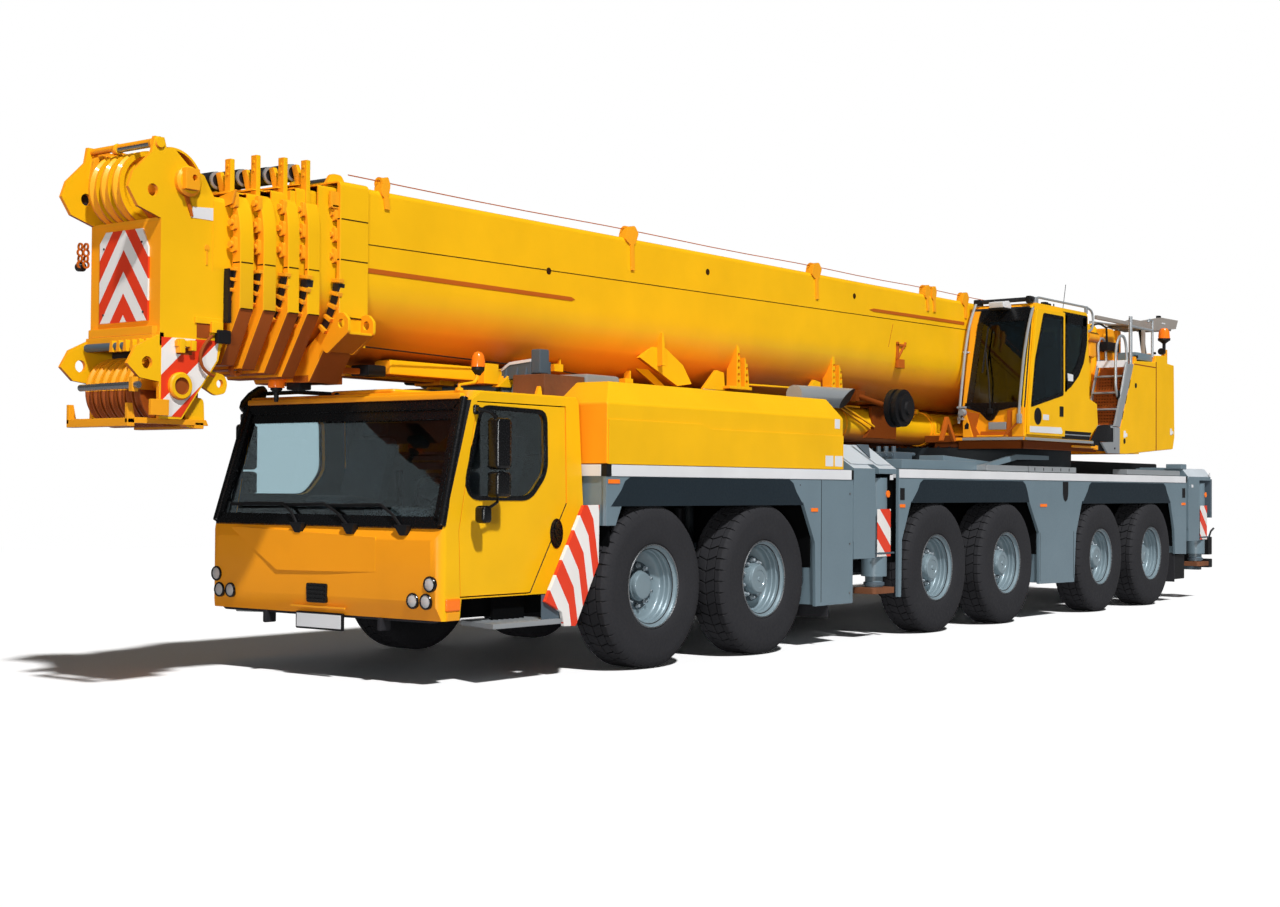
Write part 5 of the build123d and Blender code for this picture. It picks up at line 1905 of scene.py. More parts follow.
        # Painted shadows of the latches on the side plate.
        shade = [block((side, side + 0.004), (-4.0, -3.87), (2.375, 2.42), 0),
                 block((side, side + 0.004), (-3.83, -3.72), (2.50, 2.60), 0)]
        fit(joined(shade), "head_latch_painted_shadows", self.body, BROWN_AND_PAINTED_SHADE)
        lamp = block((side + 0.005, side + 0.045), (-3.68, -3.56), (2.47, 2.565), 0.01)
        fit(lamp, "head_side_lamp", self.body, PLASTIC)
        strip = block((side + 0.002, side + 0.05), (-3.598, -3.57), (2.62, 3.0), 0)
        fit(both_sides(strip), "head_wear_strips", self.body, PLASTIC)
        hose = rail([at(side + 0.03, *point)
                     for point in ((-3.72, 2.52), (-3.80, 2.44), (-3.83, 2.34), (-3.77, 2.26),
                                   (-3.70, 2.24))], 0.012, 0.05)
        fit(hose, "head_side_hose", self.body, BROWN_AND_PAINTED_SHADE)
        links = []
        for row, x in enumerate((-0.405, -0.43)):
            for step in range(4):
                links.append(turned(((-0.006, 0.016), (-0.006, 0.028), (0.006, 0.028), (0.006, 0.016),
                                     (-0.006, 0.016)),
                                    at(x, -4.17 - 0.03 * row, 3.15 - 0.042 * step),
                                    Along.X if step % 2 else Along.Y, 14))
        fit(joined(links), "head_chain", self.body, AMBER_SHADE)
        knob = turned(((-0.03, 0), (-0.03, 0.03), (0.02, 0.034), (0.03, 0.02), (0.03, 0)),
                      at(-0.45, -4.18, 3.01), Along.X, 16)
        fit(knob, "chain_knob", self.body, PLASTIC)


# ---------------------------------------------------------------- engine cover
@dataclass
class EngineCover:
    """Engine cover behind the cab with its muffler and exhaust, the engine and the boom's rest."""

    body: str = "carrier"
    half: float = 1.491
    skin: float = 1.4993
    front: float = -0.65
    rear: float = 3.0
    foot: float = 1.672
    shoulder: float = 2.16
    top_half: float = 1.3
    top: float = 2.35
    chamfer: float = 0.27
    pipe_end: tuple[float, float, float] = (0.803, 0.351, -0.482)
    step: tuple[tuple[float, float], ...] = ((0.66, 2.03), (0.80, 1.992))
    cradle: tuple[tuple[float, float], ...] = (
        (-0.6, 2.47), (-0.5, 2.44), (-0.38, 2.37), (-0.04, 2.355), (0.22, 2.39), (0.43, 2.51), (0.66, 2.53),
    )

    def build(self) -> None:
        """Cover, its side panels and plates, muffler and exhaust, engine, rest."""
        outline = ((-self.half, self.foot), (-self.half, self.shoulder), (-self.top_half, self.top),
                   (self.top_half, self.top), (self.half, self.shoulder), (self.half, self.foot))
        slope = self.front + self.chamfer
        wedge = side_sheet((-2, 2), ((self.front - 0.1, self.shoulder - 0.07), (self.front, self.shoulder),
                                     (slope, self.top + 0.001), (slope, 2.6), (self.front - 0.1, 2.6)), 0)
        hull = break_edges(cut(front_sheet((self.front, self.rear), outline, 0), wedge), 0.014)
        fit(hull, "engine_cover_hull", self.body, YELLOW, ("engine_cover",))
        (first, high), (last, low) = self.step
        panel = ((self.front + 0.012, self.foot), (self.front + 0.012, high), (first, high), (last, low),
                 (self.rear - 0.01, low), (self.rear - 0.01, self.foot))
        fit(both_sides(side_sheet((self.half - 0.01, self.skin), panel, 0.003)), "engine_cover_panels",
            self.body, YELLOW)
        plates = [side_sheet((self.half, self.skin + 0.0005),
                             ((back, 1.70), (back, 1.80), (back + 0.14, 1.80), (back + 0.14, 1.70)), 0)
                  for back in (2.66, 2.83)]
        plates.append(side_sheet((self.half - 0.01, self.half + 0.002),
                                 ((2.84, 2.06), (2.84, 2.15), (2.93, 2.15), (2.93, 2.06)), 0))
        fit(both_sides(joined(plates)), "cover_plates", self.body, WHITE)
        lid = [deck_sheet((self.top - 0.002, self.top + 0.004),
                          ((-1.1, back), (1.1, back), (1.1, back + 1.0), (-1.1, back + 1.0)))
               for back in (-0.1, 1.0)]
        lid += [block((-0.1, 0.1), (back, back + 0.04), (self.top, self.top + 0.03)) for back in (0.35, 1.45)]
        fit(joined(lid), "cover_lids", self.body, YELLOW)
        vents = rowed(block((-1.0, 1.0), (2.15, 2.19), (self.top - 0.01, self.top + 0.006), 0),
                      Vector((0, 0.08, 0)), 9)
        fit(vents, "cover_top_vents", self.body, PLASTIC)
        self.exhaust()
        fit(softened("engine_block", 0.03), "engine_mass", self.body, STEEL, ("engine_block",))
        self.rest()

    def exhaust(self) -> None:
        """Brown box, grey muffler behind it, and the silver tail pipe at the cover's rear."""
        brown = block((0.62, 0.96), (-0.8, -0.28), (2.19, 2.40), 0.01)
        fit(brown, "intake_box", self.body, TIMBER)
        fit(block((0.62, 0.96), (-0.26, 0.2), (2.30, 2.43), 0.03), "muffler", self.body, SILVER)
        pipe = turned(((0, 0), (0, 0.09), (1.25, 0.11), (1.25, 0)), at(0.93, 3.0, 2.41), Along.Y, 32)
        edit(pipe)
        bpy.ops.mesh.bisect(plane_co=at(0.93, 4.04, 2.43), plane_no=self.pipe_end, use_fill=True,
                            clear_outer=True)
        close(False)
        shown = fit(pipe, "exhaust_pipe", self.body, SILVER)
        repaint(shown, PLASTIC, lambda middle, normal: normal.dot(Vector(self.pipe_end)) > 0.95)
        fit(block((0.84, 1.02), (2.95, 3.15), (2.2, 2.36)), "exhaust_foot", self.body, STEEL)

    def rest(self) -> None:
        """Cradle that the boom lies in, its white edge, its horn and the dark post below."""
        low = [(x, z - 0.13) for x, z in reversed(self.cradle)]
        saddle = front_sheet((-0.62, -0.36), [*self.cradle, *low], 0.006)
        ribs = [side_sheet((x, x + 0.02), ((-0.7, 2.2), (-0.62, 2.48), (-0.36, 2.48), (-0.3, 2.2)), 0.004)
                for x in (0.38, 0.5, 0.6)]
        horn = block((0.66, 0.76), (-0.62, -0.5), (2.42, 2.62), 0.012)
        fit(joined([saddle, *ribs, horn]), "boom_cradle", self.body, FRAME_GREY,
            ("boom_rest",))
        pad = front_sheet((-0.625, -0.6),
                          [(x, z + 0.012) for x, z in self.cradle] + [(x, z - 0.012)
                                                                      for x, z in reversed(self.cradle)], 0)
        fit(pad, "cradle_edge", self.body, WHITE)
        dark = [block((-0.73, -0.6), (-0.7, -0.4), (2.36, 2.5), 0.02),
                block((-0.4, 0.4), (-0.66, -0.5), (2.12, 2.25), 0.01),
                block((-0.42, 0.56), (-0.6, -0.36), (1.9, 2.24), 0.01)]
        fit(joined(dark), "cradle_post", self.body, PLASTIC)


# ---------------------------------------------------------------- side panels
@dataclass
class Fenders:
    """Side panels with their wheel arches, rails, decks, cabinets and striped guards."""

    body: str = "carrier"
    face: float = 1.491
    inner: float = 1.455
    rail_face: float = 1.4995
    front_panel: Outline = ((-0.655, 1.668), (-0.655, 1.18), (-0.53, 1.18), (-0.44, 1.36), (2.282, 1.36),
                            (2.496, 0.981), (2.511, 0.388), (3.188, 0.388), (3.188, 1.668))
    rear_panel: Outline = ((4.09, 1.69), (4.09, 0.404), (4.146, 0.404), (4.16, 0.98), (4.347, 1.36),
                           (7.131, 1.36), (7.401, 0.996), (7.404, 0.408), (8.386, 0.394), (8.441, 0.979),
                           (8.616, 1.36), (11.505, 1.36), (11.652, 0.981), (11.689, 0.645), (12.099, 0.635),
                           (12.099, 1.69))
    arches: tuple[tuple[float, float, float, float, float, float], ...] = (
        (-0.412, 2.108, 1.572, -0.592, 2.282, 1.335), (4.535, 7.024, 1.59, 4.347, 7.131, 1.35),
        (8.824, 11.323, 1.59, 8.616, 11.505, 1.33),
    )
    guard: Outline = (
        (-0.859, 1.344), (-0.665, 1.346), (-0.668, 0.886), (-0.95, 0.402), (-1.094, 0.407), (-1.12, 0.517),
        (-1.321, 0.608),
    )
    cabinets: tuple[tuple[float, float, float, float], ...] = (
        (2.53, 3.188, 0.40, 1.64), (7.425, 8.37, 0.42, 1.66), (11.705, 12.095, 0.65, 1.66),
    )
    lamps: tuple[tuple[float, float, float], ...] = ((-0.56, 1.533, 0.075), (2.477, 1.289, 0.06),
                                                     (4.16, 1.32, 0.055), (7.51, 1.312, 0.09),
                                                     (11.98, 1.315, 0.07))

    def build(self) -> None:
        """Panels, then what is set on them."""
        self.panels()
        self.rails()
        self.decks()
        self.small_parts()

    def panels(self) -> None:
        """Grey panels, dark arch bands, cabinets and the striped guards."""
        span = (self.inner, self.face)
        pieces = [side_sheet(span, self.front_panel, 0.004), side_sheet(span, self.rear_panel, 0.004)]
        for front, rear, low, high in self.cabinets:
            pieces.append(block((1.0, self.inner + 0.01), (front, rear), (low, high), 0.006))
        pieces.append(block((1.0, self.inner), (-0.64, -0.6), (1.18, 1.6)))
        fit(both_sides(joined(pieces)), "side_panels", self.body, GREY, ("side_fenders",))
        bands = []
        for start, end, high, low_start, low_end, low in self.arches:
            outline = ((start + 0.07, high), (end - 0.07, high), (end, high - 0.035),
                       (end + 0.05, high - 0.11), (low_end, low), (low_start, low),
                       (start - 0.05, high - 0.11), (start, high - 0.035))
            bands.append(side_sheet((self.inner, self.face + 0.004), outline, 0.002))
        fit(both_sides(joined(bands)), "arch_bands", self.body, DARK_BAND)
        fit(both_sides(side_sheet((1.40, 1.432), self.guard, 0.004)), "striped_guards", self.body,
            GUARD_STRIPES)
        stay = block((1.0, 1.41), (-0.72, -0.69), (0.95, 1.3), 0.004)
        # Walls inside the wheel wells, near-black as painted shade.
        liner = [block((0.56, 0.6), (-0.9, 12.1), (0.98, 1.62), 0), stay]
        for back in (-0.58, 2.45, 4.12, 7.38, 8.4, 11.66):
            liner.append(block((1.0, self.inner), (back, back + 0.02), (0.75, 1.6), 0.003))
        fit(both_sides(joined(liner)), "wheel_well_liners", self.body, WELL_SHADE)
        flaps = [block((1.02, 1.47), (back, back + 0.02), (0.27, height), 0.004)
                 for back, height in ((11.70, 0.66), (2.75, 0.4))]
        fit(both_sides(joined(flaps)), "mudflaps", self.body, RUBBER)

    def rails(self) -> None:
        """White rails along the decks with their dark corners and ends."""
        span = (self.inner - 0.04, self.rail_face)
        rails = [block(span, (-0.595, 3.146), (1.575, 1.668), 0.004),
                 block(span, (4.092, 12.06), (1.603, 1.69), 0.004),
                 block((0.95, 1.44), (-0.664, -0.64), (1.575, 1.668), 0.004)]
        fit(both_sides(joined(rails)), "deck_rails", self.body, WHITE)
        ends = [block((self.inner - 0.03, self.rail_face), (-0.66, -0.598), (1.575, 1.668), 0.004),
                block(span, (3.148, 3.186), (1.575, 1.668), 0.004),
                block(span, (12.062, 12.097), (1.603, 1.69), 0.004)]
        fit(both_sides(joined(ends)), "rail_ends", self.body, PLASTIC)

    def decks(self) -> None:
        """Walkways beside the frame, with chequer bars."""
        decks = [block((0.5, self.inner), (-0.64, 3.188), (1.64, 1.667), 0.004),
                 block((0.5, self.inner), (4.09, 12.099), (1.66, 1.688), 0.004)]
        fit(both_sides(joined(decks)), "walkways", self.body, GREY)
        ribs = rowed(block((1.2, 1.44), (4.2, 4.212), (1.688, 1.694), 0), Vector((0, 0.06, 0)), 130)
        fit(both_sides(ribs), "walkway_ribs", self.body, SILVER)
        plates = [block((1.22, 1.42), (start, end), (1.70, 1.765), 0.006)
                  for start, end in ((6.2, 7.25), (7.3, 8.6), (10.2, 12.05))]
        fit(both_sides(joined(plates)), "pad_boards", self.body, SILVER)
        slots = rowed(block((1.28, 1.421), (7.42, 7.44), (1.715, 1.75), 0), Vector((0, 0.24, 0)), 5)
        fit(both_sides(slots), "pad_board_slots", self.body, STEEL)
        beam = [side_sheet((1.22, 1.27),
                           ((6.25, 1.74), (7.25, 1.90), (8.15, 1.90), (8.15, 1.85), (7.3, 1.84),
                            (6.45, 1.72)), 0.004),
                block((1.1, 1.3), (4.5, 6.2), (1.70, 1.80), 0.01),
                side_sheet((0.9, 1.2), ((5.6, 1.70), (5.6, 1.86), (6.9, 1.80), (6.9, 1.70)), 0.008)]
        fit(both_sides(joined(beam)), "deck_beams", self.body, GREY)
        valves = [block((0.85, 1.15), (4.62, 5.0), (1.69, 1.88), 0.02)]
        valves += [rod(at(0.9 + 0.07 * step, 4.6, 1.84), at(0.9 + 0.07 * step, 5.1, 1.86), 0.02, 10)
                   for step in range(4)]
        valves += [rod(at(0.88 + 0.09 * step, 4.75, 1.86), at(0.88 + 0.09 * step, 4.75, 1.94), 0.025, 12)
                   for step in range(3)]
        fit(both_sides(joined(valves)), "deck_valves", self.body, FRAME_GREY)

    def small_parts(self) -> None:
        """Marker lamps, recesses, cabinet joints and hinge studs."""
        lamps = [block((self.face, self.face + 0.007), (back - half, back + half),
                       (height - 0.017, height + 0.017), 0.004)
                 for back, height, half in self.lamps]
        fit(both_sides(joined(lamps)), "marker_lamps", self.body, ORANGE_LENS)
        slot = [(8.05, 1.59), (8.05, 1.44), (8.075, 1.38), (8.125, 1.355), (8.175, 1.38), (8.2, 1.44),
                (8.2, 1.59)]
        dark = [side_sheet((self.face - 0.004, self.face + 0.003), slot, 0),
                block((self.face, self.face + 0.003), (4.115, 4.205), (1.38, 1.5), 0),
                block((self.face, self.face + 0.003), (11.94, 12.05), (1.4, 1.53), 0)]
        dark += [block((self.face, self.face + 0.0015), (back, back + 0.007), (low, high), 0)
                 for back, low, high in ((2.60, 0.42, 1.57), (7.42, 0.44, 1.0), (8.36, 0.44, 1.0))]
        fit(both_sides(joined(dark)), "panel_recesses", self.body, PLASTIC)
        dots = [rod(at(self.face, 3.125, height), at(self.face + 0.006, 3.125, height), 0.012, 10)
                for height in (1.44, 0.96, 0.49)]
        dots += [rod(at(self.face, back, 1.52), at(self.face + 0.004, back, 1.52), 0.008, 8)
                 for back in (2.23, -0.5)]
        fit(both_sides(joined(dots)), "panel_hinges", self.body, BRIGHT)


# ---------------------------------------------------------------- outriggers
@dataclass
class Outriggers:
    """Outrigger boxes with their beams, jacks and pads."""

    beams: tuple[tuple[str, int, float], ...] = (("front_left", 1, 3.84), ("front_right", -1, 3.40),
                                                 ("rear_left", 1, 12.82), ("rear_right", -1, 12.38))
    face: float = 1.478

    def build(self) -> None:
        """Boxes, then each beam with its jack."""
        hull = fit(softened("outrigger_boxes", 0.008), "outrigger_housings", "carrier", GREY,
                   ("outrigger_boxes",))
        # Painted light: sloped faces turned up and to the side are pale grey, as if lit by the sun.
        repaint(hull, SUNLIT_GREY, lambda middle, normal: normal.z > 0.35 and abs(normal.x) > 0.3)
        # Pale sheets on the sloped tops of the housings, painted light.
        facets = [sheet([at(x, back, 1.939 - (x - 1.13) * 0.676) for x, back in (
            (1.15, start), (1.15, end), (1.44, end - 0.02), (1.44, start))], Vector((0.002, 0, 0.003)), 0)
                  for start, end in ((3.23, 3.68), (3.73, 4.03))]
        fit(both_sides(joined(facets)), "housing_painted_sunlit_facets", "carrier", SUNLIT_GREY)
        notch = sheet([at(1.165, 3.80, 1.931), at(1.165, 4.04, 1.931), at(1.37, 3.72, 1.791)],
                      Vector((0.004, 0, 0.006)), 0)
        fit(both_sides(notch), "housing_notches", "carrier", FRAME_GREY)
        walls = [block((1.30, 1.49), (13.045, 13.10), (1.12, 1.66), 0.006),
                 block((1.42, 1.465), (13.06, 13.12), (1.3, 1.55), 0.006)]
        fit(both_sides(joined(walls)), "housing_rear_walls", "carrier", FRAME_GREY)
        caps = [block((0.7, 1.05), (12.3, 13.0), (1.79, 1.815), 0.006),
                block((1.2, 1.42), (12.1, 12.3), (1.79, 1.86), 0.01)]
        fit(both_sides(joined(caps)), "housing_ridges", "carrier", GREY)
        marks = [block((1.493, 1.4985), (3.9, 3.96), (1.58, 1.63), 0),
                 block((1.493, 1.4985), (12.96, 13.0), (1.70, 1.75), 0),
                 block((1.493, 1.4985), (12.28, 12.34), (1.54, 1.58), 0)]
        fit(both_sides(joined(marks)), "housing_blank_marks", "carrier", WHITE)
        for place, sign, middle in self.beams:
            self.beam(place, sign, middle)
            self.jack(place, sign, middle)

    def beam(self, place: str, sign: int, middle: float) -> None:
        """One beam with its striped end plate, lamp and lip.

        Args:
            place: which corner of the machine.
            sign: 1 on the left, -1 on the right.
            middle: the beam's middle lengthwise.
        """
        body = f"outrigger_beam_{place}"
        fit(softened(body, 0.006), f"beam_{place}", body, GREY, (body,))
        x = sorted((sign * self.face, sign * (self.face + 0.005)))
        plate = block(x, (middle - 0.165, middle + 0.10), (0.82, 1.29), 0.001)
        fit(plate, f"beam_board_{place}", body, BOARD_STRIPES)
        lens = rod(at(sign * self.face, middle + 0.04, 1.44),
                   at(sign * (self.face + 0.012), middle + 0.04, 1.44), 0.035, 16)
        fit(lens, f"beam_lamp_{place}", body, ORANGE_LENS)
        lip = block(sorted((sign * (self.face - 0.03), sign * (self.face + 0.012))),
                    (middle - 0.165, middle + 0.165), (0.845, 0.862), 0.003)
        fit(lip, f"beam_lip_{place}", body, FRAME_GREY)

    def jack(self, place: str, sign: int, middle: float) -> None:
        """One jack with its pad and the brown plate under it.

        Args:
            place: which corner of the machine.
            sign: 1 on the left, -1 on the right.
            middle: the jack's middle lengthwise.
        """
        body = f"outrigger_jack_{place}"
        hull = fit(softened(body, 0.005), f"jack_{place}", body, GREY, (body,))
        repaint(hull, TIMBER, lambda spot, normal: spot.z < 0.515)
        collar = turned(((0.0, 0.09), (0.0, 0.105), (0.03, 0.105), (0.035, 0.09), (0.0, 0.09)),
                        at(sign * 1.35, middle, 0.53), Along.Z, 28)
        fit(collar, f"jack_collar_{place}", body, FRAME_GREY)


# ---------------------------------------------------------------- chassis
@dataclass
class Chassis:
    """Frame, axles, knuckles, and what is fixed to the frame's rear."""

    body: str = "carrier"
    rear: float = 13.2

    def build(self) -> None:
        """Frame, axles with their struts, then the rear end."""
        hull = fit(softened("carrier_frame", 0.006), "chassis_frame", self.body, FRAME_GREY,
                   ("carrier_frame",))
        repaint(hull, FRAME_DARK,
                lambda middle, normal: middle.z > 1.7 and math.hypot(middle.x, middle.y - 8.5) < 1.3)
        fit(block((-0.75, 0.75), (9.85, 12.95), (1.69, 1.875), 0.02), "deck_hose_cover", self.body, PLASTIC)
        fit(softened("axle_beams", 0.008), "axle_bridges", self.body, FRAME_DARK,
            ("axle_beams",))
        rods = []
        for back in AXLES:
            rods.append(rod(at(-1.02, back + 0.2, 0.62), at(1.02, back + 0.2, 0.62), 0.022, 10))
            rods += [rod(at(x, back - 0.12, 0.72), at(x, back - 0.12, 1.3), 0.055, 16) for x in (0.62, -0.62)]
            rods.append(turned(((-0.16, 0), (-0.16, 0.1), (-0.1, 0.19), (0.1, 0.19), (0.16, 0.1), (0.16, 0)),
                               at(0, back, 0.64), Along.Y, 24))
        fit(joined(rods), "axle_rods", self.body, STEEL)
        shafts = [rod(at(0, front + 0.2, 0.72), at(0, rear - 0.2, 0.72), 0.05, 14)
                  for front, rear in zip(AXLES, AXLES[1:])]
        fit(joined(shafts), "drive_shafts", self.body, STEEL)
        for number in range(1, len(AXLES) + 1):
            for side, _ in SIDES:
                name = f"knuckle_{number}_{side}"
                fit(softened(name, 0.006), f"hub_carrier_{number}_{side}", name, FRAME_DARK,
                    (name,))
        self.rear_end()

    def rear_end(self) -> None:
        """Tail lamps in their holders, striped boards, stays, a blank plate and dark corner parts."""
        back = self.rear
        lens = ((-0.03, 0), (-0.03, 0.05), (0.0, 0.05), (0.008, 0.04), (0.009, 0))
        *tail, turning = [turned(lens, at(x, back - 0.01, 0.56), Along.Y, 20) for x in (0.86, 0.98, 1.10)]
        fit(both_sides(joined(tail)), "tail_lamps", self.body, RED_LENS)
        fit(both_sides(turning), "rear_indicators", self.body, ORANGE_LENS)
        holder = block((0.78, 1.2), (back - 0.09, back - 0.03), (0.485, 0.63), 0.01)
        fit(both_sides(holder), "tail_lamp_holders", self.body, PLASTIC)
        boards = block((0.72, 1.28), (back - 0.14, back - 0.12), (0.72, 1.12), 0.003)
        fit(both_sides(boards), "rear_boards", self.body, BOARD_STRIPES)
        stays = [block((0.95, 1.0), (back - 0.5, back - 0.13), (0.9, 0.95)),
                 block((0.95, 1.0), (back - 0.5, back - 0.06), (0.42, 0.47)),
                 block((0.45, 1.0), (back - 0.52, back - 0.46), (0.42, 1.0))]
        fit(both_sides(joined(stays)), "rear_stays", self.body, FRAME_GREY)
        fit(block((-0.26, 0.26), (back - 0.03, back + 0.004), (0.4, 0.47), 0.003), "rear_plate_blank",
            self.body, WHITE)
        dark = [block((1.33, 1.46), (13.05, 13.19), (0.6, 0.85), 0.01),
                block((1.30, 1.46), (13.06, 13.2), (0.42, 0.54), 0.01),
                rail([at(1.44, 13.12, 0.85), at(1.46, 13.14, 0.93), at(1.48, 13.195, 0.97)], 0.014, 0.03),
                block((1.0, 1.45), (11.76, 12.14), (0.30, 0.63), 0.01)]
        fit(both_sides(joined(dark)), "rear_corner_parts", self.body, PLASTIC)


# ---------------------------------------------------------------- turntable
@dataclass
class Turntable:
    """Slewing platform with its deck, the luffing cylinder, its pipes and the hoist winch."""

    body: str = "superstructure"
    deck: Span = (2.062, 2.093)
    deck_side: float = 1.487
    winch: tuple[float, float] = (12.15, 2.55)
    drum: float = 0.3
    rope: float = 0.024
    barrel_height: float = 2.21
    barrel: float = 0.195

    def build(self) -> None:
        """Platform, edges, ring, cylinder, winch."""
        base = fit(softened("turntable", 0.008), "turntable_base", self.body, YELLOW,
                   ("turntable",))
        # Painted shade: faces turned down and the low faces of the platform are brown.
        repaint(base, SHADE_BROWN, lambda middle, normal: normal.z < -0.3 or middle.z < 2.058)
        repaint(base, SILVER, lambda middle, normal: 2.094 < middle.z < 2.1 and normal.z > 0.9)
        self.edges()
        self.underside()
        self.cylinder()
        self.hoist()

    def edges(self) -> None:
        """Silver edge of the walkway at the cab, silver gusset under the ladder and dark plates behind it."""
        low, high = self.deck
        side = block((self.deck_side - 0.004, self.deck_side + 0.004), (7.02, 8.95), (low, high), 0.002)
        bowed = [(0.6, 7.035), (0.75, 7.012), (1.0, 7.0), (1.25, 7.004), (1.491, 7.022), (1.491, 7.04),
                 (0.6, 7.05)]
        front = deck_sheet((low, high), bowed, 0.002)
        gusset = side_sheet((1.455, 1.483),
                            ((9.22, 2.086), (9.64, 2.1), (9.64, 2.29), (9.80, 2.285), (9.785, 1.957),
                             (9.42, 1.953)), 0.003)
        fit(joined([side, front, gusset]), "turntable_silver_edges", self.body, SILVER)
        slot = side_sheet((1.4415, 1.4465),
                          ((8.96, 2.095), (9.20, 2.29), (9.38, 2.31), (9.70, 2.31), (9.70, 2.095)), 0)
        dark = side_sheet((1.4415, 1.4465),
                          ((8.97, 2.04), (8.97, 2.10), (9.23, 2.10), (9.42, 1.98), (9.2, 1.98)), 0)
        fit(joined([slot, dark]), "turntable_dark_box", self.body, PLASTIC)
        bolt = turned(((0, 0), (0, 0.012), (0.008, 0.012), (0.008, 0)), at(1.483, 9.62, 2.02), Along.X, 12)
        fit(bolt, "gusset_bolt", self.body, PLASTIC)

    def underside(self) -> None:
        """Skirts under the deck in painted shade brown, a bracket at its side, its front stay and the bolts
        of its ring.
        """
        ribs = [block((0.6, 1.42), (7.12, 7.15), (1.965, 2.06)),
                block((1.385, 1.42), (7.12, 9.2), (1.965, 2.06)),
                block((-1.42, -0.6), (7.12, 7.15), (1.965, 2.06)),
                block((-1.42, -1.385), (7.12, 11.2), (1.965, 2.06)),
                block((-0.6, -0.23), (6.98, 7.25), (2.04, 2.12)),
                block((0.23, 0.6), (6.98, 7.25), (2.04, 2.12))]
        fit(joined(ribs), "turntable_skirts", self.body, SHADE_BROWN)
        bracket = [block((1.42, 1.45), (8.45, 9.14), (2.005, 2.035)),
                   block((1.42, 1.46), (9.1, 9.17), (1.99, 2.045))]
        fit(joined(bracket), "turntable_side_bracket", self.body, SHADED_YELLOW)
        stay = side_sheet((0.60, 0.64),
                          ((6.62, 2.05), (6.76, 2.33), (6.80, 2.33), (7.0, 2.05), (6.94, 2.05), (6.79, 2.25),
                           (6.68, 2.05)), 0.004)
        fit(stay, "turntable_front_stays", self.body, AMBER_SHADE)
        bolts = ringed(rod(at(1.262, 8.5, 1.986), at(1.262, 8.5, 2.0), 0.016, 6, 0), at(0, 8.5, 1.99),
                       Along.Z, 60)
        fit(bolts, "turntable_ring_bolts", self.body, STEEL)

    def cylinder(self) -> None:
        """Luffing cylinder with its rings, clamps, pipes, rod and eye."""
        shell = fit(softened("luff_cylinder", 0.01), "luff_barrel", "luff_cylinder", YELLOW,
                    ("luff_cylinder",))
        repaint(shell, STEEL, lambda middle, normal: middle.y < 3.76 and abs(middle.x) < 0.13)
        grow = self.barrel + 0.012
        bands = [turned(((-half, self.barrel), (-half, grow), (half, grow), (half, self.barrel)),
                        at(0, back, self.barrel_height), Along.Y, 40)
                 for back, half in ((3.79, 0.04), (5.28, 0.03), (7.24, 0.02), (7.31, 0.03))]
        fit(joined(bands), "luff_barrel_bands", "luff_cylinder", YELLOW)
        pipes = [rail([at(0.13, 4.6, 2.40), at(0.225, 5.06, 2.375), at(0.225, 5.70, 2.165)], 0.013, 0.08),
                 rail([at(0.13, 4.7, 2.42), at(0.225, 5.11, 2.40), at(0.225, 5.80, 2.19)], 0.013, 0.08),
                 rail([at(0.15, 3.95, 2.405), at(0.15, 5.6, 2.405)], 0.012, 0),
                 rail([at(0.15, 6.5, 2.40), at(0.15, 6.9, 2.40)], 0.02, 0),
                 block((0.12, 0.18), (6.88, 6.93), (2.37, 2.43), 0.006)]
        fit(joined(pipes), "luff_pipes", "luff_cylinder", YELLOW)
        outline = ((5.62, 2.06), (5.80, 2.20), (5.76, 2.41), (6.30, 2.41), (6.34, 2.2), (6.33, 2.06))
        saddle = [side_sheet((0.17, 0.212), outline, 0.006), side_sheet((-0.212, -0.17), outline, 0.006),
                  block((-0.2, 0.2), (5.80, 6.25), (2.398, 2.425))]
        fit(joined(saddle), "luff_saddle", "luff_cylinder", SHADE_BROWN)
        fit(softened("luff_rod", 0.006), "luff_piston", "luff_rod", CHROME, ("luff_rod",))

    def hoist(self) -> None:
        """Winch at the tail, its drum wound with rope."""
        frame_piece = fit(softened("winch", 0.008), "winch_frame", self.body, STEEL, ("winch",))
        repaint(frame_piece, YELLOW, lambda middle, normal: abs(middle.x) > 0.435)
        wound, half = self.drum + 0.01, 0.43
        turns = int(2 * half / self.rope)
        profile = [(-half, self.drum - 0.01)]
        for turn in range(turns):
            start = -half + turn * self.rope
            profile += [(start + self.rope * 0.1, wound), (start + self.rope * 0.5, wound + self.rope / 2),
                        (start + self.rope * 0.9, wound)]
        profile.append((half, self.drum - 0.01))
        fit(turned(profile, at(0, *self.winch), Along.X, 48), "winch_rope", self.body, BRIGHT)
        motor = turned(((0.48, 0), (0.48, 0.17), (0.5, 0.18), (0.535, 0.18), (0.538, 0.12), (0.538, 0)),
                       at(0, *self.winch), Along.X, 32)
        bolts = ringed(rod(at(0.478, 12.15, 2.85), at(0.492, 12.15, 2.85), 0.014, 6, 0), at(0, *self.winch),
                       Along.X, 20)
        fit(both_sides(joined([motor, bolts])), "winch_drives", self.body, STEEL)
        seat = [block((-0.43, 0.43), (11.3, 11.33), (2.16, 2.166)),
                block((-0.43, 0.43), (11.7, 11.73), (2.16, 2.166))]
        fit(joined(seat), "counterweight_seat_strips", self.body, STEEL)


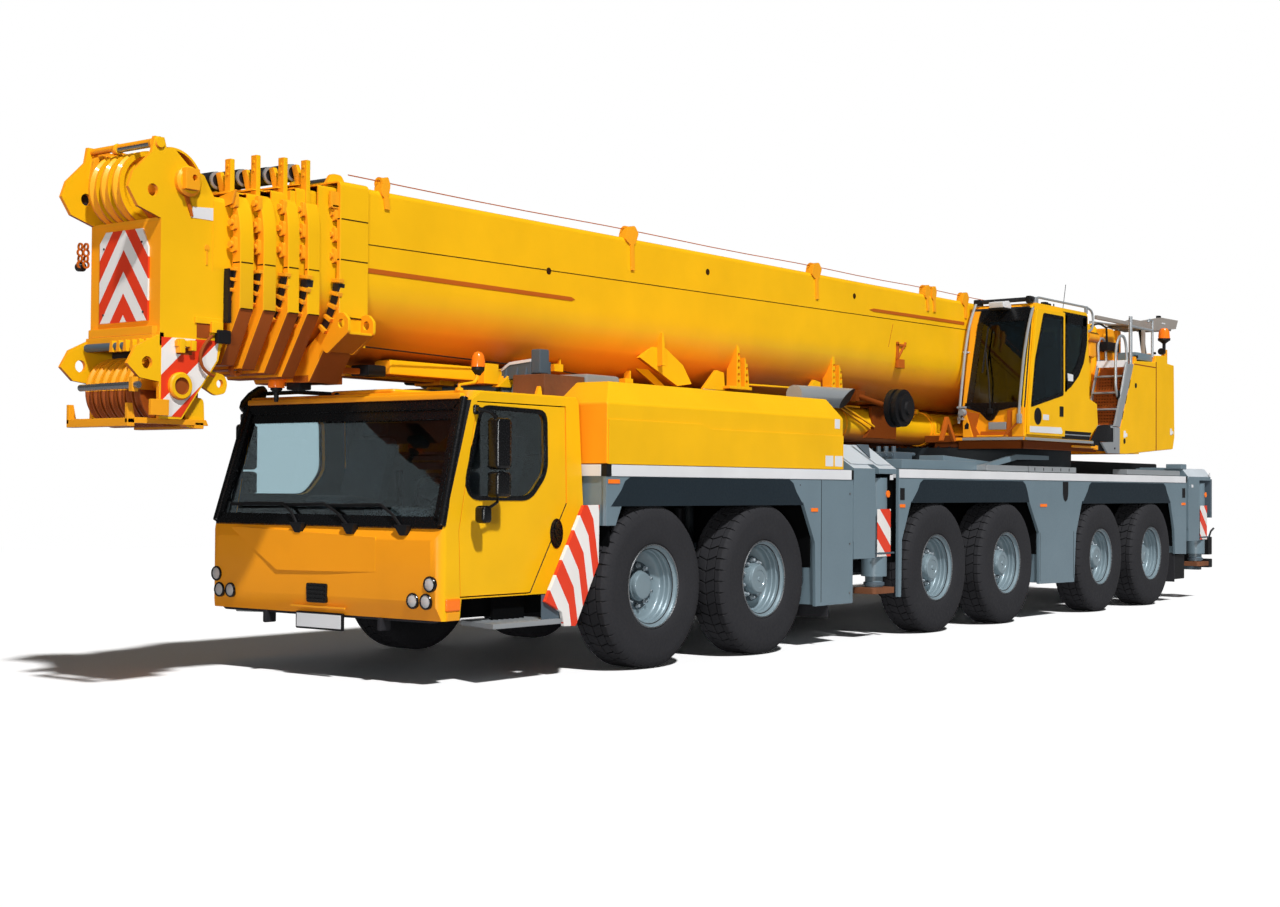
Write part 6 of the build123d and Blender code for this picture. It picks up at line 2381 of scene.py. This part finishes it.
# ---------------------------------------------------------------- crane cab
@dataclass
class CraneCab:
    """Upper cab that tilts back, with its curved glass, sliding door, handrails and roof fittings."""

    body: str = "crane_cab"
    door_body: str = "crane_cab_door"
    inner: float = 0.676
    outer: float = 1.44
    door_faces: Span = (1.447, 1.487)
    door_outline: Outline = ((7.14, 2.125), (7.155, 2.44), (7.31, 3.41), (7.355, 3.59), (8.12, 3.60),
                             (8.12, 2.125))
    door_hole: Outline = ((7.20, 2.475), (7.30, 2.95), (7.50, 3.52), (8.05, 3.545), (8.05, 2.64))
    door_glass: Outline = ((7.172, 2.438), (7.275, 2.98), (7.505, 3.548), (8.062, 3.55), (8.07, 2.612))
    rear_glass: Outline = ((8.145, 2.635), (8.40, 2.735), (8.62, 2.875), (8.77, 3.05), (8.86, 3.28),
                           (8.872, 3.62), (8.145, 3.62))
    screen: Outline = ((7.118, 2.45), (7.276, 3.411), (7.346, 3.588), (7.352, 3.585), (7.284, 3.409),
                       (7.126, 2.45))
    rear_wall: tuple[tuple[float, float], ...] = ((8.944, 2.611), (8.885, 3.62))
    tint: Finish = Finish("dark_tinted_glass", (72, 96, 106), 0.04, specular=0.35, drift=0.0, clear=1.0)

    def build(self) -> None:
        """Shell, windows, door, lower front, rails, roof, inside."""
        shell = cut(softened("crane_cab", 0.012), block((0.5, 1.6), (7.9, 9.3), (3.76, 4.1), 0))
        shell = fit(shell, "crane_cab_shell", self.body, YELLOW, ("crane_cab",))
        repaint(shell, TRIM, lambda middle, normal: 0.70 < middle.x < 1.43 and 7.14 < middle.y < 8.9
                and 2.13 < middle.z < 3.63)
        repaint(shell, PLASTIC, lambda middle, normal: middle.z > 3.664)
        self.windscreen()
        self.windows()
        self.door()
        self.lower_front()
        self.handrails()
        self.roof()
        self.inside()

    def windscreen(self) -> None:
        """Tall bent windscreen with its black rim, pointed foot and wiper."""
        pane = side_sheet((0.72, 1.40), self.screen, 0.002)
        left = front_sheet((7.0, 7.5), ((0.6, 2.4), (0.70, 2.4), (0.80, 3.65), (0.6, 3.65)), 0)
        fit(cut(pane, left), "crane_windscreen", self.body, self.tint, ("crane_cab_glass",))
        band = tuple((back - 0.006 + step, z)
                     for (back, z), step in zip(self.screen, (0, 0, 0, 0.01, 0.01, 0.01)))
        rim = []
        for low, high in (((0.69, 0.777), (0.765, 0.85)), ((1.35, 1.36), (1.385, 1.435))):
            strip = side_sheet((0.6, 1.5), band, 0)
            outside = front_sheet((7.0, 7.5), ((0.5, 2.3), (low[0], 2.3), (low[1], 3.7), (0.5, 3.7)), 0)
            inside = front_sheet((7.0, 7.5), ((high[0], 2.3), (1.6, 2.3), (1.6, 3.7), (high[1], 3.7)), 0)
            rim.append(cut(strip, outside, inside))
        rim.append(side_sheet((0.785, 1.42),
                              ((7.285, 3.45), (7.343, 3.60), (7.36, 3.60), (7.305, 3.45)), 0.002))
        foot = ((0.69, 2.445), (0.885, 2.385), (0.965, 2.305), (0.99, 2.288), (1.03, 2.288), (1.055, 2.305),
                (1.118, 2.402), (1.378, 2.452), (1.38, 2.50), (0.695, 2.50))
        rim.append(front_sheet((7.096, 7.135), foot, 0.004))
        fit(joined(rim), "crane_windscreen_rim", self.body, GLOSS_BLACK)
        pillar = cut(side_sheet((0.65, 0.79), band, 0),
                     front_sheet((7.0, 7.5), ((0.685, 2.3), (1.6, 2.3), (1.6, 3.7), (0.79, 3.7)), 0),
                     front_sheet((7.0, 7.5), ((0.5, 2.3), (0.65, 2.3), (0.685, 3.7), (0.5, 3.7)), 0))
        fit(pillar, "crane_left_pillar", self.body, SHADED_YELLOW)
        corner = rail([at(1.404, *point)
                       for point in ((7.142, 2.11), (7.165, 2.435), (7.318, 3.40), (7.40, 3.61))], 0.0385,
                      0.1, 6)
        fit(corner, "crane_corner_pillar", self.body, YELLOW_EDGE)
        arm = [rail([at(1.02, 7.085, 2.40), at(0.99, 7.11, 2.75), at(0.92, 7.17, 3.1)], 0.009, 0.06, 1),
               rod(at(0.90, 7.128, 2.85), at(0.93, 7.215, 3.38), 0.010, 6),
               block((0.99, 1.05), (7.075, 7.11), (2.37, 2.43))]
        fit(joined(arm), "crane_wiper", self.body, PLASTIC)

    def windows(self) -> None:
        """Curved rear side window, inner side window and rear window."""
        side = self.outer
        fit(side_sheet((side - 0.012, side - 0.002), rounded(self.rear_glass, 0.03), 0),
            "crane_rear_side_glass", self.body, self.tint)
        ring = ring_sheet([at(side - 0.003, *point) for point in rounded(self.rear_glass, 0.03)],
                          Vector((0.006, 0, 0)), 0.13, 0)
        fit(ring, "crane_rear_side_rim", self.body, GLOSS_BLACK)
        label = side_sheet((side - 0.001, side + 0.0035),
                           ((8.30, 2.80), (8.45, 2.80), (8.45, 2.88), (8.30, 2.89)), 0)
        fit(label, "crane_window_label", self.body, WHITE)
        hole = ((7.46, 2.61), (8.74, 2.61), (8.74, 3.54), (7.46, 3.54))
        fit(side_sheet((self.inner + 0.004, self.inner + 0.012), hole, 0), "crane_inner_glass", self.body,
            self.tint)
        seal = ring_sheet([at(self.inner - 0.004, *point) for point in rounded(hole, 0.05)],
                          Vector((0.012, 0, 0)), 0.05)
        fit(seal, "crane_inner_seal", self.body, GLOSS_BLACK)
        back = ((0.73, 2.72), (1.386, 2.72), (1.386, 3.53), (0.73, 3.53))
        glass = sheet([self.on_rear_wall(x, z, -0.008) for x, z in back], Vector((0, 0.006, 0)), 0)
        fit(glass, "crane_rear_glass", self.body, self.tint)
        seal = ring_sheet([self.on_rear_wall(x, z, -0.003) for x, z in rounded(back, 0.05)],
                          Vector((0, 0.012, 0)), 0.05)
        fit(seal, "crane_rear_seal", self.body, GLOSS_BLACK)

    def on_rear_wall(self, x: float, z: float, out: float) -> Vector:
        """Point on the cab's leaning rear wall.

        Args:
            x: its X.
            z: its height.
            out: how far it is behind the wall.

        Returns:
            The point.
        """
        low, high = self.rear_wall
        return at(x, low[0] + (z - low[1]) * (high[0] - low[0]) / (high[1] - low[1]) + out, z)

    def door(self) -> None:
        """Sliding door with its window, vent, blank plates and rail."""
        near, far = self.door_faces
        panel = cut(side_sheet(self.door_faces, self.door_outline, 0.006),
                    side_sheet((near - 0.02, far + 0.02), self.door_hole, 0))
        fit(panel, "crane_door_panel", self.door_body, YELLOW_EDGE, ("crane_cab_door",))
        rim = ring_sheet([at(far - 0.006, *point) for point in rounded(self.door_glass, 0.03)],
                         Vector((0.009, 0, 0)), 0.042, 0.002)
        fit(rim, "crane_door_rim", self.door_body, GLOSS_BLACK)
        pane = side_sheet((far - 0.010, far - 0.004), rounded(self.door_hole, 0.03), 0)
        fit(pane, "crane_door_glass", self.door_body, self.tint)
        vent = turned(((-0.004, 0), (-0.004, 0.098), (0.004, 0.098), (0.007, 0.09), (0.007, 0.07),
                       (0.002, 0.06), (0.005, 0.02), (0.005, 0)), at(far, 7.36, 2.342), Along.X, 28)
        slats = [block((far, far + 0.006), (7.30, 7.42), (z, z + 0.012), 0) for z in (2.30, 2.335, 2.37)]
        fit(joined([vent, *slats]), "crane_door_vent", self.door_body, PLASTIC)
        plates = [side_sheet((far - 0.002, far + 0.003), outline, 0) for outline in (
            ((7.50, 2.305), (7.66, 2.305), (7.66, 2.368), (7.50, 2.368)),
            ((7.15, 2.152), (8.02, 2.154), (8.045, 2.18), (8.0, 2.232), (7.15, 2.222)))]
        fit(joined(plates), "crane_door_blank_plates", self.door_body, WHITE)
        grip = block((far - 0.002, far + 0.008), (7.96, 8.06), (2.36, 2.48), 0.004)
        fit(grip, "crane_door_handle", self.door_body, PLASTIC)
        side = self.outer
        track = side_sheet((side - 0.004, side + 0.003),
                           ((8.14, 2.104), (8.93, 2.104), (9.0, 2.20), (8.14, 2.20)), 0)
        fit(track, "crane_door_track", self.body, PLASTIC)
        fit(block((side, side + 0.006), (8.14, 8.96), (2.15, 2.162), 0), "crane_door_rail", self.body, SILVER)

    def lower_front(self) -> None:
        """Folded panels under the windscreen with a hole, a blank plate and a brace."""
        left = front_sheet((7.07, 7.105), ((0.68, 2.10), (0.81, 2.10), (0.71, 2.405), (0.68, 2.43)), 0.005)
        right = front_sheet((7.075, 7.105),
                            ((1.30, 2.10), (1.44, 2.10), (1.44, 2.44), (1.36, 2.43), (1.30, 2.40)), 0.005)
        shelf = block((0.86, 1.25), (7.06, 7.105), (2.10, 2.12))
        fit(joined([left, right, shelf]), "crane_front_panels", self.body, SHADED_YELLOW)
        facet = front_sheet((7.085, 7.105),
                            ((0.815, 2.10), (0.90, 2.10), (0.835, 2.21), (0.88, 2.37), (0.715, 2.405)), 0)
        brace = rail([at(1.215, 7.05, 2.115), at(1.38, 7.05, 2.26)], 0.012, 0)
        band = [front_sheet((7.09, 7.105), ((1.225, 2.10), (1.295, 2.10), (1.295, 2.41), (1.235, 2.41)), 0),
                block((0.90, 1.215), (7.085, 7.105), (2.122, 2.165), 0.002)]
        fit(joined([facet, *band]), "crane_front_recess", self.body, AMBER_SHADE)
        fit(brace, "crane_front_brace", self.body, AMBER_SHADE)
        hole = sheet([at(x, 7.069, z)
                      for x, z in ((0.705, 2.195), (0.755, 2.195), (0.76, 2.25), (0.735, 2.275),
                                   (0.705, 2.235))], Vector((0, 0.006, 0)), 0)
        fit(hole, "crane_front_hole", self.body, PLASTIC)
        fit(block((1.003, 1.219), (7.08, 7.105), (2.185, 2.27), 0.004),
            "crane_front_blank_plate", self.body, SILVER)

    def handrails(self) -> None:
        """Tubes up the front edges with their clamps and lamp, and the guard rail along the roof."""
        tube = 0.017
        left = rail([at(*point)
                     for point in ((0.64, 7.05, 2.26), (0.64, 7.07, 2.45), (0.655, 7.17, 3.1),
                                   (0.67, 7.255, 3.45), (0.71, 7.34, 3.675))], tube, 0.12)
        right = rail([at(*point)
                      for point in ((1.40, 7.04, 2.25), (1.395, 7.065, 2.45), (1.41, 7.15, 3.04),
                                    (1.432, 7.23, 3.40), (1.45, 7.30, 3.59))], tube, 0.12)
        guard = rail([at(1.4, *point)
                      for point in ((7.44, 3.69), (7.52, 3.735), (8.955, 3.736), (9.12, 3.70), (9.149, 3.525),
                                    (9.075, 3.455), (8.92, 3.44))], 0.014, 0.06)
        clamps = [block((0.618, 0.73), (7.035, 7.075), (2.435, 2.46), 0.004),
                  block((0.625, 0.70), (7.03, 7.08), (2.30, 2.33), 0.004),
                  block((1.38, 1.425), (7.02, 7.085), (2.25, 2.36), 0.008),
                  block((1.37, 1.43), (7.42, 7.50), (3.655, 3.73), 0.008),
                  block((1.385, 1.415), (8.90, 8.95), (3.655, 3.75), 0.006)]
        clamps += [rod(at(0.632, 7.16, 3.1), at(0.70, 7.24, 3.1), 0.01, 8),
                   rod(at(0.70, 7.34, 3.66), at(0.74, 7.42, 3.66), 0.012, 8),
                   rod(at(1.45, 7.30, 3.575), at(1.42, 7.36, 3.575), 0.012, 8)]
        fit(joined([left, right, guard, *clamps]), "crane_handrails", self.body, SILVER)
        lamp = turned(((-0.03, 0), (-0.03, 0.03), (-0.005, 0.042), (0.02, 0.042), (0.02, 0)),
                      at(0.70, 7.03, 2.385), Along.Y, 24)
        fit(lamp, "crane_low_lamp", self.body, SILVER)

    def roof(self) -> None:
        """Bar over the windscreen with its clamps, visor lamp, hinge blocks and roof hatch."""
        fit(rod(at(0.70, 7.40, 3.70), at(1.42, 7.39, 3.705), 0.026, 16), "crane_roof_bar", self.body, STEEL)
        fit(rod(at(1.3, 8.463, 3.66), at(1.3, 8.551, 3.985), 0.004, 8, 0), "crane_antenna", self.body, STEEL)
        clamps = [block((0.67, 0.75), (7.35, 7.46), (3.655, 3.73), 0.01),
                  block((1.34, 1.40), (7.34, 7.45), (3.655, 3.74), 0.01),
                  block((1.35, 1.42), (7.72, 7.80), (3.655, 3.70), 0.01),
                  block((1.36, 1.40), (7.86, 7.92), (3.655, 3.695), 0.008)]
        fit(joined(clamps), "crane_roof_clamps", self.body, PLASTIC)
        case = side_sheet((0.97, 1.155),
                          ((7.15, 3.60), (7.13, 3.665), (7.30, 3.69), (7.36, 3.655), (7.36, 3.60)), 0.012)
        fit(case, "crane_visor_lamp", self.body, WHITE)
        dark = [side_sheet((0.96, 1.145),
                           ((7.17, 3.575), (7.155, 3.602), (7.36, 3.602), (7.36, 3.585)), 0.004),
                deck_sheet((3.655, 3.672),
                           rounded(((0.78, 7.75), (1.34, 7.75), (1.34, 8.55), (0.78, 8.55)), 0.08), 0.004)]
        fit(joined(dark), "crane_roof_dark_parts", self.body, PLASTIC)

    def inside(self) -> None:
        """Seat with armrests, levers, screens and a footboard."""
        seat = [block((0.82, 1.30), (7.95, 8.40), (2.46, 2.58), 0.04),
                side_sheet((0.84, 1.28), ((8.30, 2.50), (8.42, 3.22), (8.53, 3.20), (8.44, 2.50)), 0.03),
                side_sheet((0.95, 1.17), ((8.42, 3.24), (8.46, 3.42), (8.54, 3.40), (8.52, 3.22)), 0.025)]
        fit(joined(seat), "crane_seat", self.body, CLOTH)
        trim = [block((0.9, 1.22), (8.0, 8.35), (2.15, 2.46), 0.02),
                block((0.76, 0.88), (7.85, 8.4), (2.55, 2.70), 0.02),
                block((1.24, 1.37), (7.85, 8.4), (2.55, 2.70), 0.02),
                block((1.26, 1.38), (7.35, 7.40), (2.75, 3.0), 0.012),
                block((0.75, 0.98), (7.36, 7.42), (2.62, 2.86), 0.012),
                block((0.85, 1.25), (7.25, 7.65), (2.15, 2.2), 0.01)]
        trim += [rail([at(x, 7.95, 2.70), at(x, 7.93, 2.84), at(x - 0.02, 7.95, 2.9)], 0.016, 0.03)
                 for x in (0.82, 1.305)]
        trim += [rod(at(1.32, 7.38, 2.2), at(1.32, 7.38, 2.78), 0.018, 10),
                 rod(at(0.86, 7.39, 2.2), at(0.86, 7.39, 2.64), 0.018, 10)]
        fit(joined(trim), "crane_controls", self.body, TRIM)


# ---------------------------------------------------------------- machinery
@dataclass
class Machinery:
    """Boxes beside the boom's foot with the ladder, rails, folded platform and beacon."""

    body: str = "superstructure"
    side: float = 1.48
    inner: float = 0.67
    box: Outline = ((9.756, 1.954), (9.80, 2.24), (10.262, 3.118), (10.298, 3.16), (10.99, 3.186),
                    (11.0, 3.272), (11.40, 3.292), (11.436, 3.192), (11.664, 3.18), (11.69, 2.21),
                    (11.628, 2.052), (10.99, 2.014), (10.0, 1.953))
    right_box: Outline = ((7.6, 2.1), (7.6, 2.86), (7.65, 2.90), (10.0, 2.90), (10.25, 3.18), (11.66, 3.2),
                          (11.69, 2.2), (11.6, 2.1))
    steps: tuple[tuple[float, float], ...] = ((10.02, 2.96), (9.91, 2.745), (9.80, 2.53), (9.70, 2.315))
    ladder: Span = (1.075, 1.455)

    def build(self) -> None:
        """Boxes, ladder, handrails, units behind the ladder, platform, beacon."""
        self.boxes()
        self.climb()
        self.handrails()
        self.units()
        self.platform()
        self.beacon()

    def boxes(self) -> None:
        """Left and right boxes with their seams, locks and hinges."""
        left = side_sheet((self.inner + 0.004, self.side), self.box, 0.012)
        right = side_sheet((-self.side, -self.inner - 0.004), self.right_box, 0.012)
        fit(joined([left, right]), "machinery_housings", self.body, YELLOW,
            ("machinery_boxes",))
        far = self.side + 0.001
        seams = [side_sheet((far - 0.01, far), outline, 0) for outline in (
            ((10.27, 3.109), (11.02, 3.105), (11.02, 3.120), (10.27, 3.124)),
            ((11.006, 2.02), (11.036, 2.02), (11.036, 3.19), (11.006, 3.19)))]
        seams += [side_sheet((-far, -far + 0.01), outline, 0)
                  for outline in (((8.8, 2.14), (8.81, 2.14), (8.81, 2.86), (8.8, 2.86)),
                                  ((10.0, 2.14), (10.01, 2.14), (10.01, 2.88), (10.0, 2.88)),
                                  ((10.95, 2.14), (10.96, 2.14), (10.96, 3.17), (10.95, 3.17)))]
        fit(joined(seams), "machinery_seams", self.body, BROWN_AND_PAINTED_SHADE)
        marks = [turned(((0, 0), (0, 0.033), (0.004, 0.033), (0.004, 0)), at(self.side, back, z), Along.X, 16)
                 for back, z in ((10.318, 2.843), (9.945, 2.118))]
        louvres = rowed(block((-self.side - 0.006, -self.side), (8.0, 8.6), (2.3, 2.318), 0.002),
                        Vector((0, 0, 0.045)), 10)
        marks += [louvres, block((-self.side - 0.006, -self.side), (9.85, 9.93), (2.45, 2.57), 0.004),
                  block((-self.side - 0.006, -self.side), (10.8, 10.88), (2.6, 2.72), 0.004)]
        fit(joined(marks), "machinery_locks", self.body, PLASTIC)
        hinges = []
        for back, z in ((9.965, 2.206), (11.56, 2.282)):
            hinges += [block((self.side, self.side + 0.005), (back - 0.045, back + 0.02),
                             (z - 0.045, z + 0.045), 0.003),
                       block((self.side, self.side + 0.009), (back + 0.005, back + 0.06),
                             (z - 0.03, z + 0.012), 0.003)]
        fit(joined(hinges), "machinery_hinges", self.body, WHITE)
        top = block((1.18, 1.44), (10.44, 11.0), (3.188, 3.285), 0.012)
        fit(top, "machinery_top_case", self.body, GREY)
        bits = [block((1.3, 1.42), (10.96, 11.05), (3.19, 3.30)),
                block((1.40, 1.45), (10.36, 10.43), (3.15, 3.22))]
        fit(joined(bits), "machinery_top_bits", self.body, SHADED_YELLOW)

    def climb(self) -> None:
        """Ladder with two stiles, silver treads and brown plates behind them."""
        low, high = self.ladder
        stile = ((10.055, 3.105), (10.25, 3.112), (9.80, 2.292), (9.632, 2.30))
        silver = [side_sheet((high, high + 0.028), stile, 0.003),
                  side_sheet((low - 0.02, low),
                             ((10.06, 3.10), (10.13, 3.10), (9.93, 2.72), (9.93, 2.64), (9.86, 2.64)), 0.003)]
        for back, z in self.steps:
            silver.append(block((low, high), (back - 0.06, back + 0.1), (z - 0.022, z), 0.004))
        silver.append(block((low, high), (9.58, 9.66), (2.275, 2.30), 0.003))
        strip = sheet([at(low - 0.02, 10.06, 3.07), at(high, 10.06, 3.07), at(high, 10.08, 3.16),
                       at(low - 0.02, 10.08, 3.16)], Vector((0, 0.012, 0)), 0)
        slots = rowed(side_sheet((high + 0.028, high + 0.030),
                                 ((9.85, 2.39), (9.90, 2.50), (9.915, 2.50), (9.865, 2.39)), 0),
                      Vector((0, 0.112, 0.205)), 3)
        fit(joined(silver), "ladder_steps", self.body, SILVER)
        fit(strip, "ladder_blank_strip", self.body, WHITE)
        plates = []
        for back, z in self.steps:
            plates.append(sheet([at(low, back + 0.10, z), at(high, back + 0.10, z),
                                 at(high, back + 0.13, z + 0.19), at(low, back + 0.13, z + 0.19)],
                                Vector((0, 0.008, 0)), 0))
        plates.append(side_sheet((low - 0.03, low + 0.4),
                                 ((9.86, 2.3), (10.25, 3.0), (10.29, 3.0), (9.9, 2.3)), 0))
        fit(joined(plates), "ladder_back_plates", self.body, BROWN_AND_PAINTED_SHADE)
        pits = []
        for back, z in self.steps[1:]:
            pits.append(rowed(block((low + 0.04, low + 0.052), (back + 0.095, back + 0.12),
                                    (z + 0.04, z + 0.052), 0), Vector((0.038, 0, 0)), 9))
        holes = rowed(joined(pits), Vector((0, 0.006, 0.04)), 4)
        fit(joined([holes, slots]), "ladder_holes", self.body, SEAM)

    def handrails(self) -> None:
        """Bent grab rails beside the ladder and the posts on the box."""
        x = 1.44
        loop = rail([at(x, *point)
                     for point in ((9.935, 2.60), (9.80, 2.70), (9.758, 2.80), (9.756, 3.22), (9.80, 3.36),
                                   (9.885, 3.457), (10.02, 3.46), (10.09, 3.37), (10.13, 3.10))], 0.018, 0.05)
        second = rail([at(x + 0.03, *point)
                       for point in ((9.83, 2.62), (9.84, 2.70), (10.02, 3.11), (10.05, 3.12))], 0.015, 0.03)
        far_loop = rail([at(1.06, *point)
                         for point in ((10.13, 3.10), (10.1, 3.37), (10.16, 3.46), (10.3, 3.46), (10.36, 3.3),
                                       (10.36, 3.12))], 0.018, 0.05)
        post = rod(at(x, 10.243, 3.05), at(x, 10.243, 3.73), 0.024, 16)
        rear = rail([at(x, *point)
                     for point in ((10.985, 3.25), (10.985, 3.73), (10.85, 3.735), (10.84, 3.70))], 0.018,
                    0.05)
        cross = rod(at(x, 10.243, 3.605), at(x, 10.985, 3.60), 0.018, 14)
        inner = [rail([at(0.85, *point)
                       for point in ((10.35, 3.15), (10.35, 3.70), (11.3, 3.72), (11.3, 3.25))], 0.016, 0.06),
                 rod(at(0.85, 10.35, 3.45), at(0.85, 11.3, 3.45), 0.014, 12)]
        fit(joined([loop, second, far_loop, post, rear, cross, *inner]), "superstructure_rails", self.body,
            SILVER)
        clasp = [rail([at(x + 0.01, *point) for point in ((9.80, 2.75), (9.84, 2.66), (9.95, 2.60))], 0.026,
                      0.03),
                 block((x - 0.03, x + 0.03), (10.41, 10.43), (3.20, 3.24)),
                 block((x - 0.02, x + 0.03), (11.0, 11.05), (3.29, 3.32))]
        fit(joined(clasp), "superstructure_rail_feet", self.body, PLASTIC)

    def units(self) -> None:
        """Casings, hoses and a black box between the cab and the boom's foot."""
        cases = [block((0.70, 0.98), (9.62, 9.86), (2.4, 3.62), 0.03),
                 block((0.70, 0.9), (10.86, 11.06), (3.19, 3.6), 0.03),
                 block((0.72, 0.98), (9.90, 10.12), (2.5, 3.64), 0.05),
                 turned(((2.6, 0), (2.6, 0.1), (3.6, 0.1), (3.66, 0.06), (3.66, 0)), at(0.86, 10.28, 0),
                        Along.Z, 28)]
        fit(joined(cases), "superstructure_units", self.body, YELLOW)
        warm = [block((0.75, 1.02), (10.5, 10.75), (3.2, 3.62), 0.03),
                block((0.72, 0.92), (11.1, 11.22), (3.19, 3.64), 0.02),
                block((0.75, 0.95), (10.8, 11.0), (3.19, 3.5), 0.03),
                block((0.80, 1.06), (9.64, 9.84), (2.95, 3.30), 0.03),
                block((0.84, 1.05), (9.88, 10.10), (3.2, 3.5), 0.04),
                turned(((0, 0), (0, 0.07), (0.32, 0.07), (0.36, 0.04), (0.36, 0)), at(1.02, 9.78, 3.46),
                       Along.Y, 24),
                rail([at(1.0, 10.45, 3.2), at(1.0, 10.45, 3.5), at(0.9, 10.7, 3.62), at(0.8, 10.9, 3.5)],
                     0.025, 0.1)]
        fit(joined(warm), "superstructure_pipes", self.body, SHADED_YELLOW)
        fit(block((0.98, 1.14), (10.25, 10.62), (3.30, 3.42), 0.012),
            "superstructure_black_box", self.body, PLASTIC)
        hose = [rail([at(1.1, 10.3, 3.36), at(1.1, 10.28, 3.6), at(1.05, 10.15, 3.66), at(0.95, 10.05, 3.6)],
                     0.014, 0.06),
                rail([at(1.02, 9.66, 2.32), at(1.0, 9.66, 2.55), at(0.85, 9.68, 2.7)], 0.02, 0.08)]
        fit(joined(hose), "superstructure_hoses", self.body, PLASTIC)
        wall = block((0.68, 1.42), (9.95, 10.3), (2.1, 2.55), 0.01)
        fit(wall, "superstructure_bulkhead", self.body, SHADE_BROWN)

    def platform(self) -> None:
        """Grey service platform folded up beside the boom, on its beam and struts."""
        beam = block((1.17, 1.21), (9.72, 11.1), (3.665, 3.715), 0.008)
        skin = side_sheet((1.19, 1.205),
                          ((11.0, 3.68), (11.15, 3.755), (11.9, 3.862), (12.55, 3.87), (12.47, 3.745),
                           (11.7, 3.662)), 0.004)
        floor = sheet([at(0.78, 11.0, 3.70), at(1.2, 11.0, 3.70), at(1.2, 12.45, 3.76),
                       at(0.78, 12.45, 3.78)], Vector((0, 0, 0.02)), 0.003)
        far = side_sheet((0.77, 0.785),
                         ((11.0, 3.68), (11.9, 3.862), (12.5, 3.87), (12.42, 3.745), (11.7, 3.662)), 0.004)
        props = [block((1.17, 1.21), (11.28, 11.34), (3.28, 3.70), 0.006),
                 block((0.80, 0.84), (11.28, 11.34), (3.19, 3.72), 0.006)]
        ribs = rowed(block((0.79, 1.19), (11.2, 11.225), (3.665, 3.70), 0.003), Vector((0, 0.22, 0.008)), 6)
        fit(joined([beam, skin, floor, far, *props, ribs]), "service_platform", self.body, PLATFORM)
        patch = side_sheet((1.204, 1.208), ((11.93, 3.775), (12.06, 3.78), (12.05, 3.795), (11.95, 3.793)), 0)
        fit(patch, "service_platform_plate", self.body, WHITE)
        knobs = [block((1.15, 1.2), (11.86, 11.93), (3.85, 3.885)),
                 rod(at(1.15, 11.45, 3.3), at(1.1, 11.45, 3.66), 0.035, 14)]
        fit(joined(knobs), "service_platform_knobs", self.body, PLASTIC)

    def beacon(self) -> None:
        """Orange warning lamp on its stem and bracket at the box's rear."""
        x, back, foot = 1.38, 11.56, 3.33
        dome = turned(((0.21, 0), (0.21, 0.078), (0.30, 0.07), (0.345, 0.045), (0.352, 0)), at(x, back, foot),
                      Along.Z, 28)
        fit(dome, "upper_beacon", self.body, ORANGE_LENS)
        stem = turned(((0.05, 0), (0.05, 0.022), (0.14, 0.022), (0.16, 0.045), (0.185, 0.082), (0.21, 0.084),
                       (0.21, 0)), at(x, back, foot), Along.Z, 28)
        plug = turned(((-0.06, 0), (-0.06, 0.045), (0.0, 0.045), (0.0, 0)),
                      at(x, back - 0.05, foot + 0.03), Along.Y, 20)
        fit(joined([stem, plug]), "upper_beacon_stem", self.body, PLASTIC)
        bracket = [block((x - 0.03, x + 0.03), (back - 0.03, back + 0.05), (3.18, foot + 0.06), 0.008),
                   block((x - 0.05, x + 0.03), (back - 0.12, back + 0.06), (3.18, 3.20), 0.004)]
        fit(joined(bracket), "upper_beacon_bracket", self.body, SHADED_YELLOW)


# ---------------------------------------------------------------- whole machine
def main() -> None:
    """Build the sub-assemblies in order."""
    logging.basicConfig(level=logging.INFO, format="%(message)s")
    for assembly in (Studio(), Wheels(), CarrierCab(), Boom(), BoomHead(), EngineCover(), Fenders(),
                     Outriggers(), Chassis(), Turntable(), CraneCab(), Machinery()):
        assembly.build()


if __name__ == "__main__":
    main()
